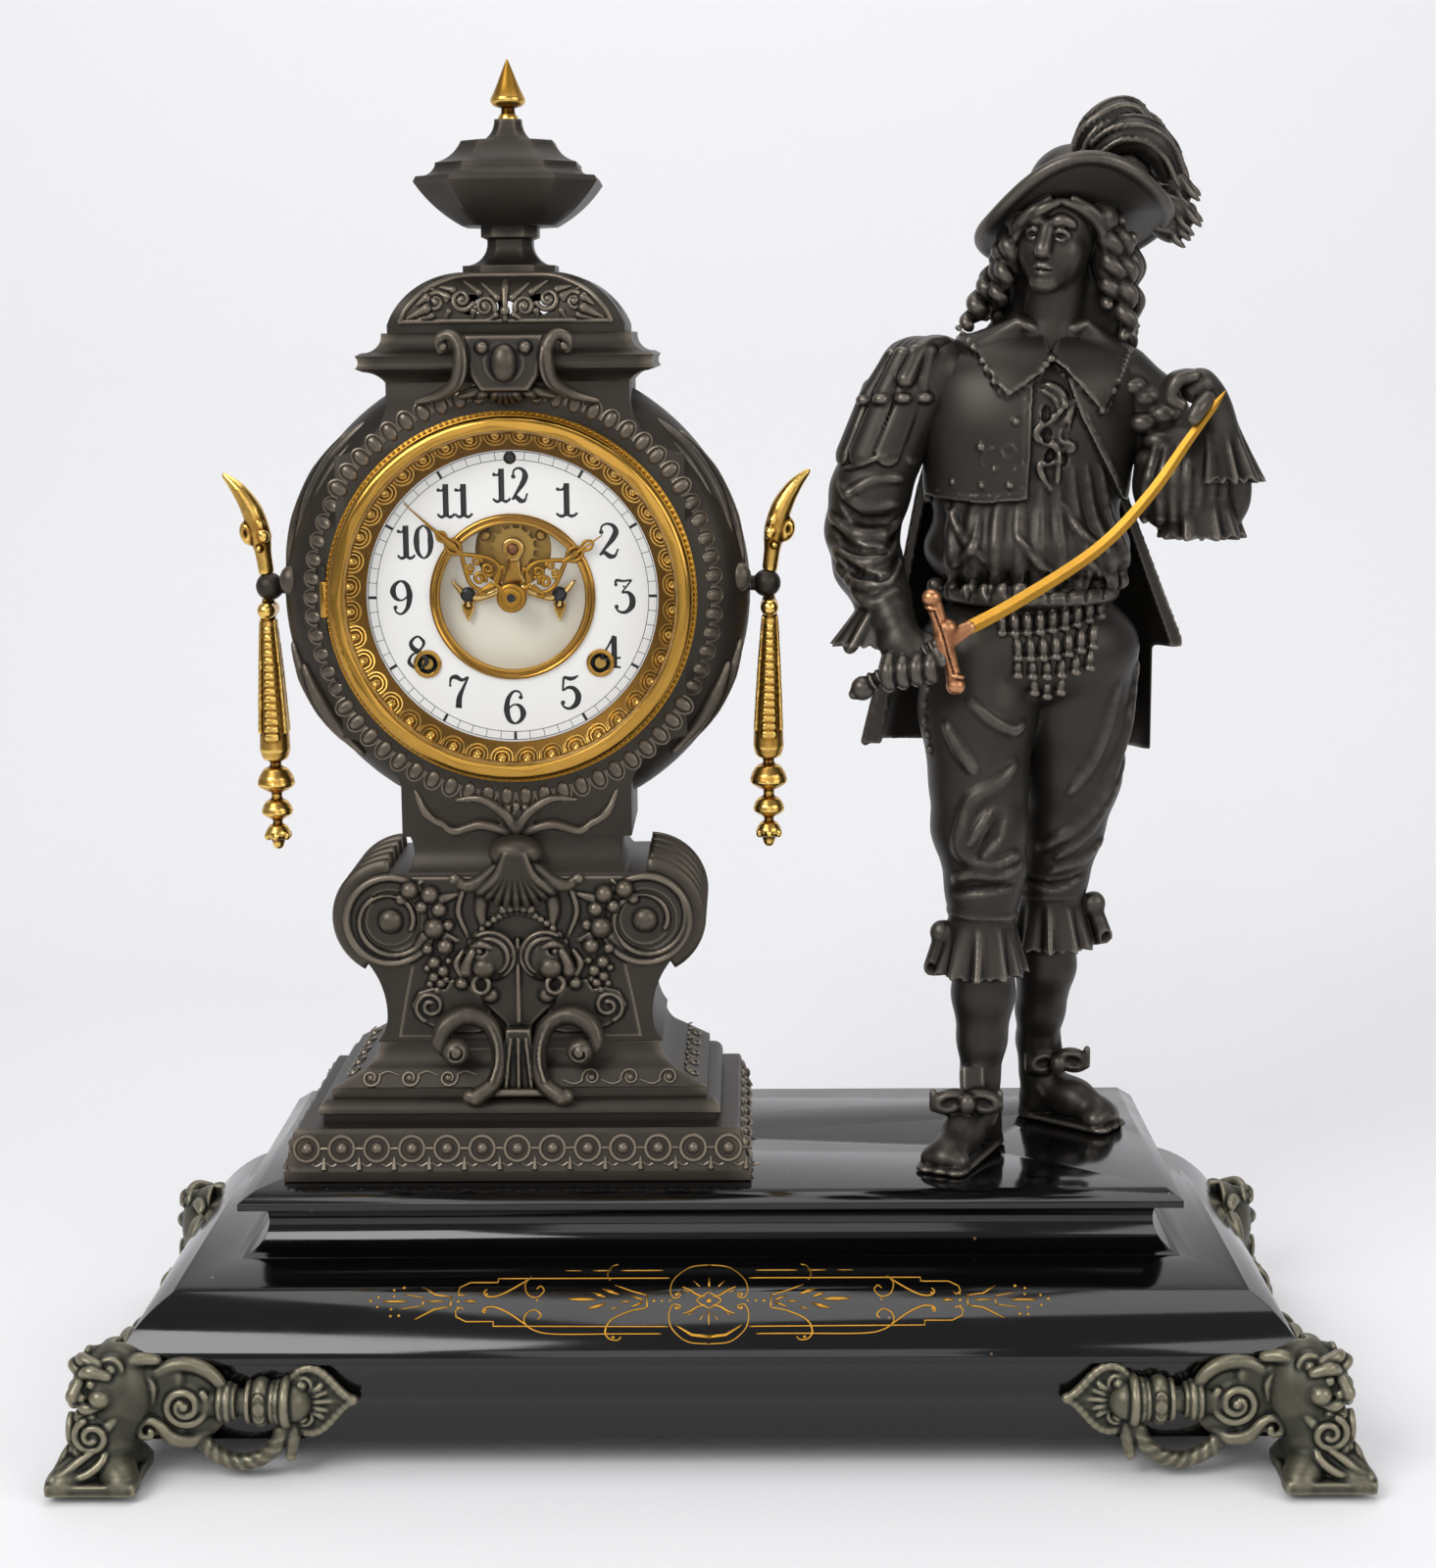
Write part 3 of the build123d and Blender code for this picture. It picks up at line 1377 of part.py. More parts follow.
with BuildPart() as second_wheel:
    add(rod(front_plate_y, back_plate_back, arbor_radius, second_place))
    add(
        wheel(
            gear_points(second_pinion_teeth, great_module, 0),
            great_wheel_y - pinion_over,
            great_thickness + 2 * pinion_over,
            second_place,
        )
    )
    add(
        wheel(
            gear_points(second_teeth, second_module, second_phase),
            second_wheel_y,
            great_thickness,
            second_place,
        )
    )

with BuildPart() as center_arbor:
    add(rod(hand_nut_front, back_plate_back, arbor_radius))
    add(rod(minute_hand_y, front_plate_y - moving_gap, cannon_radius))
    add(wheel(gear_points(cannon_teeth, cannon_module, 0), minute_wheel_y, motion_thickness))
    add(wheel(gear_points(center_teeth, center_module, 0), center_wheel_y, train_thickness))
    add(
        wheel(
            gear_points(center_pinion_teeth, second_module, 0),
            second_wheel_y - pinion_over,
            great_thickness + 2 * pinion_over,
        )
    )

with BuildPart() as third_wheel:
    add(rod(front_plate_y, back_plate_back, arbor_radius, third_place))
    add(
        wheel(
            gear_points(third_pinion_teeth, center_module, third_phase),
            center_wheel_y - pinion_over,
            train_thickness + 2 * pinion_over,
            third_place,
        )
    )
    add(wheel(gear_points(third_teeth, third_module, 0), third_wheel_y, train_thickness, third_place))

escape_points = []
for tooth in range(escape_teeth):
    start = 2 * pi * tooth / escape_teeth
    finish = start + 1.5 * pi / escape_teeth
    escape_points.append((escape_radius * cos(start), escape_radius * sin(start)))
    escape_points.append((escape_root * cos(start + 0.05), escape_root * sin(start + 0.05)))
    escape_points.append((escape_root * cos(finish), escape_root * sin(finish)))

with BuildPart() as escape_wheel:
    add(wheel(escape_points, escape_y, escape_thickness, escape_place))
    add(rod(bridge_y, back_plate_back, thin_arbor, escape_place))
    add(
        wheel(
            gear_points(escape_pinion_teeth, third_module, escape_phase),
            third_wheel_y - pinion_over,
            train_thickness + 2 * pinion_over,
            escape_place,
        )
    )

pallet_side = [(11.2, -4.5), (10.6, -7.8), (9.2, -7.2), (8.8, -4.8)]
pallet_points = [(0, 3.0), *pallet_side, (0, -1.6)]
pallet_points += [(-x, z) for x, z in reversed(pallet_side)]
fork_x = pendulum_half_width + moving_gap + thin_arbor / 2

with BuildPart() as pallet_anchor:
    add(wheel(pallet_points, escape_y, escape_thickness, pallet_place))
    add(rod(escape_y, crutch_y + crutch_thickness, thin_arbor, pallet_place))
    with BuildSketch(dial_plane(crutch_y)):
        with Locations((0, pallet_place[1] - crutch_length / 2)):
            SlotCenterToCenter(crutch_length, 4 * fork_x, rotation=90)
    extrude(amount=-crutch_thickness)
    for side in (-1, 1):
        fork_place = (side * fork_x, pallet_place[1] - crutch_length)
        add(rod(crutch_y, pendulum_y + pendulum_thickness, thin_arbor / 2, fork_place))

with BuildPart() as pendulum:
    with BuildSketch(dial_plane(pendulum_y)):
        with Locations(pallet_place):
            Circle(3 * thin_arbor)
        with Locations((0, pallet_place[1] - pendulum_length / 2)):
            Rectangle(2 * pendulum_half_width, pendulum_length)
        with Locations(pallet_place):
            Circle(thin_arbor + running_gap, mode=Mode.SUBTRACT)
    extrude(amount=-pendulum_thickness)
    add(rod(bob_front, bob_front + bob_thickness, bob_radius, (0, pallet_place[1] - pendulum_length)))

with BuildPart() as escapement_bridge:
    with BuildSketch(dial_plane(bridge_y)):
        with Locations(escape_place):
            Circle(2.4 * bridge_post)
        for place in bridge_places:
            middle = ((escape_place[0] + place[0]) / 2, (escape_place[1] + place[1]) / 2)
            span = hypot(place[0] - escape_place[0], place[1] - escape_place[1])
            with Locations(middle):
                slope = degrees(heading(escape_place, place))
                SlotCenterToCenter(span, 2.4 * bridge_post, rotation=slope)
        with Locations(escape_place):
            Circle(thin_arbor + running_gap, mode=Mode.SUBTRACT)
    extrude(amount=-bridge_thickness)
    for place in bridge_places:
        add(rod(bridge_y, front_plate_y, bridge_post, place))

with BuildPart() as minute_wheel:
    minute_bore = arbor_radius + running_gap
    add(
        wheel(
            gear_points(minute_wheel_teeth, cannon_module, minute_phase),
            minute_wheel_y,
            motion_thickness,
            minute_place,
        )
    )
    add(
        wheel(
            gear_points(minute_pinion_teeth, hour_module, 0),
            hour_wheel_y,
            minute_wheel_y - hour_wheel_y,
            minute_place,
        )
    )
    with BuildSketch(dial_plane(hour_wheel_y, *minute_place)):
        Circle(minute_bore)
    extrude(amount=hour_wheel_y - minute_wheel_y - motion_thickness, mode=Mode.SUBTRACT)

with BuildPart() as hour_wheel:
    add(wheel(gear_points(hour_wheel_teeth, hour_module, hour_phase), hour_wheel_y, motion_thickness))
    add(rod(hour_hand_y, hour_wheel_y + motion_thickness, hour_pipe_radius))
    with BuildSketch(dial_plane(hour_hand_y)):
        Circle(cannon_radius + running_gap)
    extrude(amount=hour_hand_y - hour_wheel_y - motion_thickness, mode=Mode.SUBTRACT)

minute_turn = 6 * shown_minute
hour_turn = 30 * (shown_hour + shown_minute / 60)


def hand(front, length, width, hub, bore, turn):
    # A pointed hand with a round hub, turned clockwise from upright.
    angle = radians(turn)
    face = Plane((case_x, front, dial_z), x_dir=(cos(angle), 0, -sin(angle)), z_dir=(0, -1, 0))
    with BuildPart() as body:
        with BuildSketch(face):
            Circle(hub)
            Polygon(
                (-width / 2, hub * 0.6),
                (-width, length * 0.45),
                (-width * 0.35, length * 0.62),
                (0, length),
                (width * 0.35, length * 0.62),
                (width, length * 0.45),
                (width / 2, hub * 0.6),
                align=None,
            )
            Circle(bore, mode=Mode.SUBTRACT)
        extrude(amount=-hand_thickness)
    return body.part


with BuildPart() as hour_hand:
    add(hand(hour_hand_y, hour_hand_length, 5.0, 6.0, hour_pipe_radius + thread_gap, hour_turn))

with BuildPart() as minute_hand:
    add(hand(minute_hand_y, minute_hand_length, 4.0, 4.6, cannon_radius + thread_gap, minute_turn))

with BuildPart() as hand_nut:
    add(rod(hand_nut_front, minute_hand_y, hand_nut_radius, bore=arbor_radius + thread_gap))

bell_z = plinth_top + bell_rise
strike_distance = bell_radius + hammer_head + hammer_rest
strike_angle = radians(30)
head_x = bell_x - strike_distance * cos(strike_angle)
head_z = bell_z + strike_distance * sin(strike_angle)

with BuildPart() as strike_bell:
    with BuildSketch(Plane((case_x + bell_x, hammer_y, bell_z), x_dir=(1, 0, 0), z_dir=(0, -1, 0))):
        with BuildLine():
            CenterArc((0, 0), bell_radius, 0, 90)
            CenterArc((0, 0), bell_radius - bell_wall, 0, 90)
            Line((bell_radius - bell_wall, 0), (bell_radius, 0))
            Line((0, bell_radius - bell_wall), (0, bell_radius))
        make_face()
    revolve(axis=Axis((case_x + bell_x, hammer_y, 0), (0, 0, 1)))
    with BuildSketch(Plane.XY.offset(plinth_top)):
        with Locations((case_x + bell_x, hammer_y)):
            Circle(pillar_radius)
    extrude(amount=bell_rise + bell_radius - bell_wall / 2)

with BuildPart() as strike_hammer:
    add(rod(front_plate_y, back_plate_back, arbor_radius, hammer_place))
    with Locations((case_x + head_x, hammer_y, head_z)):
        Sphere(hammer_head)
    with BuildLine() as hammer_line:
        Line((case_x + hammer_x, hammer_y, dial_z + hammer_z), (case_x + head_x, hammer_y, head_z))
    with BuildSketch(Plane(hammer_line.line @ 0, z_dir=hammer_line.line % 0)):
        Circle(arbor_radius)
    sweep(path=hammer_line.line)

with BuildPart() as regulator_arbor:
    add(rod(dial_front, back_plate_back + 1.0, regulator_radius, regulator_place))

# The figure, cast in several pieces, and the sword it holds


collar_height = hip_height + chest_length
brow_height = collar_height + head_length


def standing(x, y, z):
    # A place given from the figure's spot on the base.
    return (figure_x + x, figure_y + y, base_top_z + z)


def carried(x, y, z):
    # A place given from the middle of the figure's hips.
    return standing(x, y, hip_height + z)


def figure_limb(stations):
    # A limb with stations (x, y, z, radius) given from the figure's spot.
    return limb([(standing(x, y, z), radius) for x, y, z, radius in stations])


def leg(stations):
    # A leg with stations (x, y, share of the hip height, radius).
    return figure_limb([(x, y, share * hip_height, radius) for x, y, share, radius in stations])


def arm(stations):
    # An arm's part with stations (x, y, z, radius) given from the middle of the hips.
    return limb([(carried(x, y, z), radius) for x, y, z, radius in stations])


def figure_body(sections):
    # A body with level sections (x, y, z, half width, half depth) given from the figure's spot.
    return lofted([(*standing(x, y, z), width, depth) for x, y, z, width, depth in sections])


def shoe(heel, toe):
    # A shoe from the heel to the toe, narrower above.
    length = hypot(toe[0] - heel[0], toe[1] - heel[1])
    middle = standing((heel[0] + toe[0]) / 2, (heel[1] + toe[1]) / 2, 0)
    with BuildPart() as body:
        with BuildSketch(Plane(middle)):
            turn = degrees(heading(heel, toe))
            SlotCenterToCenter(length - 2 * shoe_half_width, 2 * shoe_half_width, rotation=turn)
        extrude(amount=shoe_height, taper=14)
    return body.part


right_leg = leg(
    [
        (-16, -2, 0.992, 22),
        (-19, -8, 0.775, 20.5),
        (-21, -16, 0.587, 15.5),
        (-19.5, -13, 0.439, 11.8),
        (-18.5, -13, 0.284, 9.5),
        (-18, -14, 0.145, 7.5),
        (-18, -14, 0.021, 8),
    ]
)
left_leg = leg(
    [
        (20, 6, 0.992, 22),
        (20, 10, 0.775, 20.5),
        (20, 14, 0.587, 15.5),
        (17, 19, 0.439, 11.8),
        (15, 24, 0.284, 9.5),
        (13.5, 28, 0.145, 7.5),
        (13.5, 28, 0.021, 8),
    ]
)
hips = figure_body(
    [
        (2, 2, 0.8265 * hip_height, 38, 22),
        (1, 0, 0.93 * hip_height, 42, 27),
        (0, 0, hip_height, 42, 27),
    ]
)
right_ruffle = figure_body(
    [
        (-20, -14, 0.372 * hip_height, 20, 18),
        (-20, -15, 0.434 * hip_height, 18.5, 17),
        (-20.5, -15, 0.486 * hip_height, 14, 14),
    ]
)
left_ruffle = figure_body(
    [
        (17, 18, 0.429 * hip_height, 20, 18),
        (17.5, 17, 0.475 * hip_height, 18.5, 17),
        (18, 16, 0.522 * hip_height, 14, 14),
    ]
)
right_shoe = shoe((-14.5, -7), (-34, -47))
left_shoe = shoe((9, 33), (37, 8))
chest = figure_body(
    [
        (0, 0, hip_height, 42, 27),
        (0, 0, hip_height + 0.28 * chest_length, 38, 26),
        (1, 0, hip_height + 0.576 * chest_length, 40, 28),
        (4, 1, hip_height + 0.803 * chest_length, 44, 27),
        (8, 1, hip_height + 0.909 * chest_length, 38, 21),
        (13, -1, collar_height, 15, 13),
    ]
)
chest_void = figure_body(
    [
        (0, 0, hip_height, 34, 19),
        (0, 0, hip_height + 0.28 * chest_length, 30, 18),
        (1, 0, hip_height + 0.576 * chest_length, 31, 19),
        (4, 1, hip_height + 0.7425 * chest_length, 30, 15),
    ]
)

with BuildPart() as figure_torso:
    add(chest)
    add(chest_void, mode=Mode.SUBTRACT)

with BuildPart() as figure_legs:
    add(right_leg)
    add(left_leg)
    add(hips)
    add(right_ruffle)
    add(left_ruffle)
    add(right_shoe)
    add(left_shoe)
    with BuildSketch(Plane(standing(0, 0, hip_height))):
        Rectangle(4 * hip_height, 4 * hip_height)
    extrude(amount=hip_height, mode=Mode.SUBTRACT)
    with BuildSketch(Plane.XY.offset(base_top_z)):
        with Locations(*figure_bolt_places):
            Circle(foot_screw_radius + thread_gap)
    extrude(amount=stud_top - base_top_z + thread_gap, mode=Mode.SUBTRACT)

neck = figure_limb([(14, -2, collar_height - 4, 11), (11, -8, brow_height - 27.4, 10)])
face = figure_body(
    [
        (10.5, -14, brow_height - 39, 8, 9),
        (10.5, -13, brow_height - 31, 13, 15),
        (10.5, -11, brow_height - 19, 17, 19),
        (10.5, -10, brow_height - 9, 17.5, 20),
        (11, -9, brow_height, 17, 19.5),
    ]
)
hair = figure_body(
    [
        (13, 4, brow_height - 49, 24, 12),
        (12.5, 5, brow_height - 31, 26, 16),
        (12, 3, brow_height - 11, 24, 17),
        (12, 0, brow_height, 21, 17),
    ]
)

with BuildPart() as figure_head:
    add(neck)
    add(face)
    add(hair)
    add(chest, mode=Mode.SUBTRACT)

brim = figure_body([(18.5, -4, brow_height, 35, 32), (18.5, -4, brow_height + 4, 37, 34)])
crown = figure_body([(18.5, -4, brow_height + 3, 22, 21), (18, -3, brow_height + 30, 18, 17.5)])

with BuildPart() as figure_hat:
    add(brim)
    add(crown)

plume = figure_limb(
    [
        (8, 6, brow_height + 31, 6.5),
        (22, 4, brow_height + 37, 8.5),
        (36, 4, brow_height + 35, 9.5),
        (50, 8, brow_height + 28, 8.5),
        (60, 13, brow_height + 18, 6.5),
        (68, 18, brow_height + 7, 2.5),
    ]
)

with BuildPart() as figure_plume:
    add(plume)
    add(figure_hat.part, mode=Mode.SUBTRACT)

pommel = carried(-66.5, sword_out + 5, -0.6)
guard_middle = carried(-36, sword_out, 18)
guard_ends = [carried(-40.6, sword_out, 34.8), carried(-31, sword_out, 0.7)]
blade_line = [(-36, 18), (22.6, 53), (57, 95), (69.5, 112)]
hand_y = sword_out + hand_radius - 1.0

grip_vector = Vector(*guard_middle) - Vector(*pommel)
grip_direction = grip_vector.normalized()
grip_across = Vector(0, 1, 0).cross(grip_direction).normalized()
pommel_radius = 2 * grip_radius
pommel_end = sqrt(pommel_radius**2 - grip_radius**2)

with BuildPart() as sword_grip:
    with BuildSketch(Plane(pommel, x_dir=grip_direction, z_dir=grip_direction.cross(grip_across))):
        with BuildLine():
            ThreePointArc((-pommel_radius, 0), (0, pommel_radius), (pommel_end, grip_radius))
            Polyline(
                (pommel_end, grip_radius),
                (grip_vector.length, grip_radius),
                (grip_vector.length, 0),
                (-pommel_radius, 0),
            )
        make_face()
    revolve(axis=Axis(pommel, grip_direction))

with BuildPart() as sword_guard:
    with BuildLine() as guard_line:
        Line(*guard_ends)
    with BuildSketch(Plane(guard_ends[0], z_dir=guard_line.line % 0)):
        Circle(guard_radius)
    sweep(path=guard_line.line)
    with Locations(*guard_ends):
        Sphere(1.6 * guard_radius)
    with BuildSketch(Plane(guard_middle, z_dir=grip_direction)):
        Circle(guard_disc)
    extrude(amount=guard_radius, both=True)
    add(sword_grip.part, mode=Mode.SUBTRACT)

with BuildPart() as sword_blade:
    blade_plane = Plane(
        carried(0, sword_out - blade_thickness / 2, 0), x_dir=(1, 0, 0), z_dir=(0, -1, 0)
    )
    with BuildSketch(blade_plane):
        with BuildLine():
            first, second, third, tip = blade_line
            slopes = [heading(first, second), heading(first, third), heading(second, tip)]
            edges = []
            for side in (-1, 1):
                edge = []
                for place, slope in zip(blade_line, slopes):
                    shift = side * blade_half_width
                    edge.append((place[0] - shift * sin(slope), place[1] + shift * cos(slope)))
                Spline(*edge, tip)
                edges.append(edge[0])
            Line(*edges)
        make_face()
    extrude(amount=-blade_thickness)
    add(sword_guard.part, mode=Mode.SUBTRACT)
    add(sword_grip.part, mode=Mode.SUBTRACT)

right_upper = arm([(-36, 1, 112.4, 17), (-50, 1, 82.4, 17.5), (-64, 2, 49.4, 14)])
right_fore = arm(
    [
        (-64, 2, 49.4, 13),
        (-59, -14, 32.4, 12.5),
        (-54, -30, 16.4, 8.5),
        (-50, hand_y, 10, hand_radius),
        (-48, hand_y - 6, 4.4, hand_radius / 2),
    ]
)
left_upper = arm([(38, 4, 109.4, 17), (55, -3, 86.4, 18), (68, -10, 64.4, 14)])
left_fore = arm(
    [
        (68, -10, 64.4, 13),
        (70, -20, 80.4, 12.5),
        (66, -31, 98.4, 8.5),
        (61, hand_y, 108.4, hand_radius),
        (57, hand_y - 6, 114.4, hand_radius / 2),
    ]
)

with BuildPart() as figure_right_arm:
    add(right_upper)
    add(right_fore)
    with Locations(carried(-64, 2, 49.4)):
        Sphere(elbow_radius)
    add(chest, mode=Mode.SUBTRACT)
    add(sword_grip.part, mode=Mode.SUBTRACT)
    add(sword_guard.part, mode=Mode.SUBTRACT)

with BuildPart() as figure_left_arm:
    add(left_upper)
    add(left_fore)
    with Locations(carried(68, -10, 64.4)):
        Sphere(elbow_radius)
    add(chest, mode=Mode.SUBTRACT)
    add(figure_head.part, mode=Mode.SUBTRACT)
    add(sword_blade.part, mode=Mode.SUBTRACT)

coat_outside = figure_body(
    [
        (-1, 12, hip_height - 35.6, 62, 36),
        (-2, 10, hip_height + 6.4, 52, 33),
        (0, 5, hip_height + 42.4, 40, 29),
    ]
)
coat_inside = figure_body(
    [
        (-1, 12, hip_height - 35.6, 62 - coat_wall, 36 - coat_wall),
        (-2, 9, hip_height + 6.4, 52 - 2 * coat_wall, 33 - 2 * coat_wall),
    ]
)

with BuildPart() as figure_coat:
    add(coat_outside)
    add(coat_inside, mode=Mode.SUBTRACT)
    with BuildSketch(Plane(standing(0, 4, 0))):
        with Locations((0, -hip_height)):
            Rectangle(2 * hip_height, 2 * hip_height)
    extrude(amount=2 * hip_height, mode=Mode.SUBTRACT)
    add(chest, mode=Mode.SUBTRACT)
    add(hips, mode=Mode.SUBTRACT)
    add(right_leg, mode=Mode.SUBTRACT)
    add(left_leg, mode=Mode.SUBTRACT)
    add(figure_right_arm.part, mode=Mode.SUBTRACT)
    add(figure_left_arm.part, mode=Mode.SUBTRACT)

# Every piece is named and saved to its own file

os.makedirs("parts", exist_ok=True)
pieces = {
    "base_skirt": base_skirt,
    "base_cushion": base_cushion,
    "base_cove": base_cove,
    "base_top": base_top,
    "base_fasteners": base_fasteners,
    "foot_front_left": foot_front_left,
    "foot_front_right": foot_front_right,
    "foot_rear_left": foot_rear_left,
    "foot_rear_right": foot_rear_right,
    "case_plinth": case_plinth,
    "case_pedestal": case_pedestal,
    "case_drum": case_drum,
    "case_cornice": case_cornice,
    "case_dome": case_dome,
    "case_urn": case_urn,
    "urn_finial": urn_finial,
    "urn_rod": urn_rod,
    "handle_bosses": handle_bosses,
    "handle_left": handle_left,
    "handle_right": handle_right,
    "back_door": back_door,
    "bezel": bezel,
    "bezel_glass": bezel_glass,
    "sash_ring": sash_ring,
    "bezel_pin": bezel_pin,
    "dial": dial,
    "center_ring": center_ring,
    "center_plate": center_plate,
    "winding_grommets": winding_grommets,
    "hour_hand": hour_hand,
    "minute_hand": minute_hand,
    "hand_nut": hand_nut,
    "front_plate": front_plate,
    "back_plate": back_plate,
    "movement_fasteners": movement_fasteners,
    "time_barrel": time_barrel,
    "strike_barrel": strike_barrel,
    "second_wheel": second_wheel,
    "center_arbor": center_arbor,
    "third_wheel": third_wheel,
    "escape_wheel": escape_wheel,
    "pallet_anchor": pallet_anchor,
    "escapement_bridge": escapement_bridge,
    "pendulum": pendulum,
    "minute_wheel": minute_wheel,
    "hour_wheel": hour_wheel,
    "strike_bell": strike_bell,
    "strike_hammer": strike_hammer,
    "regulator_arbor": regulator_arbor,
    "figure_legs": figure_legs,
    "figure_torso": figure_torso,
    "figure_coat": figure_coat,
    "figure_head": figure_head,
    "figure_hat": figure_hat,
    "figure_plume": figure_plume,
    "figure_right_arm": figure_right_arm,
    "figure_left_arm": figure_left_arm,
    "sword_grip": sword_grip,
    "sword_guard": sword_guard,
    "sword_blade": sword_blade,
}
for name, piece in pieces.items():
    piece.part.label = name
    export_step(piece.part, f"parts/{name}.step")
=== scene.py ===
import math
import bmesh
import bpy
import numpy as np
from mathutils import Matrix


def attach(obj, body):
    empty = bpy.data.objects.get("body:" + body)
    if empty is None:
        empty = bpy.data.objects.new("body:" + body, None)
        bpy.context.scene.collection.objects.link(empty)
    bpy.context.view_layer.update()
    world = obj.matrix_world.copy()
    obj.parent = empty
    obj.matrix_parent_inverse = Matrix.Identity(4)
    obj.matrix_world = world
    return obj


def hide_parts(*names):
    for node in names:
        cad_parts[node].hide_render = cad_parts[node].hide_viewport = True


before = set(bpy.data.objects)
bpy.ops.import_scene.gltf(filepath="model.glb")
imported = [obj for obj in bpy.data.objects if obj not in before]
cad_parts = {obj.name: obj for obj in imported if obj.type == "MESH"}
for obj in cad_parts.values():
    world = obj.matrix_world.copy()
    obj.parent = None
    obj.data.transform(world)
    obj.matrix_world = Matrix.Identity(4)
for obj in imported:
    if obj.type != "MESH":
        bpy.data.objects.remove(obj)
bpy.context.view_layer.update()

import openvdb
from mathutils import Matrix, Vector
from mathutils.bvhtree import BVHTree

print("stage: frame loaded")

# everything below is thought out in millimetres and written to meshes in metres
mm = 0.001
place = {"caseX": -75.7, "caseY": 21.8, "dialZ": 326.1, "baseTop": 98.4, "plinthTop": 148.6,
         "pedestalTop": 217.3, "hoodTop": 231.2, "corniceZ": 409.3, "domeZ": 428.0, "urnZ": 451.0,
         "finialZ": 509.5, "figX": 127.0, "figY": 22.0}


def tone(code):
    # sRGB hex to the linear colour that shaders take
    parts = [int(code[i:i + 2], 16) / 255 for i in (1, 3, 5)]
    return tuple(c / 12.92 if c <= 0.04045 else ((c + 0.055) / 1.055) ** 2.4 for c in parts) + (1.0,)


def addNode(tree, kind, settings=None, links=None, **options):
    node = tree.nodes.new(kind)
    for key, value in options.items():
        setattr(node, key, value)
    for key, value in (settings or {}).items():
        node.inputs[key].default_value = value
    for key, source in (links or {}).items():
        tree.links.new(source, node.inputs[key])
    return node


def blankMaterial(name):
    material = bpy.data.materials.new(name)
    material.use_nodes = True
    tree = material.node_tree
    tree.nodes.clear()
    shader = addNode(tree, "ShaderNodeBsdfPrincipled")
    addNode(tree, "ShaderNodeOutputMaterial", links={"Surface": shader.outputs[0]})
    return material, tree, shader


def castMetal(name, look):
    # a cast surface: darker in the hollows, as patina and as painted shade; bright on the high places, as rubbed wear
    # and as painted highlight; mottled and finely pitted
    material, tree, shader = blankMaterial(name)
    where = addNode(tree, "ShaderNodeTexCoord").outputs["Object"]
    mottle = addNode(tree, "ShaderNodeTexNoise", {"Scale": 1 / (look["mottle"] * mm), "Detail": 5.0}, {"Vector": where})
    pits = addNode(tree, "ShaderNodeTexNoise", {"Scale": 1 / (look["pits"] * mm), "Detail": 3.0}, {"Vector": where})
    wearAndPaintedLight = addNode(tree, "ShaderNodeAttribute", attribute_name="wearAndPaintedLight")
    spread = addNode(tree, "ShaderNodeMath", {1: look["ragged"]}, {0: mottle.outputs["Fac"]}, operation="MULTIPLY")
    high = addNode(tree, "ShaderNodeMath", {}, {0: wearAndPaintedLight.outputs["Fac"], 1: spread.outputs[0]}, operation="ADD")
    # painted highlight as well as rubbed wear: the ridges and the mottle's high spots take the bright colour
    rubbedAndHighlit = addNode(tree, "ShaderNodeMapRange", {"From Min": look["rubAndHighlightFrom"], "From Max": look["rubAndHighlightTo"]}, {"Value": high.outputs[0]})
    # painted shade as well as patina: the hollows take the deep colour
    hollowsPatinaAndShade = addNode(tree, "ShaderNodeMapRange", {"From Min": -0.05, "From Max": -0.6}, {"Value": wearAndPaintedLight.outputs["Fac"]})
    ground = addNode(tree, "ShaderNodeMix", {}, {"Factor": mottle.outputs["Fac"]}, data_type="RGBA")
    ground.inputs[6].default_value, ground.inputs[7].default_value = tone(look["body"]), tone(look["patch"])
    dark = addNode(tree, "ShaderNodeMix", {}, {"Factor": hollowsPatinaAndShade.outputs[0]}, data_type="RGBA")
    tree.links.new(ground.outputs[2], dark.inputs[6])
    dark.inputs[7].default_value = tone(look["deep"])
    wornAndHighlit = addNode(tree, "ShaderNodeMix", {}, {"Factor": rubbedAndHighlit.outputs[0]}, data_type="RGBA")
    tree.links.new(dark.outputs[2], wornAndHighlit.inputs[6])
    wornAndHighlit.inputs[7].default_value = tone(look["bright"])
    tree.links.new(wornAndHighlit.outputs[2], shader.inputs["Base Color"])
    rough = addNode(tree, "ShaderNodeMapRange", {"To Min": look["rough"], "To Max": look["brightRough"]}, {"Value": rubbedAndHighlit.outputs[0]})
    tree.links.new(rough.outputs[0], shader.inputs["Roughness"])
    bump = addNode(tree, "ShaderNodeBump", {"Strength": look["bump"], "Distance": 0.25 * mm}, {"Height": pits.outputs["Fac"]})
    tree.links.new(bump.outputs[0], shader.inputs["Normal"])
    shader.inputs["Metallic"].default_value = look["metallic"]
    return material


# in each finish below, deep is the hollows' colour, patina and painted shade, and bright is the ridges' colour, rubbed
# wear and painted highlight
# patinated spelter: zinc cast hollow, chemically browned and waxed, so dark with a soft grey sheen
patinatedSpelter = castMetal("patinatedSpelterCast", {
    "body": "#3d3830", "patch": "#2c2824", "deep": "#14120f", "bright": "#6c6357", "metallic": 0.72, "rough": 0.47, "brightRough": 0.34,
    "mottle": 16, "pits": 0.9, "ragged": 0.35, "rubAndHighlightFrom": 0.25, "rubAndHighlightTo": 0.95, "bump": 0.16})
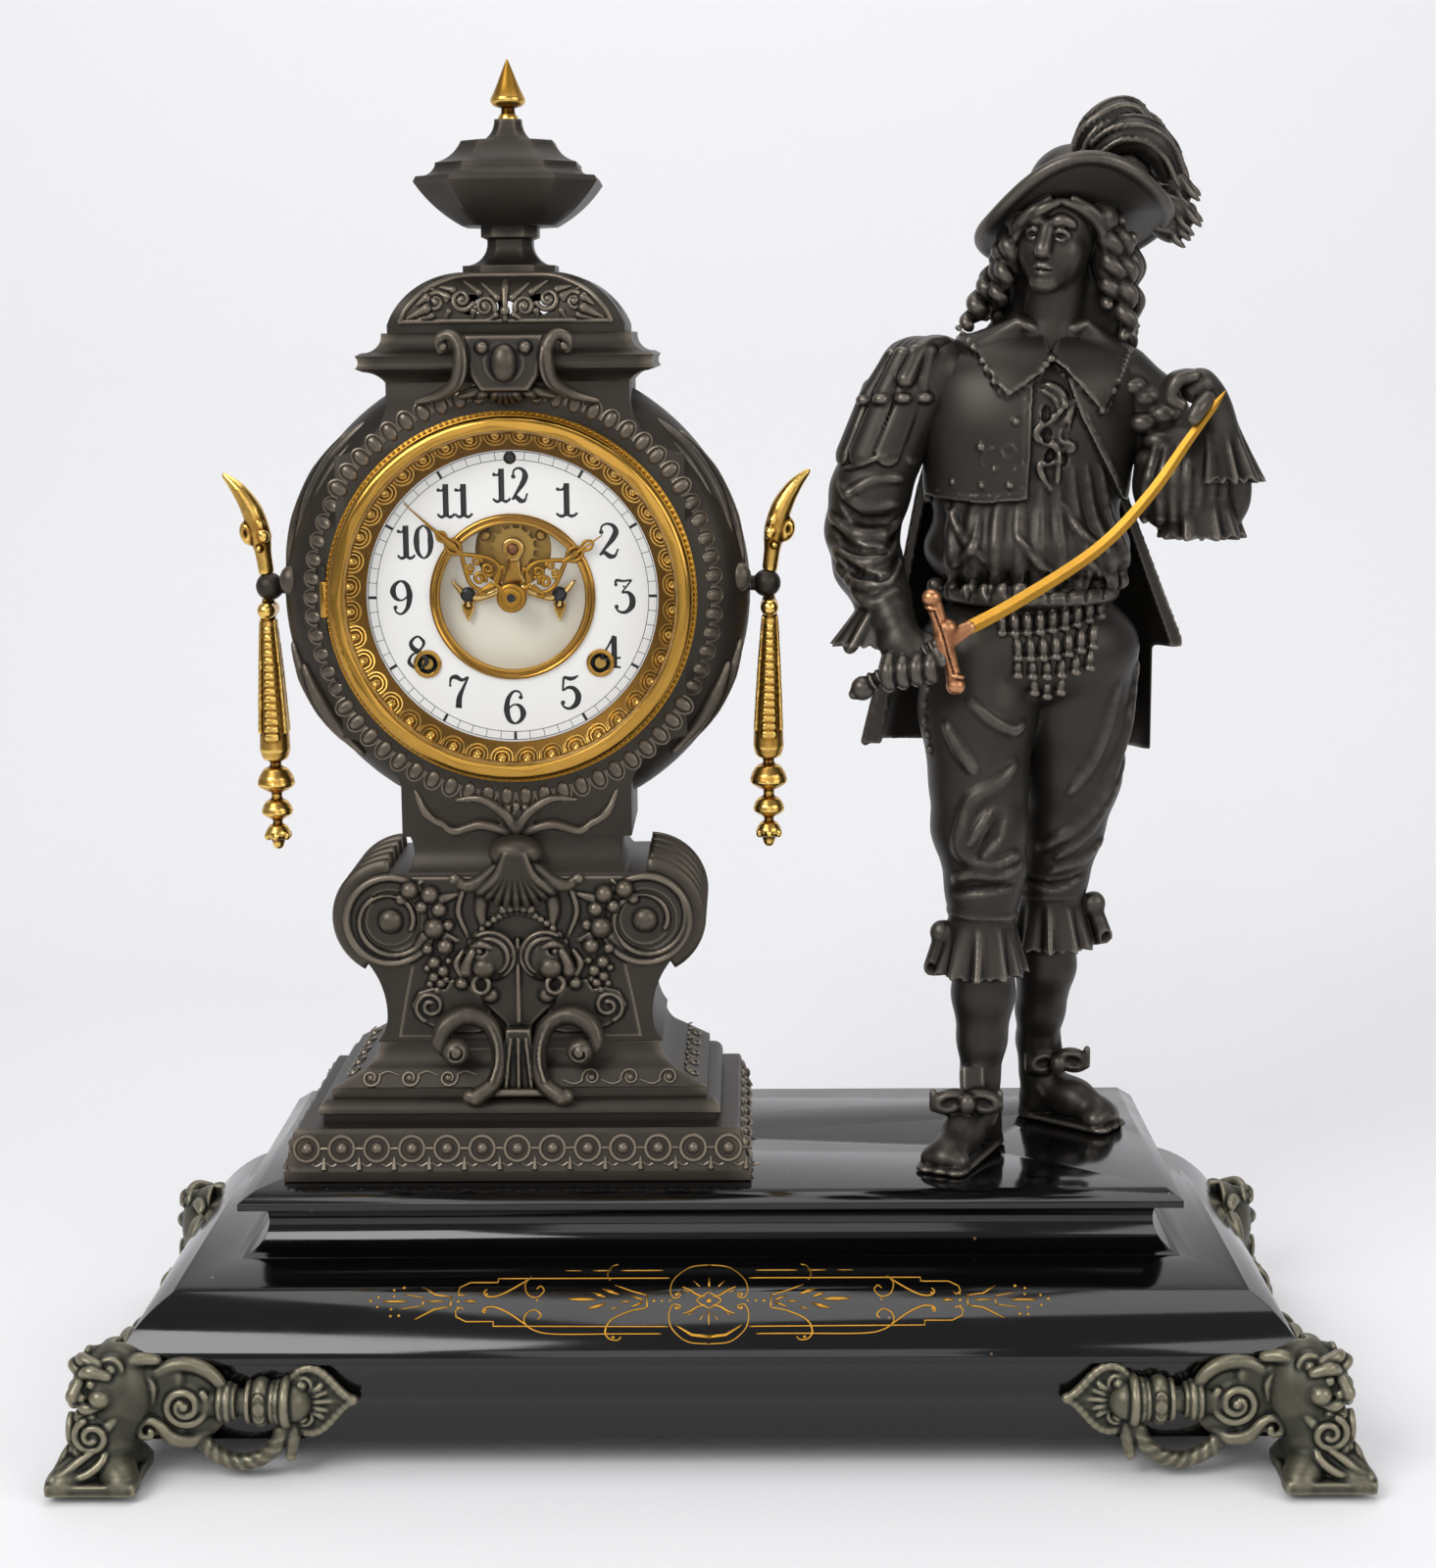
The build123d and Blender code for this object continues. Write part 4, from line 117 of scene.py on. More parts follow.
# the same metal on the figure, brushed smoother, with a deeper shine on the cloth
figureSpelter = castMetal("patinatedSpelterChased", {
    "body": "#3b3732", "patch": "#2e2b27", "deep": "#151310", "bright": "#69625a", "metallic": 0.75, "rough": 0.42, "brightRough": 0.31,
    "mottle": 22, "pits": 1.1, "ragged": 0.3, "rubAndHighlightFrom": 0.28, "rubAndHighlightTo": 1.0, "bump": 0.1})
# feet: bare cast spelter that has weathered, greenish and dark in the hollows as weathering and painted shade,
# grey-gold on the ridges where hands rub it and as painted highlight
weatheredSpelter = castMetal("weatheredSpelterCast", {
    "body": "#47453b", "patch": "#383a31", "deep": "#171914", "bright": "#857f6b", "metallic": 0.7, "rough": 0.46, "brightRough": 0.36,
    "mottle": 9, "pits": 0.8, "ragged": 0.4, "rubAndHighlightFrom": 0.2, "rubAndHighlightTo": 0.85, "bump": 0.22})
# stamped brass under gold lacquer: warm yellow, brown in the hollows as lacquer and painted shade, brighter on the
# ridges as wear and painted highlight
giltBrass = castMetal("giltBrassStamped", {
    "body": "#b58634", "patch": "#97702b", "deep": "#4a300f", "bright": "#e3ba62", "metallic": 1.0, "rough": 0.34, "brightRough": 0.22,
    "mottle": 7, "pits": 0.7, "ragged": 0.3, "rubAndHighlightFrom": 0.2, "rubAndHighlightTo": 0.9, "bump": 0.12})
# cast handles: gilding thick in places, rubbed to brown brass in others
giltCasting = castMetal("giltBrassCast", {
    "body": "#b9873a", "patch": "#7d5a2b", "deep": "#3c270f", "bright": "#eac26a", "metallic": 1.0, "rough": 0.36, "brightRough": 0.2,
    "mottle": 11, "pits": 0.8, "ragged": 0.5, "rubAndHighlightFrom": 0.25, "rubAndHighlightTo": 0.85, "bump": 0.2})
# spun and polished brass, with faint darker bloom
polishedBrass = castMetal("polishedBrassSpun", {
    "body": "#bf9345", "patch": "#a27a35", "deep": "#664818", "bright": "#e8c884", "metallic": 1.0, "rough": 0.2, "brightRough": 0.14,
    "mottle": 13, "pits": 1.5, "ragged": 0.2, "rubAndHighlightFrom": 0.3, "rubAndHighlightTo": 1.0, "bump": 0.03})
# copper-toned gilding on the sword guard
copperGilt = castMetal("copperGiltCast", {
    "body": "#8f5f40", "patch": "#6f4831", "deep": "#38221a", "bright": "#c08a62", "metallic": 0.9, "rough": 0.44, "brightRough": 0.3,
    "mottle": 8, "pits": 0.8, "ragged": 0.4, "rubAndHighlightFrom": 0.2, "rubAndHighlightTo": 0.9, "bump": 0.15})
# rolled brass of the movement, satin and a little tarnished
movementBrass = castMetal("movementBrassRolled", {
    "body": "#bd9a55", "patch": "#a07f40", "deep": "#5c4620", "bright": "#dcc084", "metallic": 1.0, "rough": 0.36, "brightRough": 0.28,
    "mottle": 10, "pits": 1.0, "ragged": 0.3, "rubAndHighlightFrom": 0.3, "rubAndHighlightTo": 1.0, "bump": 0.05})
# blued and polished steel of pins, arbors and screws
workedSteel = castMetal("blackenedSteelTurned", {
    "body": "#4a4a4c", "patch": "#353537", "deep": "#161617", "bright": "#8a8a8c", "metallic": 1.0, "rough": 0.33, "brightRough": 0.24,
    "mottle": 6, "pits": 0.9, "ragged": 0.3, "rubAndHighlightFrom": 0.3, "rubAndHighlightTo": 1.0, "bump": 0.06})


def blackEnamel():
    # stoved black enamel on iron: a deep mirror-like coat with a slight orange-peel and a few pinhole chips
    material, tree, shader = blankMaterial("blackEnamelStoved")
    where = addNode(tree, "ShaderNodeTexCoord").outputs["Object"]
    peel = addNode(tree, "ShaderNodeTexNoise", {"Scale": 1 / (5 * mm), "Detail": 2.0}, {"Vector": where})
    haze = addNode(tree, "ShaderNodeTexNoise", {"Scale": 1 / (38 * mm), "Detail": 4.0}, {"Vector": where})
    specks = addNode(tree, "ShaderNodeTexVoronoi", {"Scale": 1 / (21 * mm), "Randomness": 1.0}, {"Vector": where})
    chip = addNode(tree, "ShaderNodeMath", {1: 0.028}, {0: specks.outputs["Distance"]}, operation="LESS_THAN")
    colour = addNode(tree, "ShaderNodeMix", {}, {"Factor": chip.outputs[0]}, data_type="RGBA")
    colour.inputs[6].default_value, colour.inputs[7].default_value = tone("#070708"), tone("#6b5544")
    tree.links.new(colour.outputs[2], shader.inputs["Base Color"])
    rough = addNode(tree, "ShaderNodeMapRange", {"From Min": 0.3, "From Max": 0.75, "To Min": 0.07, "To Max": 0.15}, {"Value": haze.outputs["Fac"]})
    tree.links.new(rough.outputs[0], shader.inputs["Roughness"])
    bump = addNode(tree, "ShaderNodeBump", {"Strength": 0.05, "Distance": 0.15 * mm}, {"Height": peel.outputs["Fac"]})
    tree.links.new(bump.outputs[0], shader.inputs["Normal"])
    shader.inputs["IOR"].default_value = 1.52
    return material


def glazedEnamel(name, colour, shade):
    # fired porcelain enamel on copper: even white glaze, faintly uneven, glassy
    material, tree, shader = blankMaterial(name)
    where = addNode(tree, "ShaderNodeTexCoord").outputs["Object"]
    cloud = addNode(tree, "ShaderNodeTexNoise", {"Scale": 1 / (30 * mm), "Detail": 3.0}, {"Vector": where})
    mix = addNode(tree, "ShaderNodeMix", {}, {"Factor": cloud.outputs["Fac"]}, data_type="RGBA")
    mix.inputs[6].default_value, mix.inputs[7].default_value = tone(colour), tone(shade)
    tree.links.new(mix.outputs[2], shader.inputs["Base Color"])
    bump = addNode(tree, "ShaderNodeBump", {"Strength": 0.03, "Distance": 0.1 * mm}, {"Height": cloud.outputs["Fac"]})
    tree.links.new(bump.outputs[0], shader.inputs["Normal"])
    shader.inputs["Roughness"].default_value = 0.12
    shader.inputs["IOR"].default_value = 1.5
    return material


def firedInk():
    # black vitreous paint fired on the dial, slightly matt where it is thin
    material, tree, shader = blankMaterial("blackDialPaintFired")
    where = addNode(tree, "ShaderNodeTexCoord").outputs["Object"]
    thin = addNode(tree, "ShaderNodeTexNoise", {"Scale": 1 / (2.5 * mm), "Detail": 3.0}, {"Vector": where})
    mix = addNode(tree, "ShaderNodeMix", {}, {"Factor": thin.outputs["Fac"]}, data_type="RGBA")
    mix.inputs[6].default_value, mix.inputs[7].default_value = tone("#060606"), tone("#161616")
    tree.links.new(mix.outputs[2], shader.inputs["Base Color"])
    shader.inputs["Roughness"].default_value = 0.3
    return material


def bevelledGlass():
    # thin clear glass: almost nothing but a faint reflection, with a little dust
    material, tree, shader = blankMaterial("clearGlassBevelled")
    where = addNode(tree, "ShaderNodeTexCoord").outputs["Object"]
    dust = addNode(tree, "ShaderNodeTexNoise", {"Scale": 1 / (3 * mm), "Detail": 4.0}, {"Vector": where})
    rough = addNode(tree, "ShaderNodeMapRange", {"To Min": 0.02, "To Max": 0.07}, {"Value": dust.outputs["Fac"]})
    tree.links.new(rough.outputs[0], shader.inputs["Roughness"])
    shader.inputs["Base Color"].default_value = tone("#20262a")
    shader.inputs["Alpha"].default_value = 0.06
    shader.inputs["IOR"].default_value = 1.5
    return material


enamelledIron = blackEnamel()
dialEnamel = glazedEnamel("porcelainEnamelWhite", "#f4f4f1", "#ececea")
centreEnamel = glazedEnamel("porcelainEnamelIvory", "#ebe8da", "#dfdbc9")
dialInk = firedInk()
dialGlass = bevelledGlass()
print("stage: finishes mixed")


# mesh helpers

def meshFrom(name, points, faces):
    mesh = bpy.data.meshes.new(name)
    mesh.from_pydata([tuple(p) for p in np.asarray(points, float) * mm], [], faces)
    mesh.validate()
    return mesh


def meshFromArrays(name, points, triangles, quads):
    mesh = bpy.data.meshes.new(name)
    mesh.vertices.add(len(points))
    mesh.vertices.foreach_set("co", (points * mm).astype(np.float32).ravel())
    corners = np.concatenate([triangles.ravel(), quads.ravel()]).astype(np.int32)
    mesh.loops.add(len(corners))
    mesh.loops.foreach_set("vertex_index", corners)
    starts = np.concatenate([np.arange(len(triangles)) * 3, 3 * len(triangles) + np.arange(len(quads)) * 4])
    mesh.polygons.add(len(starts))
    mesh.polygons.foreach_set("loop_start", starts.astype(np.int32))
    mesh.update(calc_edges=True)
    mesh.validate()
    return mesh


def outward(mesh):
    # turns the faces round where the closed shape would have a negative volume
    mesh.calc_loop_triangles()
    count = len(mesh.vertices)
    co = np.empty(count * 3, np.float32)
    mesh.vertices.foreach_get("co", co)
    co = co.reshape(-1, 3).astype(float)
    tris = np.empty(len(mesh.loop_triangles) * 3, np.int32)
    mesh.loop_triangles.foreach_get("vertices", tris)
    a, b, c = (co[tris.reshape(-1, 3)[:, i]] for i in range(3))
    if np.einsum("ij,ij->i", a, np.cross(b, c)).sum() < 0:
        mesh.flip_normals()


def addWear(mesh, reach=0.45):
    # how far each point stands out from its neighbours, as a curvature, kept for the finish, which turns it into wear
    # and patina and also into painted highlight on the ridges and painted shade in the hollows
    count = len(mesh.vertices)
    co = np.empty(count * 3, np.float32)
    mesh.vertices.foreach_get("co", co)
    co = co.reshape(-1, 3).astype(float) / mm
    normal = np.empty(count * 3, np.float32)
    mesh.vertices.foreach_get("normal", normal)
    normal = normal.reshape(-1, 3)
    edges = np.empty(len(mesh.edges) * 2, np.int32)
    mesh.edges.foreach_get("vertices", edges)
    first, second = edges.reshape(-1, 2).T
    degree = np.maximum(np.bincount(first, minlength=count) + np.bincount(second, minlength=count), 1)

    def gathered(values):
        return (np.bincount(first, values[second], count) + np.bincount(second, values[first], count)) / degree

    mean = np.stack([gathered(co[:, i]) for i in range(3)], 1)
    length = gathered(np.ones(count)) * 0
    span = np.linalg.norm(co[first] - co[second], axis=1)
    length = (np.bincount(first, span, count) + np.bincount(second, span, count)) / degree
    bend = 2 * np.einsum("ij,ij->i", normal, co - mean) / np.maximum(length, 0.05) ** 2
    bend = np.clip(bend / reach, -1.5, 1.5)
    for _ in range(2):
        bend = 0.5 * bend + 0.5 * gathered(bend)
    layer = mesh.attributes.new("wearAndPaintedLight", "FLOAT", "POINT")
    layer.data.foreach_set("value", bend.astype(np.float32))


def settle(mesh, name, material, body, replaced=(), sharp=40, wearAndPaintedLight=True, closed=True):
    # one finished piece: faces outwards, shading, wear with painted highlight and shade, finish, and the body that it
    # rides on
    if closed:
        outward(mesh)
    mesh.polygons.foreach_set("use_smooth", np.ones(len(mesh.polygons), bool))
    if sharp:
        mesh.set_sharp_from_angle(angle=math.radians(sharp))
    if wearAndPaintedLight:
        addWear(mesh)
    mesh.materials.clear()
    mesh.materials.append(material)
    piece = bpy.data.objects.new(name, mesh)
    bpy.context.scene.collection.objects.link(piece)
    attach(piece, body)
    if replaced:
        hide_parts(*replaced)
    return piece


def joined(parts):
    # several (points, faces) shapes as one
    points, faces, start = [], [], 0
    for somePoints, someFaces in parts:
        points.append(np.asarray(somePoints, float))
        faces += [tuple(i + start for i in face) for face in someFaces]
        start += len(somePoints)
    return np.concatenate(points), faces


def baked(piece):
    # the evaluated shape as a plain mesh
    graph = bpy.context.evaluated_depsgraph_get()
    return bpy.data.meshes.new_from_object(piece.evaluated_get(graph))


def turnedShape(profile, segments, axis, centre, closedProfile=False):
    # profile points are (radius, distance along the axis); a radius of 0 ends in a pole
    points, faces, rows = [], [], []
    for radius, along in profile:
        row = []
        steps = 1 if radius == 0 else segments
        for k in range(steps):
            angle = 2 * math.pi * k / segments
            u, v = radius * math.cos(angle), radius * math.sin(angle)
            points.append((centre[0] + u, centre[1] + along, centre[2] + v) if axis == "y" else (centre[0] + u, centre[1] + v, centre[2] + along))
            row.append(len(points) - 1)
        rows.append(row)
    pairs = list(zip(rows, rows[1:])) + ([(rows[-1], rows[0])] if closedProfile else [])
    for low, high in pairs:
        for k in range(segments):
            n = (k + 1) % segments
            corner = [low[k % len(low)], low[n % len(low)], high[n % len(high)], high[k % len(high)]]
            corner = list(dict.fromkeys(corner))
            if len(corner) > 2:
                faces.append(tuple(corner))
    return np.array(points), faces


def arcPoints(start, end, bow, steps):
    # points along a circular arc that bows to the right of the way from start to end
    start, end = np.array(start, float), np.array(end, float)
    run = end - start
    span = np.hypot(*run)
    if abs(bow) < 1e-6:
        return [tuple(start + run * t) for t in np.linspace(0, 1, steps + 1)]
    radius = (span * span / 4 + bow * bow) / (2 * abs(bow))
    side = np.array([run[1], -run[0]]) / span * np.sign(bow)
    middle = (start + end) / 2 + side * (abs(bow) - radius)
    a0 = math.atan2(*(start - middle)[::-1])
    a1 = math.atan2(*(end - middle)[::-1])
    turn = (a1 - a0 + math.pi) % (2 * math.pi) - math.pi
    return [(middle[0] + radius * math.cos(a0 + turn * t), middle[1] + radius * math.sin(a0 + turn * t)) for t in np.linspace(0, 1, steps + 1)]


def profileRows(levels, pitch=1.6):
    # a moulding's levels (out at the sides, out at the front, height, bow) as a fine run of points
    rows = []
    for (x0, y0, z0, _), (x1, y1, z1, bow) in zip(levels, levels[1:]):
        steps = max(1, int(max(math.hypot(x1 - x0, z1 - z0), math.hypot(y1 - y0, z1 - z0)) / pitch))
        steps = max(steps, 10) if bow else steps
        side = arcPoints((x0, z0), (x1, z1), bow, steps)
        front = arcPoints((y0, z0), (y1, z1), bow, steps)
        piece = [(s[0], f[0], s[1]) for s, f in zip(side, front)]
        rows += piece if not rows else piece[1:]
    return rows


def mitredMoulding(levels, halfX, halfY, middle, flatBack=None, pitch=5.0):
    # a rectangular block whose four sides follow the moulding, meeting in mitres
    rows = profileRows(levels)
    points, faces = [], []
    countX, countY = max(2, int(2 * halfX / pitch)), max(2, int(2 * halfY / pitch))
    for outX, outY, z in rows:
        hx, hy = halfX + outX, halfY + outY
        back = flatBack - middle[1] if flatBack is not None else hy
        corners = [(-hx, -hy), (hx, -hy), (hx, back), (-hx, back)]
        for k in range(4):
            (x0, y0), (x1, y1) = corners[k], corners[(k + 1) % 4]
            count = countX if k % 2 == 0 else countY
            for i in range(count):
                t = i / count
                points.append((middle[0] + x0 + (x1 - x0) * t, middle[1] + y0 + (y1 - y0) * t, z))
    loop = 2 * (countX + countY)
    for r in range(len(rows) - 1):
        for i in range(loop):
            n = (i + 1) % loop
            faces.append((r * loop + i, r * loop + n, (r + 1) * loop + n, (r + 1) * loop + i))
    faces.append(tuple(range(loop))[::-1])
    top = (len(rows) - 1) * loop
    faces.append(tuple(range(top, top + loop)))
    return np.array(points), faces


def smoothLine(points, count):
    # an even run of points on a smooth curve through the given ones
    p = np.asarray(points, float)
    ext = np.vstack([2 * p[0] - p[1], p, 2 * p[-1] - p[-2]])
    out = []
    per = max(2, count // (len(p) - 1))
    for i in range(len(p) - 1):
        a, b, c, d = ext[i:i + 4]
        for t in np.arange(per) / per:
            out.append(0.5 * (2 * b + (c - a) * t + (2 * a - 5 * b + 4 * c - d) * t * t + (3 * b - a - 3 * c + d) * t ** 3))
    out.append(p[-1])
    return np.array(out)


def tubeShape(path, radii, sides=8, flat=1.0, up=(0, -1, 0)):
    # a tube along a path; flat squeezes it along the up direction
    path = np.asarray(path, float)
    radii = np.interp(np.linspace(0, 1, len(path)), np.linspace(0, 1, len(np.atleast_1d(radii))), np.atleast_1d(radii))
    tangent = np.gradient(path, axis=0)
    tangent /= np.maximum(np.linalg.norm(tangent, axis=1), 1e-9)[:, None]
    up = np.asarray(up, float)
    points, faces = [], []
    for p, t, r in zip(path, tangent, radii):
        side = np.cross(t, up)
        side /= max(np.linalg.norm(side), 1e-9)
        lift = np.cross(side, t)
        for k in range(sides):
            angle = 2 * math.pi * k / sides
            points.append(p + r * math.cos(angle) * side + r * flat * math.sin(angle) * lift)
    for i in range(len(path) - 1):
        for k in range(sides):
            n = (k + 1) % sides
            faces.append((i * sides + k, i * sides + n, (i + 1) * sides + n, (i + 1) * sides + k))
    faces.append(tuple(range(sides))[::-1])
    faces.append(tuple(range((len(path) - 1) * sides, len(path) * sides)))
    return np.array(points), faces


def flatShape(outline, depth, chamfer=0.0):
    # a plate from an outline in the plane: the front face, a chamfer and the sides; y grows away from the front
    outline = np.asarray(outline, float)
    count = len(outline)
    ahead, behind = np.roll(outline, -1, 0) - outline, outline - np.roll(outline, 1, 0)
    bis = ahead / np.maximum(np.linalg.norm(ahead, axis=1), 1e-9)[:, None] + behind / np.maximum(np.linalg.norm(behind, axis=1), 1e-9)[:, None]
    inward = np.stack([-bis[:, 1], bis[:, 0]], 1)
    inward /= np.maximum(np.linalg.norm(inward, axis=1), 1e-9)[:, None]
    area = 0.5 * np.sum(outline[:, 0] * np.roll(outline[:, 1], -1) - np.roll(outline[:, 0], -1) * outline[:, 1])
    if area < 0:
        inward = -inward
    rows = [(outline + inward * chamfer, 0.0), (outline, chamfer), (outline, depth)] if chamfer else [(outline, 0.0), (outline, depth)]
    points = np.concatenate([np.column_stack([row[:, 0], np.full(count, y), row[:, 1]]) for row, y in rows])
    faces = [tuple(range(count))]
    for r in range(len(rows) - 1):
        faces += [(r * count + i, r * count + (i + 1) % count, (r + 1) * count + (i + 1) % count, (r + 1) * count + i) for i in range(count)]
    faces.append(tuple(range((len(rows) - 1) * count, len(rows) * count))[::-1])
    return points, faces


# repeats: points that carry two directions and a size, each taking a copy of one small item

def rowTree():
    tree = bpy.data.node_groups.new("itemsOnPoints", "GeometryNodeTree")
    tree.interface.new_socket("Geometry", in_out="INPUT", socket_type="NodeSocketGeometry")
    tree.interface.new_socket("Item", in_out="INPUT", socket_type="NodeSocketObject")
    tree.interface.new_socket("Item Size", in_out="INPUT", socket_type="NodeSocketFloat")
    tree.interface.new_socket("Finish", in_out="INPUT", socket_type="NodeSocketMaterial")
    tree.interface.new_socket("Geometry", in_out="OUTPUT", socket_type="NodeSocketGeometry")
    start = addNode(tree, "NodeGroupInput")
    item = addNode(tree, "GeometryNodeObjectInfo", links={"Object": start.outputs["Item"]})
    outDir = addNode(tree, "GeometryNodeInputNamedAttribute", {"Name": "outDir"}, data_type="FLOAT_VECTOR")
    alongDir = addNode(tree, "GeometryNodeInputNamedAttribute", {"Name": "alongDir"}, data_type="FLOAT_VECTOR")
    sizes = addNode(tree, "GeometryNodeInputNamedAttribute", {"Name": "itemSize"}, data_type="FLOAT")
    turn = addNode(tree, "FunctionNodeAxesToRotation", links={"Primary Axis": outDir.outputs["Attribute"], "Secondary Axis": alongDir.outputs["Attribute"]},
                   primary_axis="Z", secondary_axis="X")
    size = addNode(tree, "ShaderNodeMath", {}, {0: sizes.outputs["Attribute"], 1: start.outputs["Item Size"]}, operation="MULTIPLY")
    dots = addNode(tree, "GeometryNodeMeshToPoints", links={"Mesh": start.outputs["Geometry"]})
    copies = addNode(tree, "GeometryNodeInstanceOnPoints", links={"Points": dots.outputs[0], "Instance": item.outputs["Geometry"],
                     "Rotation": turn.outputs[0], "Scale": size.outputs[0]})
    solid = addNode(tree, "GeometryNodeRealizeInstances", links={"Geometry": copies.outputs[0]})
    dressed = addNode(tree, "GeometryNodeSetMaterial", links={"Geometry": solid.outputs[0], "Material": start.outputs["Finish"]})
    addNode(tree, "NodeGroupOutput", links={"Geometry": dressed.outputs[0]})
    return tree


itemsOnPoints = rowTree()


def setRow(name, spots, item, material, body, size=1.0, sharp=50, wearAndPaintedLight=True):
    # spots are (point, out direction, along direction, size); the item is (points, faces) with +z out and +x along
    itemMesh = meshFrom(name + "Item", *item)
    outward(itemMesh)
    itemPiece = bpy.data.objects.new(name + "Item", itemMesh)
    bpy.context.scene.collection.objects.link(itemPiece)
    dots = bpy.data.meshes.new(name + "Spots")
    dots.from_pydata([tuple(np.asarray(s[0], float) * mm) for s in spots], [], [])
    for key, kind, index in (("outDir", "FLOAT_VECTOR", 1), ("alongDir", "FLOAT_VECTOR", 2)):
        layer = dots.attributes.new(key, kind, "POINT")
        layer.data.foreach_set("vector", np.asarray([s[index] for s in spots], np.float32).ravel())
    layer = dots.attributes.new("itemSize", "FLOAT", "POINT")
    layer.data.foreach_set("value", np.asarray([s[3] for s in spots], np.float32))
    carrier = bpy.data.objects.new(name + "Carrier", dots)
    bpy.context.scene.collection.objects.link(carrier)
    modifier = carrier.modifiers.new("items", "NODES")
    modifier.node_group = itemsOnPoints
    sockets = {s.name: s.identifier for s in itemsOnPoints.interface.items_tree if s.in_out == "INPUT"}
    modifier[sockets["Item"]] = itemPiece
    modifier[sockets["Item Size"]] = float(size)
    modifier[sockets["Finish"]] = material
    mesh = baked(carrier)
    bpy.data.objects.remove(carrier)
    bpy.data.objects.remove(itemPiece)
    for key in ("outDir", "alongDir", "itemSize"):
        if key in mesh.attributes:
            mesh.attributes.remove(mesh.attributes[key])
    return settle(mesh, name, material, body, sharp=sharp, wearAndPaintedLight=wearAndPaintedLight, closed=False)


# clay: a grid of signed distances in which shapes are pressed together and cut, then skinned

def newClay(low, high, step):
    low = np.asarray(low, float)
    count = np.ceil((np.asarray(high, float) - low) / step).astype(int) + 1
    return {"low": low, "step": step, "field": np.full(tuple(count), 30.0, np.float32)}


def clayPatch(clay, low, high):
    # the part of the grid between two corners, with its coordinates
    step = clay["step"]
    a = np.clip(np.floor((np.asarray(low) - clay["low"]) / step).astype(int), 0, None)
    b = np.minimum(np.ceil((np.asarray(high) - clay["low"]) / step).astype(int) + 1, clay["field"].shape)
    if np.any(b <= a):
        return None
    axes = [(clay["low"][i] + step * np.arange(a[i], b[i])).astype(np.float32) for i in range(3)]
    x, y, z = axes[0][:, None, None], axes[1][None, :, None], axes[2][None, None, :]
    return tuple(slice(i, j) for i, j in zip(a, b)), x, y, z


def press(clay, measure, low, high, blend=0.0, cut=False):
    # adds or cuts the shape whose distance measure(x, y, z) gives, with a soft seam
    margin = max(blend * 1.5, 2 * clay["step"]) + 0.5
    patch = clayPatch(clay, np.asarray(low) - margin, np.asarray(high) + margin)
    if patch is None:
        return
    area, x, y, z = patch
    new = measure(x, y, z)
    old = clay["field"][area]
    if cut:
        new = -new
        if blend:
            h = np.clip(0.5 - 0.5 * (new - old) / blend, 0, 1)
            clay["field"][area] = new + (old - new) * h + blend * h * (1 - h)
        else:
            clay["field"][area] = np.maximum(old, new)
    elif blend:
        h = np.clip(0.5 + 0.5 * (new - old) / blend, 0, 1)
        clay["field"][area] = new + (old - new) * h - blend * h * (1 - h)
    else:
        clay["field"][area] = np.minimum(old, new)


def turnMatrix(turn):
    # degrees about x, then y, then z
    return np.array(Matrix.Rotation(math.radians(turn[2]), 3, "Z") @ Matrix.Rotation(math.radians(turn[1]), 3, "Y") @ Matrix.Rotation(math.radians(turn[0]), 3, "X"))


def ball(clay, centre, radii, blend=1.0, cut=False, turn=None):
    radii = np.broadcast_to(np.asarray(radii, float), (3,))
    frameTurn = turnMatrix(turn) if turn else np.eye(3)

    def measure(x, y, z):
        d = [x - centre[0], y - centre[1], z - centre[2]]
        local = [sum(frameTurn[j, i] * d[j] for j in range(3)) for i in range(3)] if turn else d
        k0 = np.sqrt(sum((local[i] / radii[i]) ** 2 for i in range(3)))
        k1 = np.sqrt(sum((local[i] / radii[i] ** 2) ** 2 for i in range(3)))
        return (k0 * (k0 - 1) / np.maximum(k1, 1e-6)).astype(np.float32)

    reach = radii.max() if turn else radii
    press(clay, measure, np.asarray(centre) - reach, np.asarray(centre) + reach, blend, cut)


def bar(clay, start, end, startRadius, endRadius, blend=1.0, cut=False, thin=None):
    # a rounded bar that tapers; thin = (direction, factor) squeezes it along a direction
    start, end = np.asarray(start, float), np.asarray(end, float)
    run = end - start
    length = max(float(run @ run), 1e-9)

    def measure(x, y, z):
        d = [x - start[0], y - start[1], z - start[2]]
        t = np.clip((d[0] * run[0] + d[1] * run[1] + d[2] * run[2]) / length, 0, 1)
        off = [d[i] - t * run[i] for i in range(3)]
        if thin:
            n, factor = thin
            across = off[0] * n[0] + off[1] * n[1] + off[2] * n[2]
            off = [off[i] + across * n[i] * (factor - 1) for i in range(3)]
        distance = np.sqrt(off[0] ** 2 + off[1] ** 2 + off[2] ** 2) - (startRadius + (endRadius - startRadius) * t)
        return distance.astype(np.float32)

    reach = max(startRadius, endRadius)
    press(clay, measure, np.minimum(start, end) - reach, np.maximum(start, end) + reach, blend, cut)


def trail(clay, points, radii, blend=1.0, cut=False, thin=None, count=None):
    # a bar along a smooth line
    line = smoothLine(points, count or 6 * len(points))
    radii = np.interp(np.linspace(0, 1, len(line)), np.linspace(0, 1, len(np.atleast_1d(radii))), np.atleast_1d(radii))
    for a, b, ra, rb in zip(line, line[1:], radii, radii[1:]):
        bar(clay, a, b, ra, rb, blend, cut, thin)


